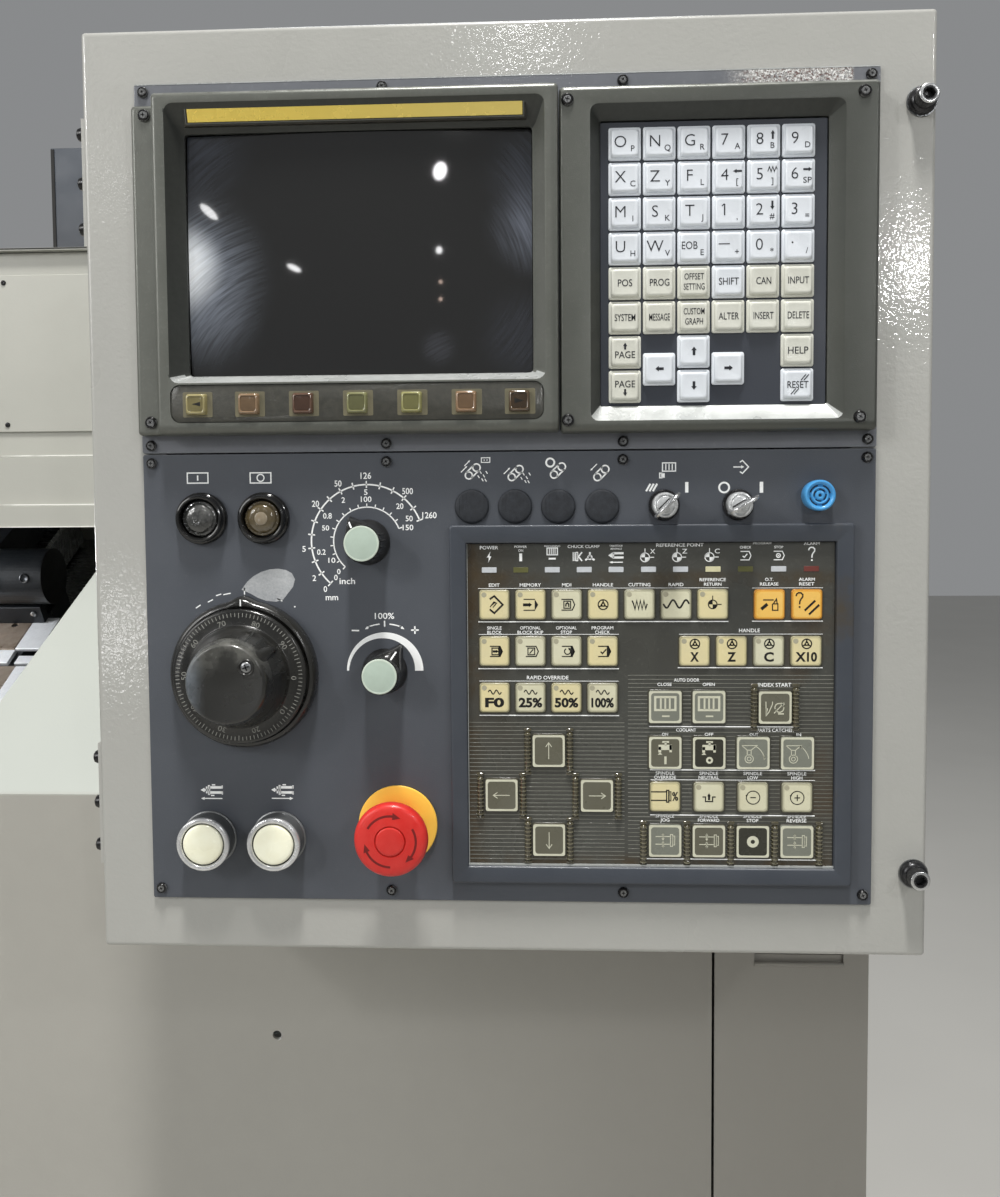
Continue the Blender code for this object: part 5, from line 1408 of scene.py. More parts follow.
def pointer_knob(name, body, node, cu, cw, degrees):
    """A round knob with a tapered pointer wing and a pale cap."""
    s = Shape()
    s.use(0)
    s.turn(cu, cw, [(0.01, 2.6), (12.9, 2.6), (13.0, 3.4), (12.4, 4.6), (11.2, 7.6), (10.6, 12.0),
                    (10.4, 21.6), (10.35, 22.8), (9.9, 23.3), (0.01, 23.3)], 56)
    a = math.radians(degrees)
    ca, sa = math.cos(a), math.sin(a)

    def p(x, y, d):
        return (cu + x * ca - y * sa, cw + x * sa + y * ca, d)

    # the wing: wide where it leaves the body, narrow at the nose, its top sloping down
    rows = []
    for x, half, top in ((3.0, 10.0, 19.6), (7.5, 7.6, 19.0), (10.5, 5.5, 18.0), (13.0, 3.7, 15.0),
                         (15.2, 2.1, 11.0), (16.8, 1.2, 7.6), (17.6, 0.8, 5.0)):
        rows.append([p(x, -half - 0.5, 2.9), p(x, -half, top - 3.2), p(x, -half * 0.80, top - 1.0),
                     p(x, -half * 0.42, top), p(x, half * 0.42, top), p(x, half * 0.80, top - 1.0),
                     p(x, half, top - 3.2), p(x, half + 0.5, 2.9)])
    s.loft(rows)
    # grip flutes at the back of the body
    for k in range(9):
        b = a + math.radians(100 + k * 20)
        s.loft([circle(cu + 10.5 * math.cos(b), cw + 10.5 * math.sin(b), 0.9, 4.6, 8),
                circle(cu + 10.3 * math.cos(b), cw + 10.3 * math.sin(b), 0.7, 21.4, 8),
                circle(cu + 10.1 * math.cos(b), cw + 10.1 * math.sin(b), 0.2, 22.2, 8)])
    s.use(3)
    s.turn(cu, cw, [(0.01, 23.1), (9.85, 23.1), (9.85, 23.8), (9.7, 24.1), (9.35, 24.2), (8.9, 24.2),
                    (8.7, 24.0), (0.01, 24.0)], 56)
    s.use(1)
    s.turn(cu, cw, [(0.01, 23.8), (8.9, 23.8), (8.8, 24.12), (8.4, 24.2), (0.01, 24.2)], 56)
    s.use(2)
    rows = []
    for x, d in ((9.2, 18.75), (10.5, 18.1), (13.0, 15.1), (14.6, 12.2)):
        rows.append([p(x, -0.45, d), p(x, 0.45, d), p(x, 0.45, d + 0.16), p(x, -0.45, d + 0.16)])
    s.loft(rows)
    s.make(name, body, ["black", "knobcap", "ink", "knobrim"], smooth=40, slot="black_plastic",
           replaces=(node,))


pointer_knob("feed_dial_knob", "feed_dial", "feed_knob", -78.0, -25.6, 127.0)
pointer_knob("override_dial_knob", "override_dial", "override_knob", -69.0, -99.5, 57.0)

# -------------------------------------------------------------- emergency stop
EU, EW = -62.5, -188.8
s = Shape()
s.turn(EU, EW, [(11.9, 2.7), (22.5, 2.7), (22.8, 3.0), (22.8, 3.9), (22.5, 4.3), (22.1, 4.4), (12.4, 4.4),
                (11.9, 4.1)], 72, ring=True)
s.make("stop_plate", ST, "yellow", slot="ring_yellow", replaces=("stop_collar",))
s = Shape()
s.use(0)
s.turn(EU, EW, [(0.01, -22.0), (11.2, -22.0), (11.2, 19.0), (14.8, 20.6), (18.6, 24.0), (20.1, 26.4),
                (20.5, 28.6), (20.5, 30.6), (20.2, 32.0), (19.6, 33.0), (18.8, 33.6), (17.6, 33.95),
                (15.6, 34.2), (9.3, 34.8), (8.75, 34.8), (8.6, 34.1), (8.3, 33.9), (8.0, 34.1),
                (7.85, 34.8), (7.4, 35.1), (6.8, 35.15), (0.01, 35.2)], 80)
s.use(1)
# three curved arrows sunk into the dome
for k in range(3):
    a0 = 150 - 120 * k
    r = 14.2
    pts = arc(0, 0, r, a0, a0 - 66, 12)
    rows = []
    for i, (x, y) in enumerate(pts):
        l = math.hypot(x, y)
        nx, ny = x / l, y / l
        wd = 0.62
        z = 34.33 - (l - 14.2) * 0.09
        rows.append([(EU + x - nx * wd, EW + y - ny * wd, z + 0.13), (EU + x + nx * wd, EW + y + ny * wd, z + 0.03),
                     (EU + x + nx * wd, EW + y + ny * wd, z - 0.5), (EU + x - nx * wd, EW + y - ny * wd, z - 0.5)])
    s.loft(rows)
    b = math.radians(a0 - 66)
    tip = math.radians(a0 - 84)
    z = 34.33
    p0 = (EU + (r - 1.9) * math.cos(b), EW + (r - 1.9) * math.sin(b))
    p1 = (EU + (r + 1.9) * math.cos(b), EW + (r + 1.9) * math.sin(b))
    p2 = (EU + r * math.cos(tip), EW + r * math.sin(tip))
    s.loft([[(*p0, z - 0.4), (*p1, z - 0.6), (*p2, z - 0.5)], [(*p0, z + 0.26), (*p1, z - 0.04), (*p2, z + 0.12)]])
s.make("stop_mushroom", "stop", ["red", "redline"], slot="stop_red", replaces=("stop_button",))

# ---------------------------------------------------- ivory buttons, chrome rings
for label, u, w, phase in (("left", -173.0, -197.5, 0.0), ("right", -132.3, -197.3, 0.7)):
    s = Shape()
    s.use(1)
    s.turn(u, w, [(12.6, 2.7), (15.9, 2.7), (15.9, 3.6), (15.2, 4.0), (15.1, 14.4), (12.6, 14.4)],
           72, ring=True)
    s.use(0)
    s.turn(u, w, [(12.25, 13.6), (15.05, 13.6), (15.3, 14.2), (15.3, 15.6), (15.0, 16.2), (14.5, 16.5),
                  (13.4, 16.5), (12.75, 16.3), (12.3, 15.7)], 72, ring=True)
    s.use(2)
    s.turn(u, w, [(11.5, 13.0), (12.4, 13.0), (12.4, 15.0), (11.5, 15.0)], 72, ring=True)
    s.make("chrome_ring_" + label, ST, ["chrome", "ringwall", "recess"], slot="chrome",
           replaces=("push_ring_" + label,))
    s = Shape()
    s.turn(u, w, [(0.01, -18.0), (11.55, -18.0), (11.55, 14.9), (11.45, 15.9), (11.0, 16.5), (10.3, 16.75),
                  (8.0, 16.9), (4.0, 17.0), (0.01, 17.05)], 64)
    s.make("ivory_button_" + label, "push_" + label, "ivory", slot="button_ivory",
           replaces=("push_button_" + label,))

# --------------------------------------------------------- lit power buttons
for tag, node, u, w, mat in (("on", "power_button_on", -173.6, -11.5, "lens"),
                             ("off", "power_button_off", -137.6, -11.6, "amber")):
    s = Shape()
    s.turn(u, w, [(10.6, 2.4), (14.9, 2.4), (14.9, 4.6), (14.5, 5.6), (13.9, 6.0), (13.5, 6.2), (13.3, 8.2),
                  (12.9, 9.2), (12.2, 9.5), (11.5, 9.3), (11.1, 8.4), (10.8, 7.0), (10.6, 5.0)], 64, ring=True)
    s.make("power_ring_" + tag, ST, "gloss", slot="black_plastic")
    s = Shape()
    s.use(0)
    s.turn(u, w, [(0.01, -16.0), (10.2, -16.0), (10.2, 5.6), (10.0, 6.4), (9.6, 6.9), (8.6, 7.1), (8.2, 7.4),
                  (7.6, 8.3), (6.0, 9.0), (3.6, 9.4), (0.01, 9.55)], 56)
    s.use(1)
    for k in range(20):
        a = 2 * math.pi * k / 20
        c, n = math.cos(a), math.sin(a)
        s.stroke([(u + c * 8.3, w + n * 8.3), (u + c * 9.7, w + n * 9.7)], 0.5, 6.8, 7.25)
    if tag == "off":
        s.use(2)
        s.turn(u, w, [(0.01, 9.0), (3.7, 9.0), (3.7, 9.45), (3.3, 9.62), (0.01, 9.64)], 28)
    s.make("power_lens_" + tag, "power_" + tag, [mat, mat, "core"],
           slot="lens_clear" if tag == "on" else "lens_amber", replaces=(node,))

# ------------------------------------------------------- key-operated switches
for label, u, w, deg in (("left", 90.0, -5.6, 45.0), ("right", 131.2, -5.7, 30.0)):
    s = Shape()
    s.turn(u, w, [(7.3, 2.4), (8.6, 2.4), (8.8, 2.8), (8.6, 4.2), (8.2, 4.6), (7.3, 4.6)], 48, ring=True)
    s.make("lock_collar_" + label, ST, "oxide", slot="black_plastic")
    s = Shape()
    s.use(0)
    s.turn(u, w, [(0.01, -20.0), (7.1, -20.0), (7.1, 9.6), (7.05, 10.4), (6.7, 11.0), (6.1, 11.2), (5.6, 10.9),
                  (5.2, 10.5), (4.9, 10.9), (4.4, 11.1), (0.01, 11.1)], 48)
    a = math.radians(deg)
    ca, sa = math.cos(a), math.sin(a)

    def q(x, y, d):
        return (u + x * ca - y * sa, w + x * sa + y * ca, d)

    # the key: a thin bow on a blade, rounded at its ends
    s.use(2)
    t = 0.95
    rows = []
    for y, k in ((-t, 0.86), (-t * 0.82, 0.97), (-t * 0.4, 1.0), (t * 0.4, 1.0), (t * 0.82, 0.97), (t, 0.86)):
        row = []
        for x, d in ((-2.6, 10.8), (-2.6, 13.4), (-7.8, 14.4), (-9.2, 16.6), (-9.6, 20.0), (-8.8, 23.6),
                     (-6.6, 25.9), (-3.3, 26.5), (3.3, 26.5), (6.6, 25.9), (8.8, 23.6), (9.6, 20.0),
                     (9.2, 16.6), (7.8, 14.4), (2.6, 13.4), (2.6, 10.8)):
            row.append(q(x * k, y, 18.6 + (d - 18.6) * (k if d > 14 else 1)))
        rows.append(row)
    s.loft(rows)
    s.use(1)
    s.stroke([(u + ca * 4.4, w + sa * 4.4), (u - ca * 4.4, w - sa * 4.4)], 2.9, 10.9, 11.2)
    s.make("key_and_lock_" + label, "key_" + label, ["silver", "oxide", "bright"], smooth=40, slot="chrome",
           replaces=("key_switch_" + label,))

# ------------------------------------------------------- blanking plugs, sounder
s = Shape()
for u, w in ((-18.3, -5.7), (6.2, -5.8), (30.6, -6.0), (55.3, -6.1)):
    s.turn(u, w, [(0.01, 2.2), (9.7, 2.2), (9.75, 2.8), (9.5, 3.5), (9.0, 4.0), (8.2, 4.2), (5.0, 4.35),
                  (0.01, 4.4)], 48)
    for k in range(1, 9):
        x = -9.0 + 2.0 * k
        half = math.sqrt(max(0.1, 8.4 ** 2 - x * x))
        s.stroke([(u + x, w - half), (u + x, w + half)], 0.22, 4.1, 4.42)
s.make("blanking_plugs", ST, "plug", slot="black_plastic")

s = Shape()
bu, bw = 174.6, -0.8
s.use(0)
s.turn(bu, bw, [(r * 0.91 if r > 0.1 else r, d) for r, d in
                ((0.01, 2.2), (9.3, 2.2), (9.4, 6.0), (9.4, 10.6), (9.0, 11.4), (8.3, 11.7), (7.5, 11.5),
                 (6.9, 10.9), (6.5, 10.2), (5.9, 9.9), (5.4, 10.3), (5.1, 10.9), (4.7, 11.1), (4.2, 10.9),
                 (3.9, 10.2), (3.4, 9.9), (2.9, 10.3), (2.6, 10.9), (2.0, 11.1), (1.2, 11.0), (0.8, 10.2),
                 (0.01, 10.0))], 56)
s.use(1)
for r in (5.64, 3.32):
    for k in range(4):
        pts = [(bu + r * math.cos(math.radians(x)), bw + r * math.sin(math.radians(x)))
               for x in range(k * 90 + (12 if r > 5 else 40), k * 90 + (78 if r > 5 else 106), 6)]
        s.stroke(pts, 0.85, 9.9, 10.25)
s.turn(bu, bw, [(0.01, 9.9), (0.85, 9.9), (0.85, 10.3), (0.01, 10.35)], 16)
s.make("sounder", ST, ["blue", "bluedark"], slot="black_plastic")

# a pale rubbed patch above the handwheel
s = Shape()
s.poly([(-151.6, -52.6), (-148.2, -48.0), (-144.6, -44.9), (-140.0, -42.4), (-135.0, -40.9), (-130.0, -40.6),
        (-125.6, -41.3), (-122.2, -43.2), (-120.4, -46.6), (-121.6, -51.0), (-124.8, -55.0),
        (-127.4, -58.4), (-131.4, -59.6), (-137.0, -59.2), (-142.0, -57.4), (-146.6, -54.8)], 2.2, 2.36)
s.make("rubbed_patch", ST, "scraped", smooth=0, slot="plate_paint")

# ------------------------------------------------------- print on the lower plate
pl = ink(2.3)
pl.weight = 1.4
pl.extra = 0.007
FU, FW = -78.2, -25.1


def dial_point(x, y):
    return FU + (x - 632) / 16.2, FW - (y - 802) / 16.2


pl.line(arc(FU, FW, 32.3, 228.2, 21.6, 60), 0.62)
pl.line(arc(FU, FW, 19.5, 228.2, 21.6, 44), 0.5)
for k in range(16):
    a = math.radians(228.0 - 13.76 * k)
    c, n = math.cos(a), math.sin(a)
    for r0, r1, wd in ((30.4, 34.4, 0.55), (19.5, 21.5, 0.45)):
        pl.line([(FU + c * r0, FW + n * r0), (FU + c * r1, FW + n * r1)], wd)
for word, x, y, h in (("0", 232, 1242, 3.4), ("2", 130, 1140, 3.4), ("5", 38, 868, 3.4),
                      ("20", 152, 450, 3.6), ("50", 365, 265, 3.6), ("126", 625, 195, 3.7),
                      ("500", 1010, 340, 3.6), ("1260", 1210, 563, 3.6), ("0", 332, 1135, 3.2),
                      ("0.2", 200, 898, 3.2), ("0.8", 262, 563, 3.3), ("2", 412, 418, 3.3),
                      ("5", 622, 347, 3.3), ("20", 937, 478, 3.3), ("50", 1022, 592, 3.3),
                      ("0", 360, 1080, 3.0), ("10", 297, 975, 3.0), ("50", 243, 675, 3.0),
                      ("100", 625, 412, 3.2), ("150", 1010, 675, 3.2)):
    u, w = dial_point(x, y)
    pl.text(word, u, w, h, 2.05 * len(word.replace(".", "")) + (0.9 if "." in word else 0), 0.006)
u, w = dial_point(292, 1315)
pl.text("mm", u, w - 0.2, 3.6, 7.2, 0.006)
u, w = dial_point(438, 1168)
pl.text("inch", u, w, 3.6, 9.0, 0.006)

# the override dial's swelling arc, its arrows and signs
OU, OW = -69.0, -99.5
outer, inner = [], []
for k in range(41):
    a = math.radians(180 - 180 * k / 40)
    thick = 1.2 + 2.2 * min(1.0, k / 20) + 1.5 * max(0.0, (k - 20) / 20)
    outer.append((OU + 22.1 * math.cos(a), OW + 22.1 * math.sin(a)))
    inner.append((OU + (22.1 - thick) * math.cos(a), OW + (22.1 - thick) * math.sin(a)))
pl.loft([[(*o, pl.d1), (*i, pl.d1), (*i, pl.d0), (*o, pl.d0)] for o, i in zip(outer, inner)])
pl.text("100%", OU, OW + 31.7, 3.6, 11.2, 0.004)
pl.line([(OU, OW + 25.4), (OU, OW + 28.8)], 0.6)
for s0 in (-1, 1):
    pts = arc(OU, OW, 27.0, 90 - s0 * 6, 90 - s0 * 21, 6)
    pl.line(pts, 0.5)
    pl.arrow(pts[-2], (OU + s0 * 11.4, OW + 23.9), 0.5, 2.0, 1.7)
pl.line([(OU - 19.1, OW + 23.2), (OU - 14.7, OW + 23.2)], 0.6)
pl.line([(OU + 15.2, OW + 23.4), (OU + 19.6, OW + 23.4)], 0.6)
pl.line([(OU + 17.4, OW + 21.2), (OU + 17.4, OW + 25.6)], 0.6)

# power symbols
for u, w in ((-175.8, 11.7), (-139.3, 11.5)):
    pl.box(u, w, 6.0, 2.9, 0.5)
pl.line([(-175.8, 10.2), (-175.8, 13.2)], 0.6)
pl.ring(-139.3, 11.5, 2.0, 0.5)

# dashes round the handwheel's top
for x, y, a, l in ((380, 248, 34, 3.4), (490, 198, 26, 3.4), (565, 145, 18, 3.2), (640, 137, 12, 4.4),
                   (1110, 190, -26, 3.4)):
    c, n = math.cos(math.radians(a)), math.sin(math.radians(a))
    cu = -149.9 + (x - 797) / 15.33
    cw = -53.6 - (y - 115) / 15.33
    pl.line([(cu - c * l / 2, cw - n * l / 2), (cu + c * l / 2, cw + n * l / 2)], 0.45)
pl.disc(-149.9 + (1243 - 797) / 15.33, -53.6 - (252 - 115) / 15.33, 0.45)
pl.line([(-149.9, -51.4), (-149.9, -55.4)], 0.5)

# quill symbols over the ivory buttons
for u, w, way in ((-171.6, -171.1, -1), (-130.0, -170.8, 1)):
    pl.area([(u - 6.5, w + 1.6), (u - 4.2, w + 2.9), (u - 4.2, w + 0.3)])
    pl.line([(u - 4.2, w + 1.6), (u - 1.4, w + 1.6)], 0.9)
    pl.rect(u - 2.9, w + 1.6, 0.45, 2.0)
    pl.rect(u - 1.5, w + 1.6, 0.6, 2.9)
    pl.rect(u + 2.4, w + 3.1, 3.9, 0.75)
    pl.rect(u + 2.4, w + 0.1, 3.9, 0.75)
    pl.line([(u + 0.2, w + 4.6), (u + 2.2, w + 4.6)], 0.5)
    pl.line([(u + 6.3, w + 4.3), (u + 6.3, w + 2.4)], 0.5)
    pl.line([(u + 6.3, w + 0.8), (u + 6.3, w - 1.1)], 0.5)
    pl.line([(u - 0.4, w - 1.6), (u + 1.6, w - 1.6)], 0.5)
    a, b = (u - 6.3, w - 3.4), (u + 6.3, w - 3.4)
    pl.arrow(b if way < 0 else a, a if way < 0 else b, 0.45, 2.0, 1.9)


def conveyor(u, w, r1=2.1, bold=0.42):
    """Two rollers with a belt between them, rising to the right."""
    c = math.cos(math.radians(45))
    a, b = (u - 3.1 * c, w - 3.1 * c), (u + 3.1 * c, w + 3.1 * c)
    pl.ring(*a, 2.0, 0.6)
    pl.ring(*b, r1, 0.6)
    for sgn in (-1, 1):
        n = (-c * 2.1 * sgn, c * 2.1 * sgn)
        pl.line([(a[0] + n[0], a[1] + n[1]), (b[0] + n[0], b[1] + n[1])], 0.6)


for k, (u, w) in enumerate(((-17.7, 14.1), (6.6, 13.0), (30.5, 14.2), (54.9, 12.6))):
    conveyor(u, w)
    if k in (0, 1):
        pl.arrow((u - 6.6, w - 0.4), (u - 3.0, w + 3.2), 0.4, 1.3, 1.2)
        for dx, dy in ((4.6, -0.6), (6.4, -2.6), (3.4, -3.0), (5.6, -4.8), (7.4, -5.0), (8.0, -0.6)):
            pl.line([(u + dx - 0.5, w + dy + 0.8), (u + dx + 0.4, w + dy - 0.7)], 0.38)
    if k == 0:
        pl.arrow((u - 4.6, w + 3.2), (u - 1.4, w + 6.4), 0.4, 1.3, 1.2)
        pl.box(u + 7.4, w + 6.4, 2.4, 1.3, 0.35)
        pl.disc(u + 6.6, w + 6.4, 0.35, 8)
        pl.disc(u + 8.2, w + 6.4, 0.35, 8)
    if k == 2:
        pl.ring(u - 4.3, w + 4.6, 2.3, 0.75)
    if k == 3:
        pl.arrow((u - 2.4, w + 5.2), (u - 6.2, w + 1.4), 0.4, 1.3, 1.2)

# key-switch symbols
u, w = 92.8, 15.7
pl.box(u, w, 3.65, 2.3, 0.45)
for k in (-1, 0, 1):
    pl.line([(u + 1.8 * k, w - 1.7), (u + 1.8 * k, w + 1.7)], 0.4)
pl.line([(u - 3.6, w - 3.4), (u - 5.2, w - 3.4), (u - 5.2, w - 6.0), (u - 3.6, w - 6.0)], 0.5)
pl.rect(u - 3.4, w - 4.7, 1.0, 1.3)
for k in range(3):
    pl.line([(80.0 + 1.9 * k, 2.2), (82.4 + 1.9 * k, 6.4)], 0.75)
pl.line([(102.7, 1.3), (102.7, 7.2)], 1.3)
u, w = 133.6, 15.4
pl.line([(u - 1.4, w + 2.6), (u, w + 3.6), (u + 3.4, w), (u, w - 3.6), (u - 1.4, w - 2.6)], 0.5)
pl.arrow((u - 5.0, w), (u + 1.0, w), 0.5, 1.7, 1.9)
pl.ring(123.5, 4.0, 2.75, 0.75)
pl.line([(144.2, 0.9), (144.2, 7.0)], 1.4)

# ------------------------------------------------------------ print on the film
fl = ink(FILM, 0.24)
fl.weight = 1.15
fl.extra = 0.002
for pts in (((-15.0, -52.2), (125.8, -52.2)), ((-15.0, -71.2), (125.8, -71.2)),
            ((139.0, -52.4), (178.2, -52.4)), ((139.0, -71.1), (178.2, -71.1)),
            ((-15.2, -98.0), (64.5, -98.0)), ((-14.8, -78.4), (64.5, -78.4)),
            ((97.6, -97.4), (178.3, -97.4)), ((98.4, -78.4), (178.3, -78.4)),
            ((-14.7, -124.8), (64.6, -124.8)), ((-14.7, -105.1), (64.4, -105.1)),
            ((81.6, -131.0), (138.6, -131.0)), ((142.0, -131.0), (163.4, -131.0)),
            ((82.0, -155.8), (174.6, -155.8)), ((82.4, -161.5), (174.6, -161.5)),
            ((82.2, -181.8), (174.6, -181.8)), ((79.9, -207.2), (101.4, -207.2)),
            ((104.8, -207.2), (126.0, -207.2)), ((129.0, -207.2), (150.8, -207.2)),
            ((154.2, -207.2), (175.8, -207.2))):
    fl.line(list(pts), 0.20 if pts[0][1] in (-52.2, -52.4, -78.4, -105.1, -161.5) else 0.45)


def label(word, u, w, h, wide):
    fl.text(word, u, w + 0.35, h * 0.9, wide, 0.004)


A = [u for u, _ in ROW_A]
for word, u, wide in (("EDIT", A[0], 6.1), ("MEMORY", A[1], 12.0), ("MDI", A[2], 5.2),
                      ("HANDLE", A[3], 11.4), ("CUTTING", A[4], 12.3), ("RAPID", A[5], 8.3)):
    label(word, u, -50.6, 2.15, wide)
label("REFERENCE", A[6], -47.9, 2.0, 14.6)
label("RETURN", A[6], -50.5, 2.0, 9.7)
label("O.T.", 148.4, -47.9, 2.0, 4.6)
label("RELEASE", 148.4, -50.5, 2.0, 10.2)
label("ALARM", 169.2, -47.9, 2.0, 8.8)
label("RESET", 169.2, -50.5, 2.0, 8.4)
B = [u for u, _ in ROW_B]
for pair, u in ((("SINGLE", 8.2, "BLOCK", 8.2), B[0]), (("OPTIONAL", 11.6, "BLOCK SKIP", 14.6), B[1]),
                (("OPTIONAL", 11.6, "STOP", 6.4), B[2]), (("PROGRAM", 12.2, "CHECK", 8.4), B[3])):
    label(pair[0], u, -75.0, 2.05, pair[1])
    label(pair[2], u, -77.5, 2.05, pair[3])
label("HANDLE", 137.6, -76.6, 2.4, 11.6)
label("RAPID OVERRIDE", 24.2, -103.4, 2.4, 23.6)
label("AUTO DOOR", 102.6, -104.7, 2.1, 14.2)
label("CLOSE", 90.2, -107.2, 2.0, 8.0)
label("OPEN", 115.0, -107.2, 2.0, 6.8)
label("INDEX START", 151.8, -107.4, 2.4, 18.4)
label("COOLANT", 102.4, -133.2, 2.1, 11.2)
label("ON", 90.5, -135.7, 1.9, 3.4)
label("OFF", 115.2, -135.7, 1.9, 4.8)
label("PARTS CATCHER", 152.4, -133.2, 2.2, 20.6)
label("OUT", 140.4, -135.7, 1.9, 4.8)
label("IN", 165.4, -135.7, 1.9, 2.6)
for k, (word, wide) in enumerate((("OVERRIDE", 12.2), ("NEUTRAL", 11.4), ("LOW", 5.8), ("HIGH", 6.2))):
    label("SPINDLE", R3[k][0], -158.0, 2.1, 10.5)
    label(word, R3[k][0], -160.4, 2.1, wide)
for k, (word, wide) in enumerate((("JOG", 5.2), ("FORWARD", 12.0), ("STOP", 6.6), ("REVERSE", 11.0))):
    label("SPINDLE", R4[k][0], -182.6, 2.1, 10.5)
    label(word, R4[k][0], -185.0, 2.1, wide)

# lamp symbols
label("POWER", LEDS[0], -29.3, 2.25, 10.4)
u = LEDS[0]
fl.area([(u + 0.7, -31.3), (u - 1.3, -34.6), (u - 0.1, -34.6), (u - 0.5, -37.5), (u + 1.3, -33.9),
         (u + 0.2, -33.9)])
u = LEDS[1]
label("POWER", u, -28.9, 1.5, 7.0)
label("ON", u, -31.0, 1.5, 2.8)
fl.rect(u, -34.6, 0.8, 2.2)
u = LEDS[2]
label("MACHINING", u, -28.6, 1.15, 9.0)


def gate(i, u, w, hx, hy, bars, wd):
    i.box(u, w, hx - wd / 2, hy - wd / 2, wd)
    step = 2 * (hx - wd) / (bars + 1)
    for k in range(bars):
        x = u - hx + wd + step * (k + 1)
        i.line([(x, w - hy + wd * 0.8), (x, w + hy - wd * 0.8)], wd * 0.8)


gate(fl, u, -31.3, 3.2, 2.2, 4, 0.55)
fl.rect(u, -35.4, 2.0, 0.5)
label("CHUCK CLAMP", LEDS[3] - 0.3, -28.9, 1.9, 18.0)
u = LEDS[3] - 3.6
fl.line([(u - 2.6, -31.8), (u - 2.6, -36.8)], 0.45)
fl.line([(u - 1.6, -31.8), (u - 1.6, -36.8)], 0.45)
fl.box(u - 0.5, -34.3, 0.5, 2.4, 0.4)
fl.line([(u + 2.4, -31.8), (u + 0.4, -34.3), (u + 2.4, -36.8)], 0.7)
u = LEDS[3] + 3.2
for a in (90, 210, 330):
    c, n = math.cos(math.radians(a)), math.sin(math.radians(a))
    fl.line([(u + c * 0.6, -34.8 + n * 0.6), (u + c * 3.0, -34.8 + n * 3.0)], 0.9)
fl.ring(u, -34.8, 1.2, 0.5)
u = LEDS[4]
label("TAILSTOCK", u, -28.6, 1.2, 7.6)
label("ADVANCE", u, -30.3, 1.2, 6.4)
fl.area([(u - 4.4, -33.7), (u - 2.2, -32.2), (u - 2.2, -35.2)])
fl.rect(u + 1.2, -32.5, 3.0, 0.6)
fl.rect(u + 1.2, -34.9, 3.0, 0.6)
fl.rect(u - 1.6, -33.7, 0.5, 1.6)
fl.arrow((u + 3.8, -37.6), (u - 3.8, -37.6), 0.45, 1.8, 1.4)
label("REFERENCE POINT", LEDS[6] - 0.4, -28.3, 2.2, 26.4)


def quartered(i, u, w, r=2.7):
    """A circle with opposite quarters filled, on its cross lines."""
    i.ring(u, w, r - 0.2, 0.45)
    for a0 in (90, 270):
        pts = [(u, w)] + arc(u, w, r - 0.2, a0, a0 + 90, 6)
        i.area(pts)
    i.line([(u, w + r), (u, w + r + 2.3)], 0.4)
    i.line([(u + r, w), (u + r + 2.4, w)], 0.4)


for u, word in ((LEDS[5], "X"), (LEDS[6], "Z"), (LEDS[7], "C")):
    quartered(fl, u - 2.0, -34.9)
    label(word, u + 2.3, -31.8, 3.0, 2.8)
label("PROGRAM", (LEDS[8] + LEDS[9]) / 2, -27.6, 1.35, 10.0)
label("CHECK", LEDS[8], -29.8, 1.6, 6.3)
label("STOP", LEDS[9], -29.8, 1.6, 5.0)


def tape(i, u, w, inside, k=1.0, solid=False, wd=0.45):
    """A piece of tape with a pointed end, and a sign on it."""
    x0, x1, x2, h = u - 3.4 * k, u + 2.4 * k, u + 3.7 * k, 2.9 * k
    i.line([(x0, w + h), (x1, w + h), (x2, w), (x1, w - h), (x0, w - h)], wd)
    if solid:
        i.area([(x1 - 0.1, w + h), (x2 + 0.3, w), (x1 - 0.1, w - h), (x1 - 0.9, w - h), (x1 - 0.9, w + h)])
    if inside == "check":
        i.line([(u - 1.9 * k, w - 0.2 * k), (u - 0.9 * k, w - 1.2 * k), (u + 1.2 * k, w + 1.2 * k)], wd * 1.2)
    elif inside == "stop":
        i.ring(u - 0.2, w, 1.3 * k, wd * 1.1)
        i.disc(u - 0.2, w, 0.5 * k, 8)
    elif inside == "arrow":
        i.line([(u - 3.3 * k, w), (u - 0.4 * k, w)], 1.1 * k)
        i.area([(u - 0.6 * k, w + 1.0 * k), (u + 1.6 * k, w), (u - 0.6 * k, w - 1.0 * k)])
    elif inside == "hand":
        i.box(u - 0.3 * k, w, 1.8 * k, 1.9 * k, wd)
        i.line([(u - 1.1 * k, w - 1.0 * k), (u - 0.9 * k, w + 0.5 * k), (u - 0.2 * k, w + 1.0 * k),
                (u + 0.5 * k, w + 0.4 * k), (u + 0.5 * k, w - 1.2 * k)], wd * 1.3)
    elif inside == "block":
        i.box(u - 0.3 * k, w, 1.9 * k, 1.9 * k, wd)
        i.line([(u - 1.8 * k, w), (u + 0.6 * k, w)], 0.9 * k)
        i.area([(u + 0.2 * k, w + 0.9 * k), (u + 1.5 * k, w), (u + 0.2 * k, w - 0.9 * k)])
    elif inside == "slash":
        i.box(u - 0.3 * k, w, 1.9 * k, 1.9 * k, wd)
        i.line([(u - 1.3 * k, w - 1.2 * k), (u + 0.8 * k, w + 1.2 * k)], wd)
    elif inside == "round":
        i.line(arc(u - 0.2 * k, w, 1.7 * k, 60, -240, 14), wd)
        i.area([(u + 0.2 * k, w + 2.1 * k), (u + 1.7 * k, w + 1.6 * k), (u + 0.6 * k, w + 0.6 * k)])


tape(fl, LEDS[8], -34.2, "check", 0.82)
tape(fl, LEDS[9], -34.2, "stop", 0.82)
u = LEDS[10]
label("ALARM", u, -27.9, 1.7, 8.7)


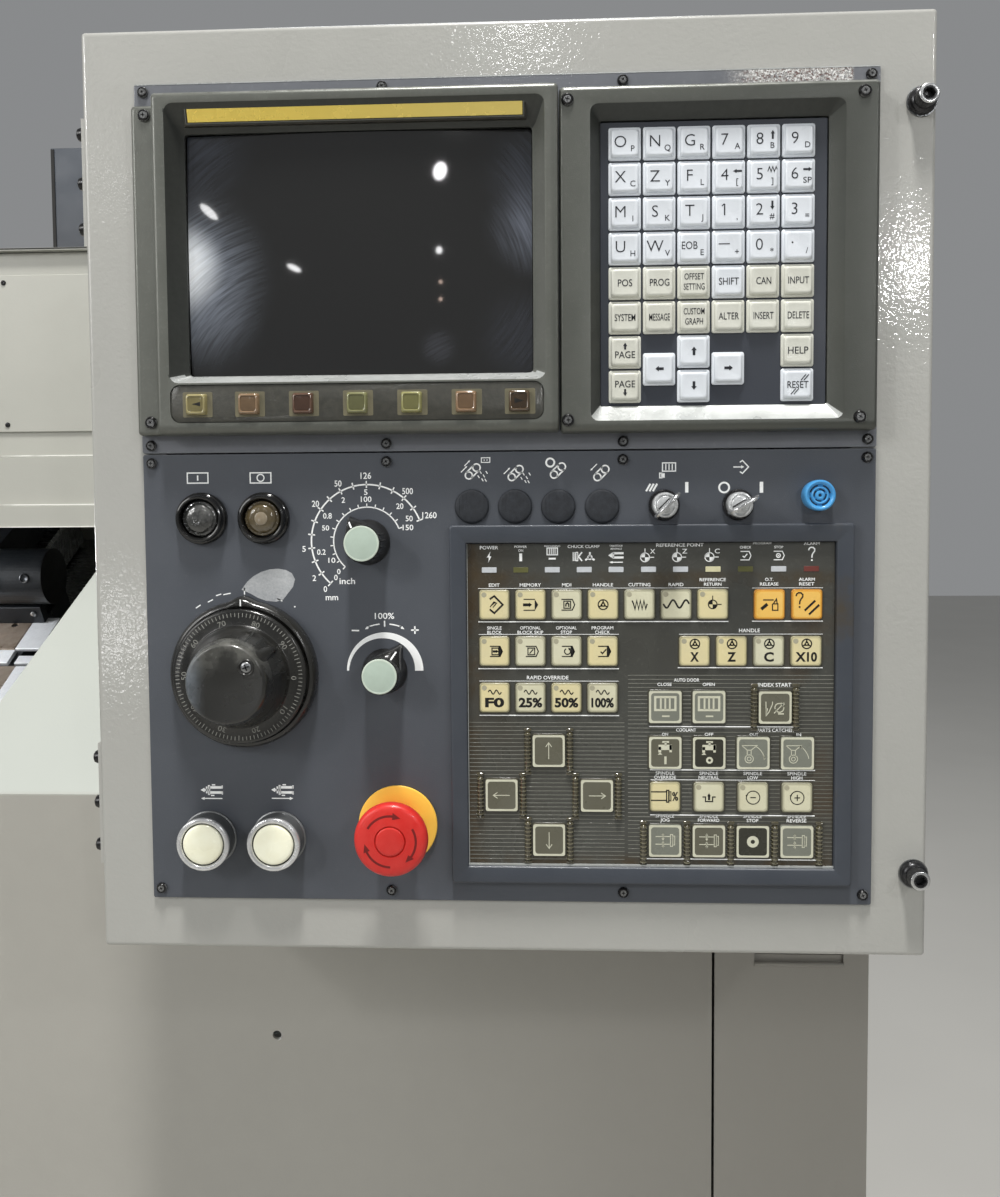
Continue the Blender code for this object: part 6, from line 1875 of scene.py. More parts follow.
def query(i, u, w, k=1.0, wd=0.7):
    i.line([(u - 1.9 * k, w + 2.0 * k), (u - 1.6 * k, w + 3.1 * k), (u - 0.6 * k, w + 3.8 * k),
            (u + 0.7 * k, w + 3.7 * k), (u + 1.6 * k, w + 2.8 * k), (u + 1.6 * k, w + 1.6 * k),
            (u + 0.7 * k, w + 0.4 * k), (u + 0.1 * k, w - 0.8 * k), (u, w - 2.4 * k)], wd)
    i.disc(u, w - 3.8 * k, 0.55 * k, 10)


query(fl, u + 0.2, -33.3, 0.95, 0.6)

# small brackets at the ends of the key guards, as pale corner marks
for x, y in ((140.6, -108.9), (163.4, -108.9)):
    fl.line([(x - 0.9, y + 0.4), (x, y + 1.3), (x + 0.9, y + 0.4)], 0.4)

# ------------------------------------------------------------- print on the keys
ky = ink(PAD)
ky.weight = 1.35
ky.extra = 0.006
kg = ink(PAD)        # grey lamp dots of the pale keys
kw = ink(PAD - 0.05)  # pale outlines and symbols of the dark keys


def wave(i, u, w, wide, high, n, wd):
    pts = [(u - wide / 2 + wide * t / 36, w + high / 2 * math.sin(2 * math.pi * n * t / 36))
           for t in range(37)]
    i.line(pts, wd)


def wheel(i, u, w, r=2.7, wd=0.45):
    i.ring(u, w, r, wd)
    i.ring(u, w, r * 0.30, wd * 0.9, 14)
    for a in (90, 210, 330):
        c, n = math.cos(math.radians(a)), math.sin(math.radians(a))
        i.line([(u + c * r * 0.3, w + n * r * 0.3), (u + c * r, w + n * r)], wd)
    for a in (90, 210, 330):
        b = a + 120
        i.line([(u + r * 0.62 * math.cos(math.radians(a)), w + r * 0.62 * math.sin(math.radians(a))),
                (u + r * 0.62 * math.cos(math.radians(b)), w + r * 0.62 * math.sin(math.radians(b)))],
               wd * 0.8)


w = ROW_A[0][1]
u = A[0]
ky.line([(u - 2.6, w + 3.2), (u, w + 5.0), (u + 4.8, w + 0.1), (u, w - 4.7), (u - 2.6, w - 2.5)], 0.75)
ky.line([(u - 2.4, w - 1.2), (u - 0.2, w + 1.7), (u + 1.3, w + 1.0), (u - 0.8, w - 1.5)], 0.4)
ky.line([(u - 1.8, w - 0.4), (u + 0.7, w + 1.6)], 0.4)
u = A[1]
ky.line([(u - 3.9, w + 3.1), (u + 2.6, w + 3.1)], 0.42)
ky.line([(u - 3.9, w - 3.1), (u + 2.6, w - 3.1)], 0.42)
ky.area([(u + 2.4, w + 3.2), (u + 4.4, w), (u + 2.4, w - 3.2)])
ky.line([(u - 4.2, w), (u - 0.4, w)], 1.2)
ky.area([(u - 0.8, w + 1.3), (u + 0.9, w), (u - 0.8, w - 1.3)])
tape(ky, A[2] + 0.6, w, "hand", 1.05)
wheel(ky, A[3], w, 2.75, 0.5)
u = A[4]
ky.line([(u - 4.2, w + 2.2), (u - 3.4, w + 0.4), (u - 2.6, w - 2.6), (u - 1.6, w + 2.2), (u - 0.6, w - 2.6),
         (u + 0.4, w + 2.2), (u + 1.4, w - 2.6), (u + 2.4, w + 2.2), (u + 3.4, w - 2.4),
         (u + 4.2, w + 0.4)], 0.55)
wave(ky, A[5], w + 0.3, 14.4, -4.4, 2, 0.72)
quartered(ky, A[6] - 0.2, w, 2.6)
u = 148.4
ky.line([(u - 3.6, w + 2.4), (u + 2.2, w + 2.4)], 0.5)
ky.line([(u - 4.6, w - 2.8), (u - 1.2, w + 0.1)], 1.3)
ky.line([(u + 1.6, w + 0.2), (u + 1.6, w - 3.4), (u + 4.6, w - 3.4), (u + 4.6, w + 0.2), (u + 1.6, w + 0.2)], 0.45)
ky.line([(u + 2.0, w + 0.2), (u + 3.8, w + 2.9), (u + 4.2, w + 0.2)], 0.45)
u = 169.2
query(ky, u - 4.2, w + 2.4, 1.05, 0.6)
ky.line([(u - 1.4, w - 3.6), (u + 4.4, w + 2.0)], 0.85)
ky.line([(u + 1.0, w - 5.8), (u + 6.6, w - 0.4)], 0.85)
w = ROW_B[0][1]
for u, sign in zip(B, ("block", "slash", "round", "check")):
    tape(ky, u + 0.8, w, sign, 1.0, sign in ("block", "round", "check"))
for (u, w), word, wide in zip(AXES, ("X", "Z", "C", "X10"), (4.8, 4.8, 5.4, 11.9)):
    wheel(ky, u + 0.2, w + 4.2, 2.65, 0.5)
    ky.text(word, u, w - 3.0, 5.2, wide, 0.030)
for (u, w), word, wide in zip(ROW_C, ("F0", "25%", "50%", "100%"), (10.9, 13.4, 13.4, 12.7)):
    wave(ky, u + 0.1, w + 3.3, 7.4, 2.3, 2, 0.45)
    ky.text(word, u, w - 2.5, 5.2, wide, 0.034)
u, w = R3[0]
ky.line([(u - 8.0, w + 3.0), (u + 0.9, w + 3.0)], 0.5)
ky.line([(u - 8.0, w - 1.9), (u + 0.9, w - 1.9)], 0.5)
ky.box(u + 1.4, w + 0.5, 0.6, 3.4, 0.5)
ky.box(u + 2.7, w + 0.5, 0.5, 2.6, 0.4)
ky.text("%", u + 5.6, w + 0.6, 5.0, 3.4, 0.02)
u, w = R3[1]
ky.line([(u - 3.7, w + 0.2), (u - 2.0, w + 0.2), (u - 2.0, w - 2.4), (u + 2.0, w - 2.4), (u + 2.0, w + 0.2),
         (u + 3.7, w + 0.2)], 0.5)
ky.arrow((u, w - 1.6), (u, w + 2.4), 0.9, 1.7, 2.0)
for k, (u, w) in enumerate(R3[2:]):
    ky.ring(u, w, 3.75, 0.38, 36)
    ky.line([(u - 1.6, w), (u + 1.6, w)], 0.42)
    if k:
        ky.line([(u, w - 1.8), (u, w + 1.8)], 0.42)
    ky.area([(u - 4.2, w + 1.4), (u - 2.9, w + 1.7), (u - 3.6, w + 0.2)])
for u, w in ROW_A + ROW_B + AXES + ROW_C + R3[1:]:
    kg.disc(u - 5.8, w + 5.7, 1.45, 18)

for u, w in R1 + R2 + R4 + ARROWS:
    kw.loft([sq(u, w, 9.1, 1.2, kw.d0, 4), sq(u, w, 9.1, 1.2, kw.d1, 4),
             sq(u, w, 7.95, 1.7, kw.d1, 4), sq(u, w, 7.95, 1.7, kw.d0, 4)], ring=True)
for u, w in R1[:2]:
    gate(kw, u, w + 2.0, 6.3, 4.3, 3, 1.25)
    kw.rect(u + 0.3, w - 5.2, 2.1, 0.45)
u, w = R1[2]
kw.line([(u - 5.2, w + 3.4), (u - 5.0, w - 4.4), (u - 3.6, w - 2.8), (u - 1.6, w + 1.8), (u - 1.5, w + 3.4)], 0.5)
kw.area([(u - 5.2, w - 0.4), (u - 4.0, w - 0.4), (u - 4.9, w - 4.6)])
kw.line(arc(u + 2.2, w, 2.4, 200, 20, 10), 0.55)
kw.line(arc(u + 2.4, w - 0.2, 2.4, 10, -150, 10), 0.55)
kw.line([(u - 0.6, w - 3.2), (u + 5.0, w + 2.8)], 0.5)
kw.area([(u + 3.0, w + 3.0), (u + 5.4, w + 2.0), (u + 3.9, w + 1.0)])
kw.rect(u + 3.2, w - 3.5, 1.6, 0.4)
for (u, w), off in ((R2[0], False), (R2[1], True)):
    kw.rect(u + 0.2, w + 6.3, 1.9, 0.5)
    kw.rect(u + 0.2, w + 5.3, 0.6, 0.9)
    kw.rect(u, w + 3.2, 3.8, 1.5)
    kw.rect(u - 3.1, w + 1.9, 0.8, 1.6)
    kw.rect(u + 3.0, w + 2.6, 0.7, 2.2)
    kw.area([(u - 4.3, w - 1.0), (u - 2.9, w + 0.4), (u - 1.6, w - 1.0)])
    if off:
        kw.ring(u + 0.2, w - 4.1, 1.4, 1.1, 18)
    else:
        kw.rect(u + 0.1, w - 4.2, 0.65, 2.2)
for (u, w), out in ((R2[2], True), (R2[3], False)):
    x = u - 2.2
    kw.line([(x - 4.2, w + 4.4), (x + 4.2, w + 4.4), (x + 1.0, w + 1.8), (x + 1.0, w - 1.4)], 0.4)
    kw.line([(x - 4.2, w + 4.4), (x - 1.2, w + 1.8), (x - 1.2, w - 1.4)], 0.4)
    kw.line([(x - 1.2, w + 1.8), (x + 1.0, w + 1.8)], 0.4)
    kw.ring(x - 0.1, w - 3.2, 2.3, 0.42)
    kw.ring(x - 0.1, w - 3.2, 1.1, 0.36, 16)
    pts = arc(u - 3.4, w - 4.6, 9.8, 64 if out else 60, 10, 10)
    kw.line(pts, 0.4)
    e = pts[-1] if out else pts[0]
    kw.disc(e[0], e[1], 0.55, 8)
    kw.line([pts[-3], pts[-1]] if out else [pts[0], pts[2]], 0.8)
for k, (u, w) in enumerate((R4[0], R4[1], R4[3])):
    kw.line([(u - 5.4, w + 2.6), (u + 3.0, w + 2.6)], 0.45)
    kw.line([(u - 5.4, w - 1.8), (u + 3.0, w - 1.8)], 0.45)
    kw.box(u + 3.6, w + 0.4, 0.6, 3.4, 0.42)
    kw.box(u + 4.9, w + 0.4, 0.5, 2.6, 0.36)
    x = u - 1.2
    up = k != 2
    kw.line([(x, w + 4.4), (x, w + 1.4)], 0.4)
    kw.line([(x, w - 0.2), (x, w - 3.8)], 0.4)
    for y, way in ((w + 3.4, 1), (w + 1.6, -1 if up else 1), (w - 0.8, 1 if not up else -1), (w - 2.8, -1)):
        kw.area([(x - 0.8, y), (x + 0.8, y), (x, y + 1.3 * way)])
u, w = R4[2]
kw.ring(u, w, 2.25, 2.1, 30)
for (u, w), deg in zip(ARROWS, (90, 180, 0, 270)):
    c, n = math.cos(math.radians(deg)), math.sin(math.radians(deg))
    kw.line([(u - c * 4.6, w - n * 4.6), (u + c * 4.2, w + n * 4.2)], 0.42)
    kw.line([(u + c * 2.4 - n * 1.7, w + n * 2.4 + c * 1.7), (u + c * 4.8, w + n * 4.8),
             (u + c * 2.4 + n * 1.7, w + n * 2.4 - c * 1.7)], 0.42)

# ================================================================ machine finishes
m = enamel("cabinet_enamel", srgb(42, 46, 52), 0.42, coat=0.08)
m.tint(srgb(64, 70, 79), m.ramp_axis(2, 1.50, 1.78, 0.0, 0.85))
K["cabinet"] = m
m = enamel("underside_enamel", srgb(70, 72, 74), 0.42)
K["underside"] = m
m = Mat("cast_iron_paint", srgb(58, 60, 62), 0.5, coat=0.05)
m.mottle(18.0, 0.5, srgb(40, 41, 42), 5.0).vary_rough(30.0, 0.4, 0.62).bump(260.0, 0.0006, 0.5, 3.0)
K["iron"] = m
m = Mat("oiled_black", srgb(40, 43, 47), 0.34, 0.5)
m.mottle(30.0, 0.5, srgb(26, 27, 29), 5.0).vary_rough(40.0, 0.22, 0.5).bump(700.0, 0.0001, 0.3)
K["oiled"] = m
m = Mat("oiled_tailstock", srgb(25, 29, 33), 0.36, 0.3)
m.mottle(40.0, 0.5, srgb(13, 14, 16), 4.0).mottle(300.0, 0.3, srgb(46, 50, 54), 3.0)
# painted shade: nearly black beyond x 0.321, where the tailstock lies in the machine's dark interior
m.tint(srgb(5, 5, 6), m.ramp_axis(0, 0.3205, 0.3215))
m.vary_rough(40.0, 0.26, 0.50).bump(700.0, 0.0002, 0.3)
K["oiled_tail"] = m
m = Mat("ground_steel", srgb(150, 152, 154), 0.26, 1.0)
m.mottle(40.0, 0.35, srgb(110, 110, 108), 4.0).vary_rough(70.0, 0.18, 0.36)
m.bump(500.0, 0.00005, 0.4, 2.0, (1, 14, 1))
K["steel"] = m
m = Mat("stained_steel", srgb(132, 120, 108), 0.40, 0.45)
m.mottle(26.0, 0.7, srgb(70, 52, 36), 5.0).mottle(120.0, 0.3, srgb(150, 146, 138), 3.0)
m.vary_rough(60.0, 0.24, 0.52).bump(400.0, 0.00010, 0.4)
K["stained"] = m
m = Mat("way_cover_steel", srgb(168, 170, 172), 0.20, 1.0)
m.mottle(14.0, 0.4, srgb(120, 118, 112), 5.0).mottle(90.0, 0.2, srgb(90, 80, 66), 4.0, frm=(0.55, 0.75))
m.vary_rough(36.0, 0.12, 0.36, (1, 12, 1)).bump(300.0, 0.00006, 0.4, 2.0, (1, 12, 1))
K["way"] = m
m = Mat("window_sheet", srgb(196, 206, 204), 0.08, trans=1.0, ior=1.5)
m.mottle(14.0, 0.3, srgb(170, 180, 174), 4.0).vary_rough(20.0, 0.05, 0.22)
K["window"] = m
m = Mat("foot_rubber", srgb(28, 28, 28), 0.7)
m.mottle(60.0, 0.4, srgb(48, 47, 44), 4.0).bump(500.0, 0.0002, 0.4)
K["rubber"] = m
m = Mat("tank_enamel", srgb(96, 98, 98), 0.42, coat=0.05)
m.mottle(14.0, 0.4, srgb(70, 66, 58), 5.0).vary_rough(30.0, 0.32, 0.58).bump(500.0, 0.00015, 0.3)
K["tank"] = m
m = Mat("rail_rub", srgb(176, 176, 168), 0.40)
m.mottle(9.0, 1.0, srgb(236, 236, 230), 4.0, (1, 1, 1), (0.42, 0.52)).vary_rough(30.0, 0.3, 0.5)
K["rubline"] = m

FINISH = {
    "base_casting": ("iron", "cast_iron", 3.0), "slant_bed": ("way", "ground_steel", 1.0),
    "headstock": ("tank", "cast_iron", 2.0), "front_lower_casing": ("casing", "casing_paint", 1.2),
    "right_front_casing": ("apron", "casing_paint", 1.2),
    "right_end_casing": ("casing", "casing_paint", 1.2),
    "headstock_casing": ("apron", "casing_paint", 1.2),
    "left_end_casing": ("casing", "casing_paint", 1.2),
    "upper_front_cover": ("cover", "cover_paint", 1.2), "access_plate": ("cover", "cover_paint", 0.8),
    "roof_and_rear_cover": ("cover", "cover_paint", 1.2),
    "electrical_cabinet": ("cabinet", "cabinet_paint", 1.2),
    "coolant_tank": ("tank", "cast_iron", 1.2),
    "station_housing": ("door", "casing_paint", 2.0), "sliding_door": ("casing", "casing_paint", 1.2),
    "door_window": ("window", "window", 0.6), "door_handle": ("black", "black_plastic", 2.0),
    "spindle": ("steel", "ground_steel", 0.6), "chuck_body": ("steel", "ground_steel", 1.2),
    "chuck_jaw_1": ("stained", "ground_steel", 0.8), "chuck_jaw_2": ("stained", "ground_steel", 0.8),
    "chuck_jaw_3": ("stained", "ground_steel", 0.8), "saddle": ("way", "ground_steel", 1.0),
    "turret_slide": ("oiled", "cast_iron", 1.2), "turret_disc": ("steel", "ground_steel", 1.0),
    "tailstock_body": ("oiled_tail", "cast_iron", 1.0), "tailstock_quill": ("steel", "ground_steel", 0.5),
    "station_hinge_upper": ("door", "casing_paint", 0.5),
    "station_hinge_lower": ("door", "casing_paint", 0.5),
    "leveling_foot_front_left": ("rubber", "black_plastic", 1.0),
    "leveling_foot_front_right": ("rubber", "black_plastic", 1.0),
    "leveling_foot_rear_left": ("rubber", "black_plastic", 1.0),
    "leveling_foot_rear_right": ("rubber", "black_plastic", 1.0),
}
for node, (key, slot_name, width) in FINISH.items():
    obj = NODES[node]
    obj.data.materials.clear()
    obj.data.materials.append(K[key].m)
    bevel = obj.modifiers.new("edge", "BEVEL")
    bevel.width = width * 0.001
    bevel.segments = 2
    bevel.limit_method = "ANGLE"
    bevel.angle_limit = math.radians(32)
    bevel.use_clamp_overlap = True
    bevel.harden_normals = True
    obj.data.shade_smooth()
    obj.data.set_sharp_from_angle(angle=math.radians(35))

# ================================================================ machine details
TILT = math.radians(30.0)


def onslope(x, s, n):
    """A point from the bed's own slope coordinates: along, up the slope, square to it."""
    return (x, Y0 + 0.140 + s * math.cos(TILT) - n * math.sin(TILT),
            0.7523 + s * math.sin(TILT) + n * math.cos(TILT))


def sblock(s, x0, x1, s0, s1, n0, n1, e=0.0006):
    """A slab lying on the slope, with chamfered upper edges."""
    s.loft([[onslope(*p) for p in ((a, c, z), (b, c, z), (b, d, z), (a, d, z))]
            for a, b, c, d, z in ((x0, x1, s0, s1, n0), (x0, x1, s0, s1, n1 - e),
                                  (x0 + e, x1 - e, s0 + e, s1 - e, n1))])


def block(s, x0, x1, y0, y1, z0, z1, e=0.0006):
    """A slab with its front edges chamfered, the front facing -Y."""
    s.loft([[(a, y, c), (b, y, c), (b, y, d), (a, y, d)]
            for a, b, c, d, y in ((x0, x1, z0, z1, y1), (x0, x1, z0, z1, y0 + e),
                                  (x0 + e, x1 - e, z0 + e, z1 - e, y0))])


def turned_to(s, origin, normal, profile, n=24):
    """(radius, height) points turned about a direction in the row frame."""
    axis = Vector(normal).normalized()
    side = axis.orthogonal().normalized()
    up = axis.cross(side)
    o = Vector(origin)
    s.loft([[tuple(o + axis * h + (side * math.cos(2 * math.pi * i / n)
                                   + up * math.sin(2 * math.pi * i / n)) * max(r, 0.00001))
             for i in range(n)] for r, h in profile])


# cover plates on the tailstock's base, with two counterbored screws
s = Shape(False)
s.use(0)
sblock(s, 0.1050, 0.2895, 0.4260, 0.4880, 0.0903, 0.0935)
plates = s.make("tailstock_cover_plate", "tailstock", ["stained", "recess"], slot="cast_iron")
cut = Shape(False)
for x, t in ((0.2700, 0.4737), (0.2300, 0.4690), (0.1500, 0.4737)):
    n_ = Vector(onslope(0, 0, 1)) - Vector(onslope(0, 0, 0))
    turned_to(cut, onslope(x, t, 0.0911), n_, [(0.0, 0.0), (0.0042, 0.0), (0.0042, 0.006), (0.0, 0.006)], 20)
carve(plates, cut)
s = Shape(False)
s.use(0)
sblock(s, 0.1050, 0.2930, 0.3990, 0.4235, 0.0903, 0.0945)
sblock(s, 0.2905, 0.3215, 0.4260, 0.4880, 0.0903, 0.0940)
sblock(s, 0.3010, 0.3215, 0.3990, 0.4130, 0.0903, 0.0942)
sblock(s, 0.3050, 0.3215, 0.3050, 0.3945, 0.0903, 0.0936)
s.use(1)
sblock(s, 0.1050, 0.3040, 0.3620, 0.3960, 0.0903, 0.0925)
sblock(s, 0.1050, 0.3040, 0.3050, 0.3610, 0.0903, 0.0925)
sblock(s, 0.1050, 0.3215, 0.3020, 0.3600, 0.0700, 0.0900)
s.use(2)
for x, t in ((0.2700, 0.4737), (0.2300, 0.4690), (0.1500, 0.4737)):
    turned_to(s, onslope(x, t, 0.0906), n_, [(0.0, 0.0), (0.0032, 0.0), (0.0032, 0.0012), (0.0, 0.0012)], 16)
s.make("tailstock_wipers", "tailstock", ["wiped", "stained", "oxide"], smooth=30, slot="ground_steel")
# clamping screws in the barrel, and the clamp strip under it
s = Shape(False)
for x, ang in ((0.3020, 150.0), (0.1500, 150.0)):
    a = math.radians(ang)
    o = onslope(x, 0.5007 + 0.0340 * math.cos(a), 0.147 + 0.0340 * math.sin(a))
    d = Vector(onslope(0, math.cos(a), math.sin(a))) - Vector(onslope(0, 0, 0))
    s.use(0)
    turned_to(s, o, d, [(0.0056, -0.004), (0.0056, 0.0008), (0.0046, 0.0014), (0.0040, 0.0008), (0.0, 0.0002)], 24)
    s.use(1)
    rim = []
    q = d.normalized()
    side = q.orthogonal().normalized()
    up = q.cross(side)
    if up.z < 0:
        up = -up
    for j in range(9):
        t = math.radians(215 + 110 * j / 8)
        rim.append([tuple(Vector(o) + q * h + (side * math.cos(t) + up * math.sin(t)) * r)
                    for r, h in ((0.0040, 0.0006), (0.0040, 0.0015), (0.0054, 0.0014), (0.0054, 0.0004))])
    s.loft(rim)
s.use(0)
sblock(s, 0.1050, 0.3060, 0.4770, 0.4890, 0.0940, 0.1170)
s.use(1)
for x in (0.118, 0.200, 0.2960):
    turned_to(s, onslope(x, 0.4770, 0.1080), Vector(onslope(0, -1, 0)) - Vector(onslope(0, 0, 0)),
              [(0.0034, -0.001), (0.0034, 0.0016), (0.0026, 0.0022), (0.0, 0.0022)], 16)
s.make("tailstock_clamps", "tailstock", ["oiled", "satin"], smooth=40, slot="cast_iron")

# the lip under the pressed slot, and a bright arc at the open hole's lower right: a painted glint
s = Shape(False)
s.use(0)
rows = []
for x in (1.0688, 1.0690, 1.1322, 1.1324):
    k = 0.3 if x in (1.0688, 1.1324) else 1.0
    rows.append([(x, Y0 + 0.0006, 0.8850), (x, Y0 - 0.0010 * k, 0.8850), (x, Y0 - 0.0018 * k, 0.8842),
                 (x, Y0 - 0.0018 * k, 0.8832), (x, Y0 - 0.0008 * k, 0.8824), (x, Y0 + 0.0006, 0.8820)])
s.loft(rows)
s.make("slot_lip", "machine", "casing", smooth=30, slot="casing_paint")
s = Shape(False)
s.use(0)
block(s, 1.0680, 1.1332, Y0 + 0.0028, Y0 + 0.0040, 0.8838, 0.8898, 0.0003)
s.make("slot_backing", "machine", "casing", smooth=0, slot="casing_paint")
s = Shape(False)
s.use(0)
rim = []
for j in range(9):
    t = math.radians(-80 + 70 * j / 8)
    rim.append([(0.7207 + r * math.cos(t), Y0 - h, 0.8250 + r * math.sin(t))
                for r, h in ((0.0032, -0.0010), (0.0032, 0.0004), (0.0041, 0.0003), (0.0043, -0.0002))])
s.loft(rim)
s.make("open_hole_rim", "machine", "bright", slot="casing_paint")

# rubbed lines where the door has run along the rails
s = Shape(False)
for z, y, h in ((1.2660, Y0 + 0.2888, 0.0005), (1.2168, Y0 + 0.2852, 0.0006), (1.1946, Y0 + 0.2835, 0.0004)):
    s.loft([[(x, y - 0.0004, z - h), (x, y - 0.0004, z + h), (x, y + 0.0012, z + h), (x, y + 0.0012, z - h)]
            for x in (-1.1400, 1.1400)])
s.make("rail_rub_lines", "machine", "rubline", smooth=0, slot="cover_paint")
# button screws of the access plate
s = Shape(False)
for x in (-0.5340, -0.3520, -0.1700, 0.0120, 0.1940, 0.3765, 0.5585):
    for z in (1.4395, 1.2976):
        s.use(0)
        turned_to(s, (x, Y0 + 0.2975, z), (0, -1, 0),
                  [(0.0, -0.001), (0.0026, -0.001), (0.0026, 0.0006), (0.0021, 0.0013), (0.0011, 0.0016), (0.0009, 0.0008),
                   (0.0, 0.0008)], 18)
s.make("access_plate_screws", "machine", ["oxide"], slot="black_plastic")
# the rubber seal round the access plate's edge and the roof's drip edge
# a thin black strip under the roof's drip edge, for the dark gap there and the shadow line under the lip: partly
# painted shadow
s = Shape(False)
s.loft([[(x, Y0 + 0.2915, 1.4712), (x, Y0 + 0.2915, 1.4722), (x, Y0 + 0.2990, 1.4722), (x, Y0 + 0.2990, 1.4712)]
        for x in (-1.1480, 1.1480)])
s.make("roof_seal", "machine", "rubber", smooth=0, slot="black_plastic")
# edge trim on the cabinet's front and side
s = Shape(False)
block(s, 0.1425, 0.1475, Y0 + 0.9030, Y0 + 0.9052, 0.1250, 1.7740, 0.0004)
s.make("cabinet_trim", "machine", "rubber", smooth=0, slot="black_plastic")

# -------------------------------------------------------------- rear cabinet door
s = Shape(False)
yd0, yd1 = 0.7245, 0.7455
x0, x1, z0, z1 = 0.1420, 1.1500, 0.1220, 1.7740
e = 0.0030
loops = []
for a, y in ((0.0, yd0), (0.0, yd1 - e), (0.0006, yd1 - e * 0.4), (0.0012, yd1 - e * 0.12), (e, yd1)):
    loops.append([(x0 + a, y, z0 + a), (x1 - a, y, z0 + a), (x1 - a, y, z1 - a), (x0 + a, y, z1 - a)])
s.loft(loops)
leaf = s.make("rear_door_leaf", "rear_cabinet_door", ["cabinet", "recess"], slot="cabinet_paint",
              replaces=("cabinet_door",))
cut = Shape(False)
for row, base_z in ((0, 1.5600), (1, 0.2200)):
    for k in range(7):
        z = base_z + 0.0220 * k
        cut.loft([[(x, yd1 - 0.0080, z + 0.0010), (x, yd1 + 0.0020, z - 0.0030), (x, yd1 + 0.0020, z + 0.0060),
                   (x, yd1 - 0.0080, z + 0.0050)] for x in (0.5200, 0.7700)])
cut.loft([[(0.1780 + a, y, 0.9000 + a), (0.2180 - a, y, 0.9000 + a), (0.2180 - a, y, 1.0400 - a), (0.1780 + a, y, 1.0400 - a)]
          for a, y in ((0.0014, yd1 - 0.0120), (0.0, yd1 - 0.0100), (0.0, yd1 + 0.0020))])
cut.loft([[(x0 + 0.003, y, z0 + 0.003), (x1 - 0.003, y, z0 + 0.003), (x1 - 0.003, y, z1 - 0.003), (x0 + 0.003, y, z1 - 0.003)]
          for y in (yd0 - 0.01, yd1 - 0.0130)])
carve(leaf, cut)
s = Shape(False)
s.use(0)
s.loft([[(0.1880 + a, y, 0.9240 + a), (0.2080 - a, y, 0.9240 + a), (0.2080 - a, y, 1.0260 - a), (0.1880 + a, y, 1.0260 - a)]
        for a, y in ((0.0, yd1 - 0.0105), (0.0, yd1 - 0.0030), (0.0006, yd1 - 0.0018), (0.0020, yd1 - 0.0012))])
s.use(1)
turned_to(s, (0.1980, yd1 - 0.0030, 0.9400), (0, 1, 0),
          [(0.0, -0.002), (0.0062, -0.002), (0.0062, 0.0022), (0.0054, 0.0026), (0.0046, 0.0022), (0.0, 0.0022)], 28)
s.make("rear_door_latch", "rear_cabinet_door", ["black", "satin"], slot="black_plastic")

# ------------------------------------------------------- sliding door's window seal
ta = math.atan(0.4983)


def onpane(x, y, z):
    return (x, Y0 - 0.012 + y * math.cos(ta) - z * math.sin(ta),
            1.0147 + 0.4983 * (-0.012 + 0.0054) + y * math.sin(ta) + z * math.cos(ta))


def pane_loop(a, b, c, d, r, z, n=5):
    return [onpane(p, q, z) for p, q, _ in rrect(a, b, c, d, r, 0, n)]


s = Shape(False)
s.loft([pane_loop(-1.0105, -0.4545, 0.0245, 0.2755, 0.012, 0.0025),
        pane_loop(-1.0110, -0.4540, 0.0240, 0.2760, 0.012, 0.0070),
        pane_loop(-1.0090, -0.4560, 0.0260, 0.2740, 0.011, 0.0098),
        pane_loop(-1.0050, -0.4600, 0.0300, 0.2700, 0.010, 0.0106),
        pane_loop(-1.0010, -0.4640, 0.0340, 0.2660, 0.009, 0.0098),
        pane_loop(-0.9995, -0.4655, 0.0355, 0.2645, 0.008, 0.0088),
        pane_loop(-0.9995, -0.4655, 0.0355, 0.2645, 0.008, 0.0060)], ring=True)
s.make("window_seal", "front_door", "rubber", slot="black_plastic")
s = Shape(False)
for z in (0.985, 0.885):
    turned_to(s, (-0.372, Y0 - 0.0120, z), (0, -1, 0),
              [(0.0, 0.0002), (0.0125, 0.0002), (0.0125, 0.0022), (0.0112, 0.0034), (0.0078, 0.0038), (0.0, 0.0038)], 32)
s.make("door_handle_seats", "front_door", "black", slot="black_plastic")
# door pull guard: a folded stiffener along the leading edge of the door
s = Shape(False)
s.use(0)
block(s, -0.3440, -0.3320, Y0 - 0.0136, Y0 - 0.0118, 0.8760, 1.0000, 0.0005)
s.make("door_edge_strip", "front_door", "rubber", smooth=0, slot="black_plastic")

# ---------------------------------------------------------------- chuck and spindle
axis = Vector((1, 0, 0))
centre = Vector(onslope(0, 0.5007, 0.147))
s = Shape(False)
s.use(0)
for k in range(3):
    a = math.radians(30 + 120 * k)
    o = centre + Vector((-0.3298, 0, 0)) + (Vector(onslope(0, math.cos(a), math.sin(a))) - Vector(onslope(0, 0, 0))) * 0.055
    turned_to(s, o, (1, 0, 0), [(0.0, -0.004), (0.0058, -0.004), (0.0058, 0.0006), (0.0050, 0.0012), (0.0032, 0.0012),
                                (0.0030, -0.0012), (0.0, -0.0012)], 24)
s.make("chuck_face_screws", "spindle_unit", "oxide", slot="black_plastic")

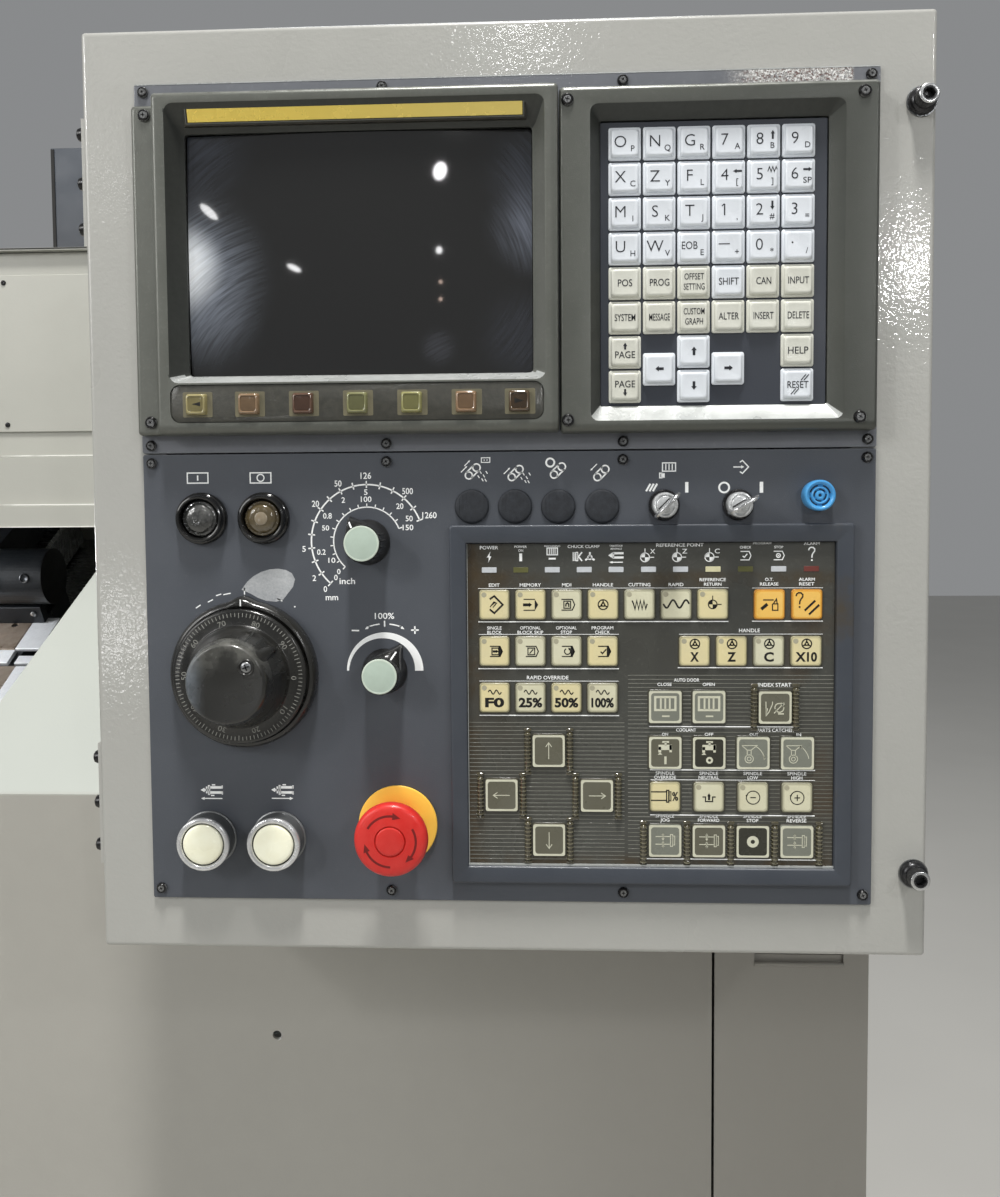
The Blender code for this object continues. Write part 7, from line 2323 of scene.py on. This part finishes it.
# --------------------------------------------------------------------- print
set_words(inks)
INKED = [(dark, "soft_key_marks", ST, "blackink", "key_film"),
         (kl, "keyboard_legends", ST, "keyink", "key_sheet"),
         (pr, "handwheel_index", ST, "ink", "black_plastic"),
         (dial, "handwheel_figures", "pulse_handwheel", "worn", "black_plastic"),
         (pl, "lower_plate_print", ST, "ink", "plate_paint"),
         (fl, "film_print", ST, "ink", "key_film"),
         (ky, "pale_key_print", ST, "blackink", "key_film"),
         (kg, "key_lamp_dots", ST, "dot", "key_film"),
         (kw, "dark_key_print", ST, "pale", "key_film")]
for shape, name, body, key, slot_name in INKED:
    if shape.f:
        shape.make(name, body, key, smooth=0, slot=slot_name)

# --------------------------------------------------------------------- studio
floor_mesh = bpy.data.meshes.new("studio_floor")
floor_mesh.from_pydata([(-12, -12, 0), (12, -12, 0), (12, 12, 0), (-12, 12, 0)], [], [(0, 1, 2, 3)])
floor = bpy.data.objects.new("studio_floor", floor_mesh)
SCENE.collection.objects.link(floor)
m = Mat("studio_floor_paint", srgb(196, 194, 188), 0.5)
m.mottle(1.5, 0.15)
floor_mesh.materials.append(m.m)

world = bpy.data.worlds.new("studio")
SCENE.world = world
world.use_nodes = True
wt = world.node_tree
bg = wt.nodes["Background"]
bg.inputs["Color"].default_value = (0.86, 0.88, 0.90, 1)
bg.inputs["Strength"].default_value = 0.29


def lamp(name, loc, target, size, power, colour=(1, 1, 1), sizey=None, spread=180, roll=0.0):
    l = bpy.data.lights.new(name, "AREA")
    l.energy = power
    l.color = colour
    l.shape = "ELLIPSE" if sizey else "DISK"
    l.size = size
    if sizey:
        l.size_y = sizey
    l.spread = math.radians(spread)
    o = bpy.data.objects.new(name, l)
    SCENE.collection.objects.link(o)
    o.location = loc
    aim = (Vector(target) - Vector(loc)).to_track_quat("-Z", "Y").to_matrix()
    o.rotation_euler = (aim @ Matrix.Rotation(math.radians(roll), 3, "Z")).to_euler()
    return o


lamp("key", (0.92, -1.62, 4.3), (0.90, -0.70, 1.1), 0.30, 128.0, (1.0, 0.985, 0.96), 0.8)
lamp("left_soft", (-2.6, -3.2, 2.9), (0.5, -0.6, 1.0), 2.4, 64.0, (1.0, 0.99, 0.97))
# small far lamps: their mirror images lie on the glass and along the door's edges
GLASS = (0.850, -0.7085, 1.370)
lamp("spot_a", (0.780, -2.768, 2.170), GLASS, 0.055, 0.20, (1.0, 0.97, 1.0), 0.075, roll=-15)
lamp("spot_b", (0.773, -2.848, 1.862), GLASS, 0.026, 0.030, (1.0, 1.0, 1.0), 0.030)
lamp("spot_c", (-0.142, -2.627, 2.005), GLASS, 0.090, 0.080, (1.0, 1.0, 1.0), 0.030, roll=-38)
lamp("spot_d", (0.176, -2.778, 1.791), GLASS, 0.062, 0.050, (1.0, 1.0, 1.0), 0.022, roll=-25)
lamp("spot_e", (0.778, -2.871, 1.734), GLASS, 0.016, 0.0050, (1.0, 0.74, 0.62), 0.016)
lamp("spot_f", (0.777, -2.881, 1.664), GLASS, 0.016, 0.0050, (1.0, 0.74, 0.62), 0.016)
lamp("edge_right", (2.47, -2.60, 2.41), (1.136, -0.7035, 1.464), 0.10, 6.0, (1.0, 1.0, 1.0), 0.18)
lamp("edge_left", (-0.86, -2.50, 2.35), (0.660, -0.7035, 1.430), 0.10, 8.0, (1.0, 1.0, 1.0), 0.30)
lamp("sheen_right", (1.934, -3.07, 1.85), (1.128, -0.7035, 1.347), 0.10, 4.0, (1.0, 1.0, 1.0), 0.16)
lamp("sheen_left_b", (-0.384, -3.221, 0.835), (0.672, -0.7035, 1.144), 0.13, 1.2, (1.0, 1.0, 1.0), 0.22)
lamp("sheen_top", (0.84, -3.20, 2.605), (0.941, -0.7035, 1.481), 0.16, 1.6, (1.0, 1.0, 1.0), 0.08)
lamp("inside", (0.02, -0.16, 1.16), (0.24, -0.10, 0.95), 0.25, 3.0, (0.97, 0.98, 1.0), 0.10)
lamp("high_back", (0.6, 2.4, 4.4), (0.5, 0.2, 1.2), 2.2, 48.0, (0.94, 0.97, 1.0))

cam_data = bpy.data.cameras.new("camera")
cam = bpy.data.objects.new("camera", cam_data)
SCENE.collection.objects.link(cam)
right, up, back = ((0.99887, 0.04700, -0.00715), (0.00467, 0.05264, 0.99860), (0.04731, -0.99751, 0.05236))
cam.matrix_world = Matrix((
    (right[0], up[0], back[0], 0.9235), (right[1], up[1], back[1], -1.3030),
    (right[2], up[2], back[2], 1.2174), (0, 0, 0, 1)))
cam_data.sensor_width = 36.0
cam_data.sensor_fit = "AUTO"
cam_data.lens = 31.70
cam_data.shift_x = 0.0
cam_data.shift_y = -0.0354
cam_data.clip_start = 0.01
cam_data.clip_end = 60.0
cam_data.dof.use_dof = False
SCENE.camera = cam
SCENE.cycles.use_denoising = True
SCENE.view_settings.view_transform = "Standard"
SCENE.view_settings.look = "None"
SCENE.view_settings.exposure = 0.0
SCENE.view_settings.gamma = 1.0
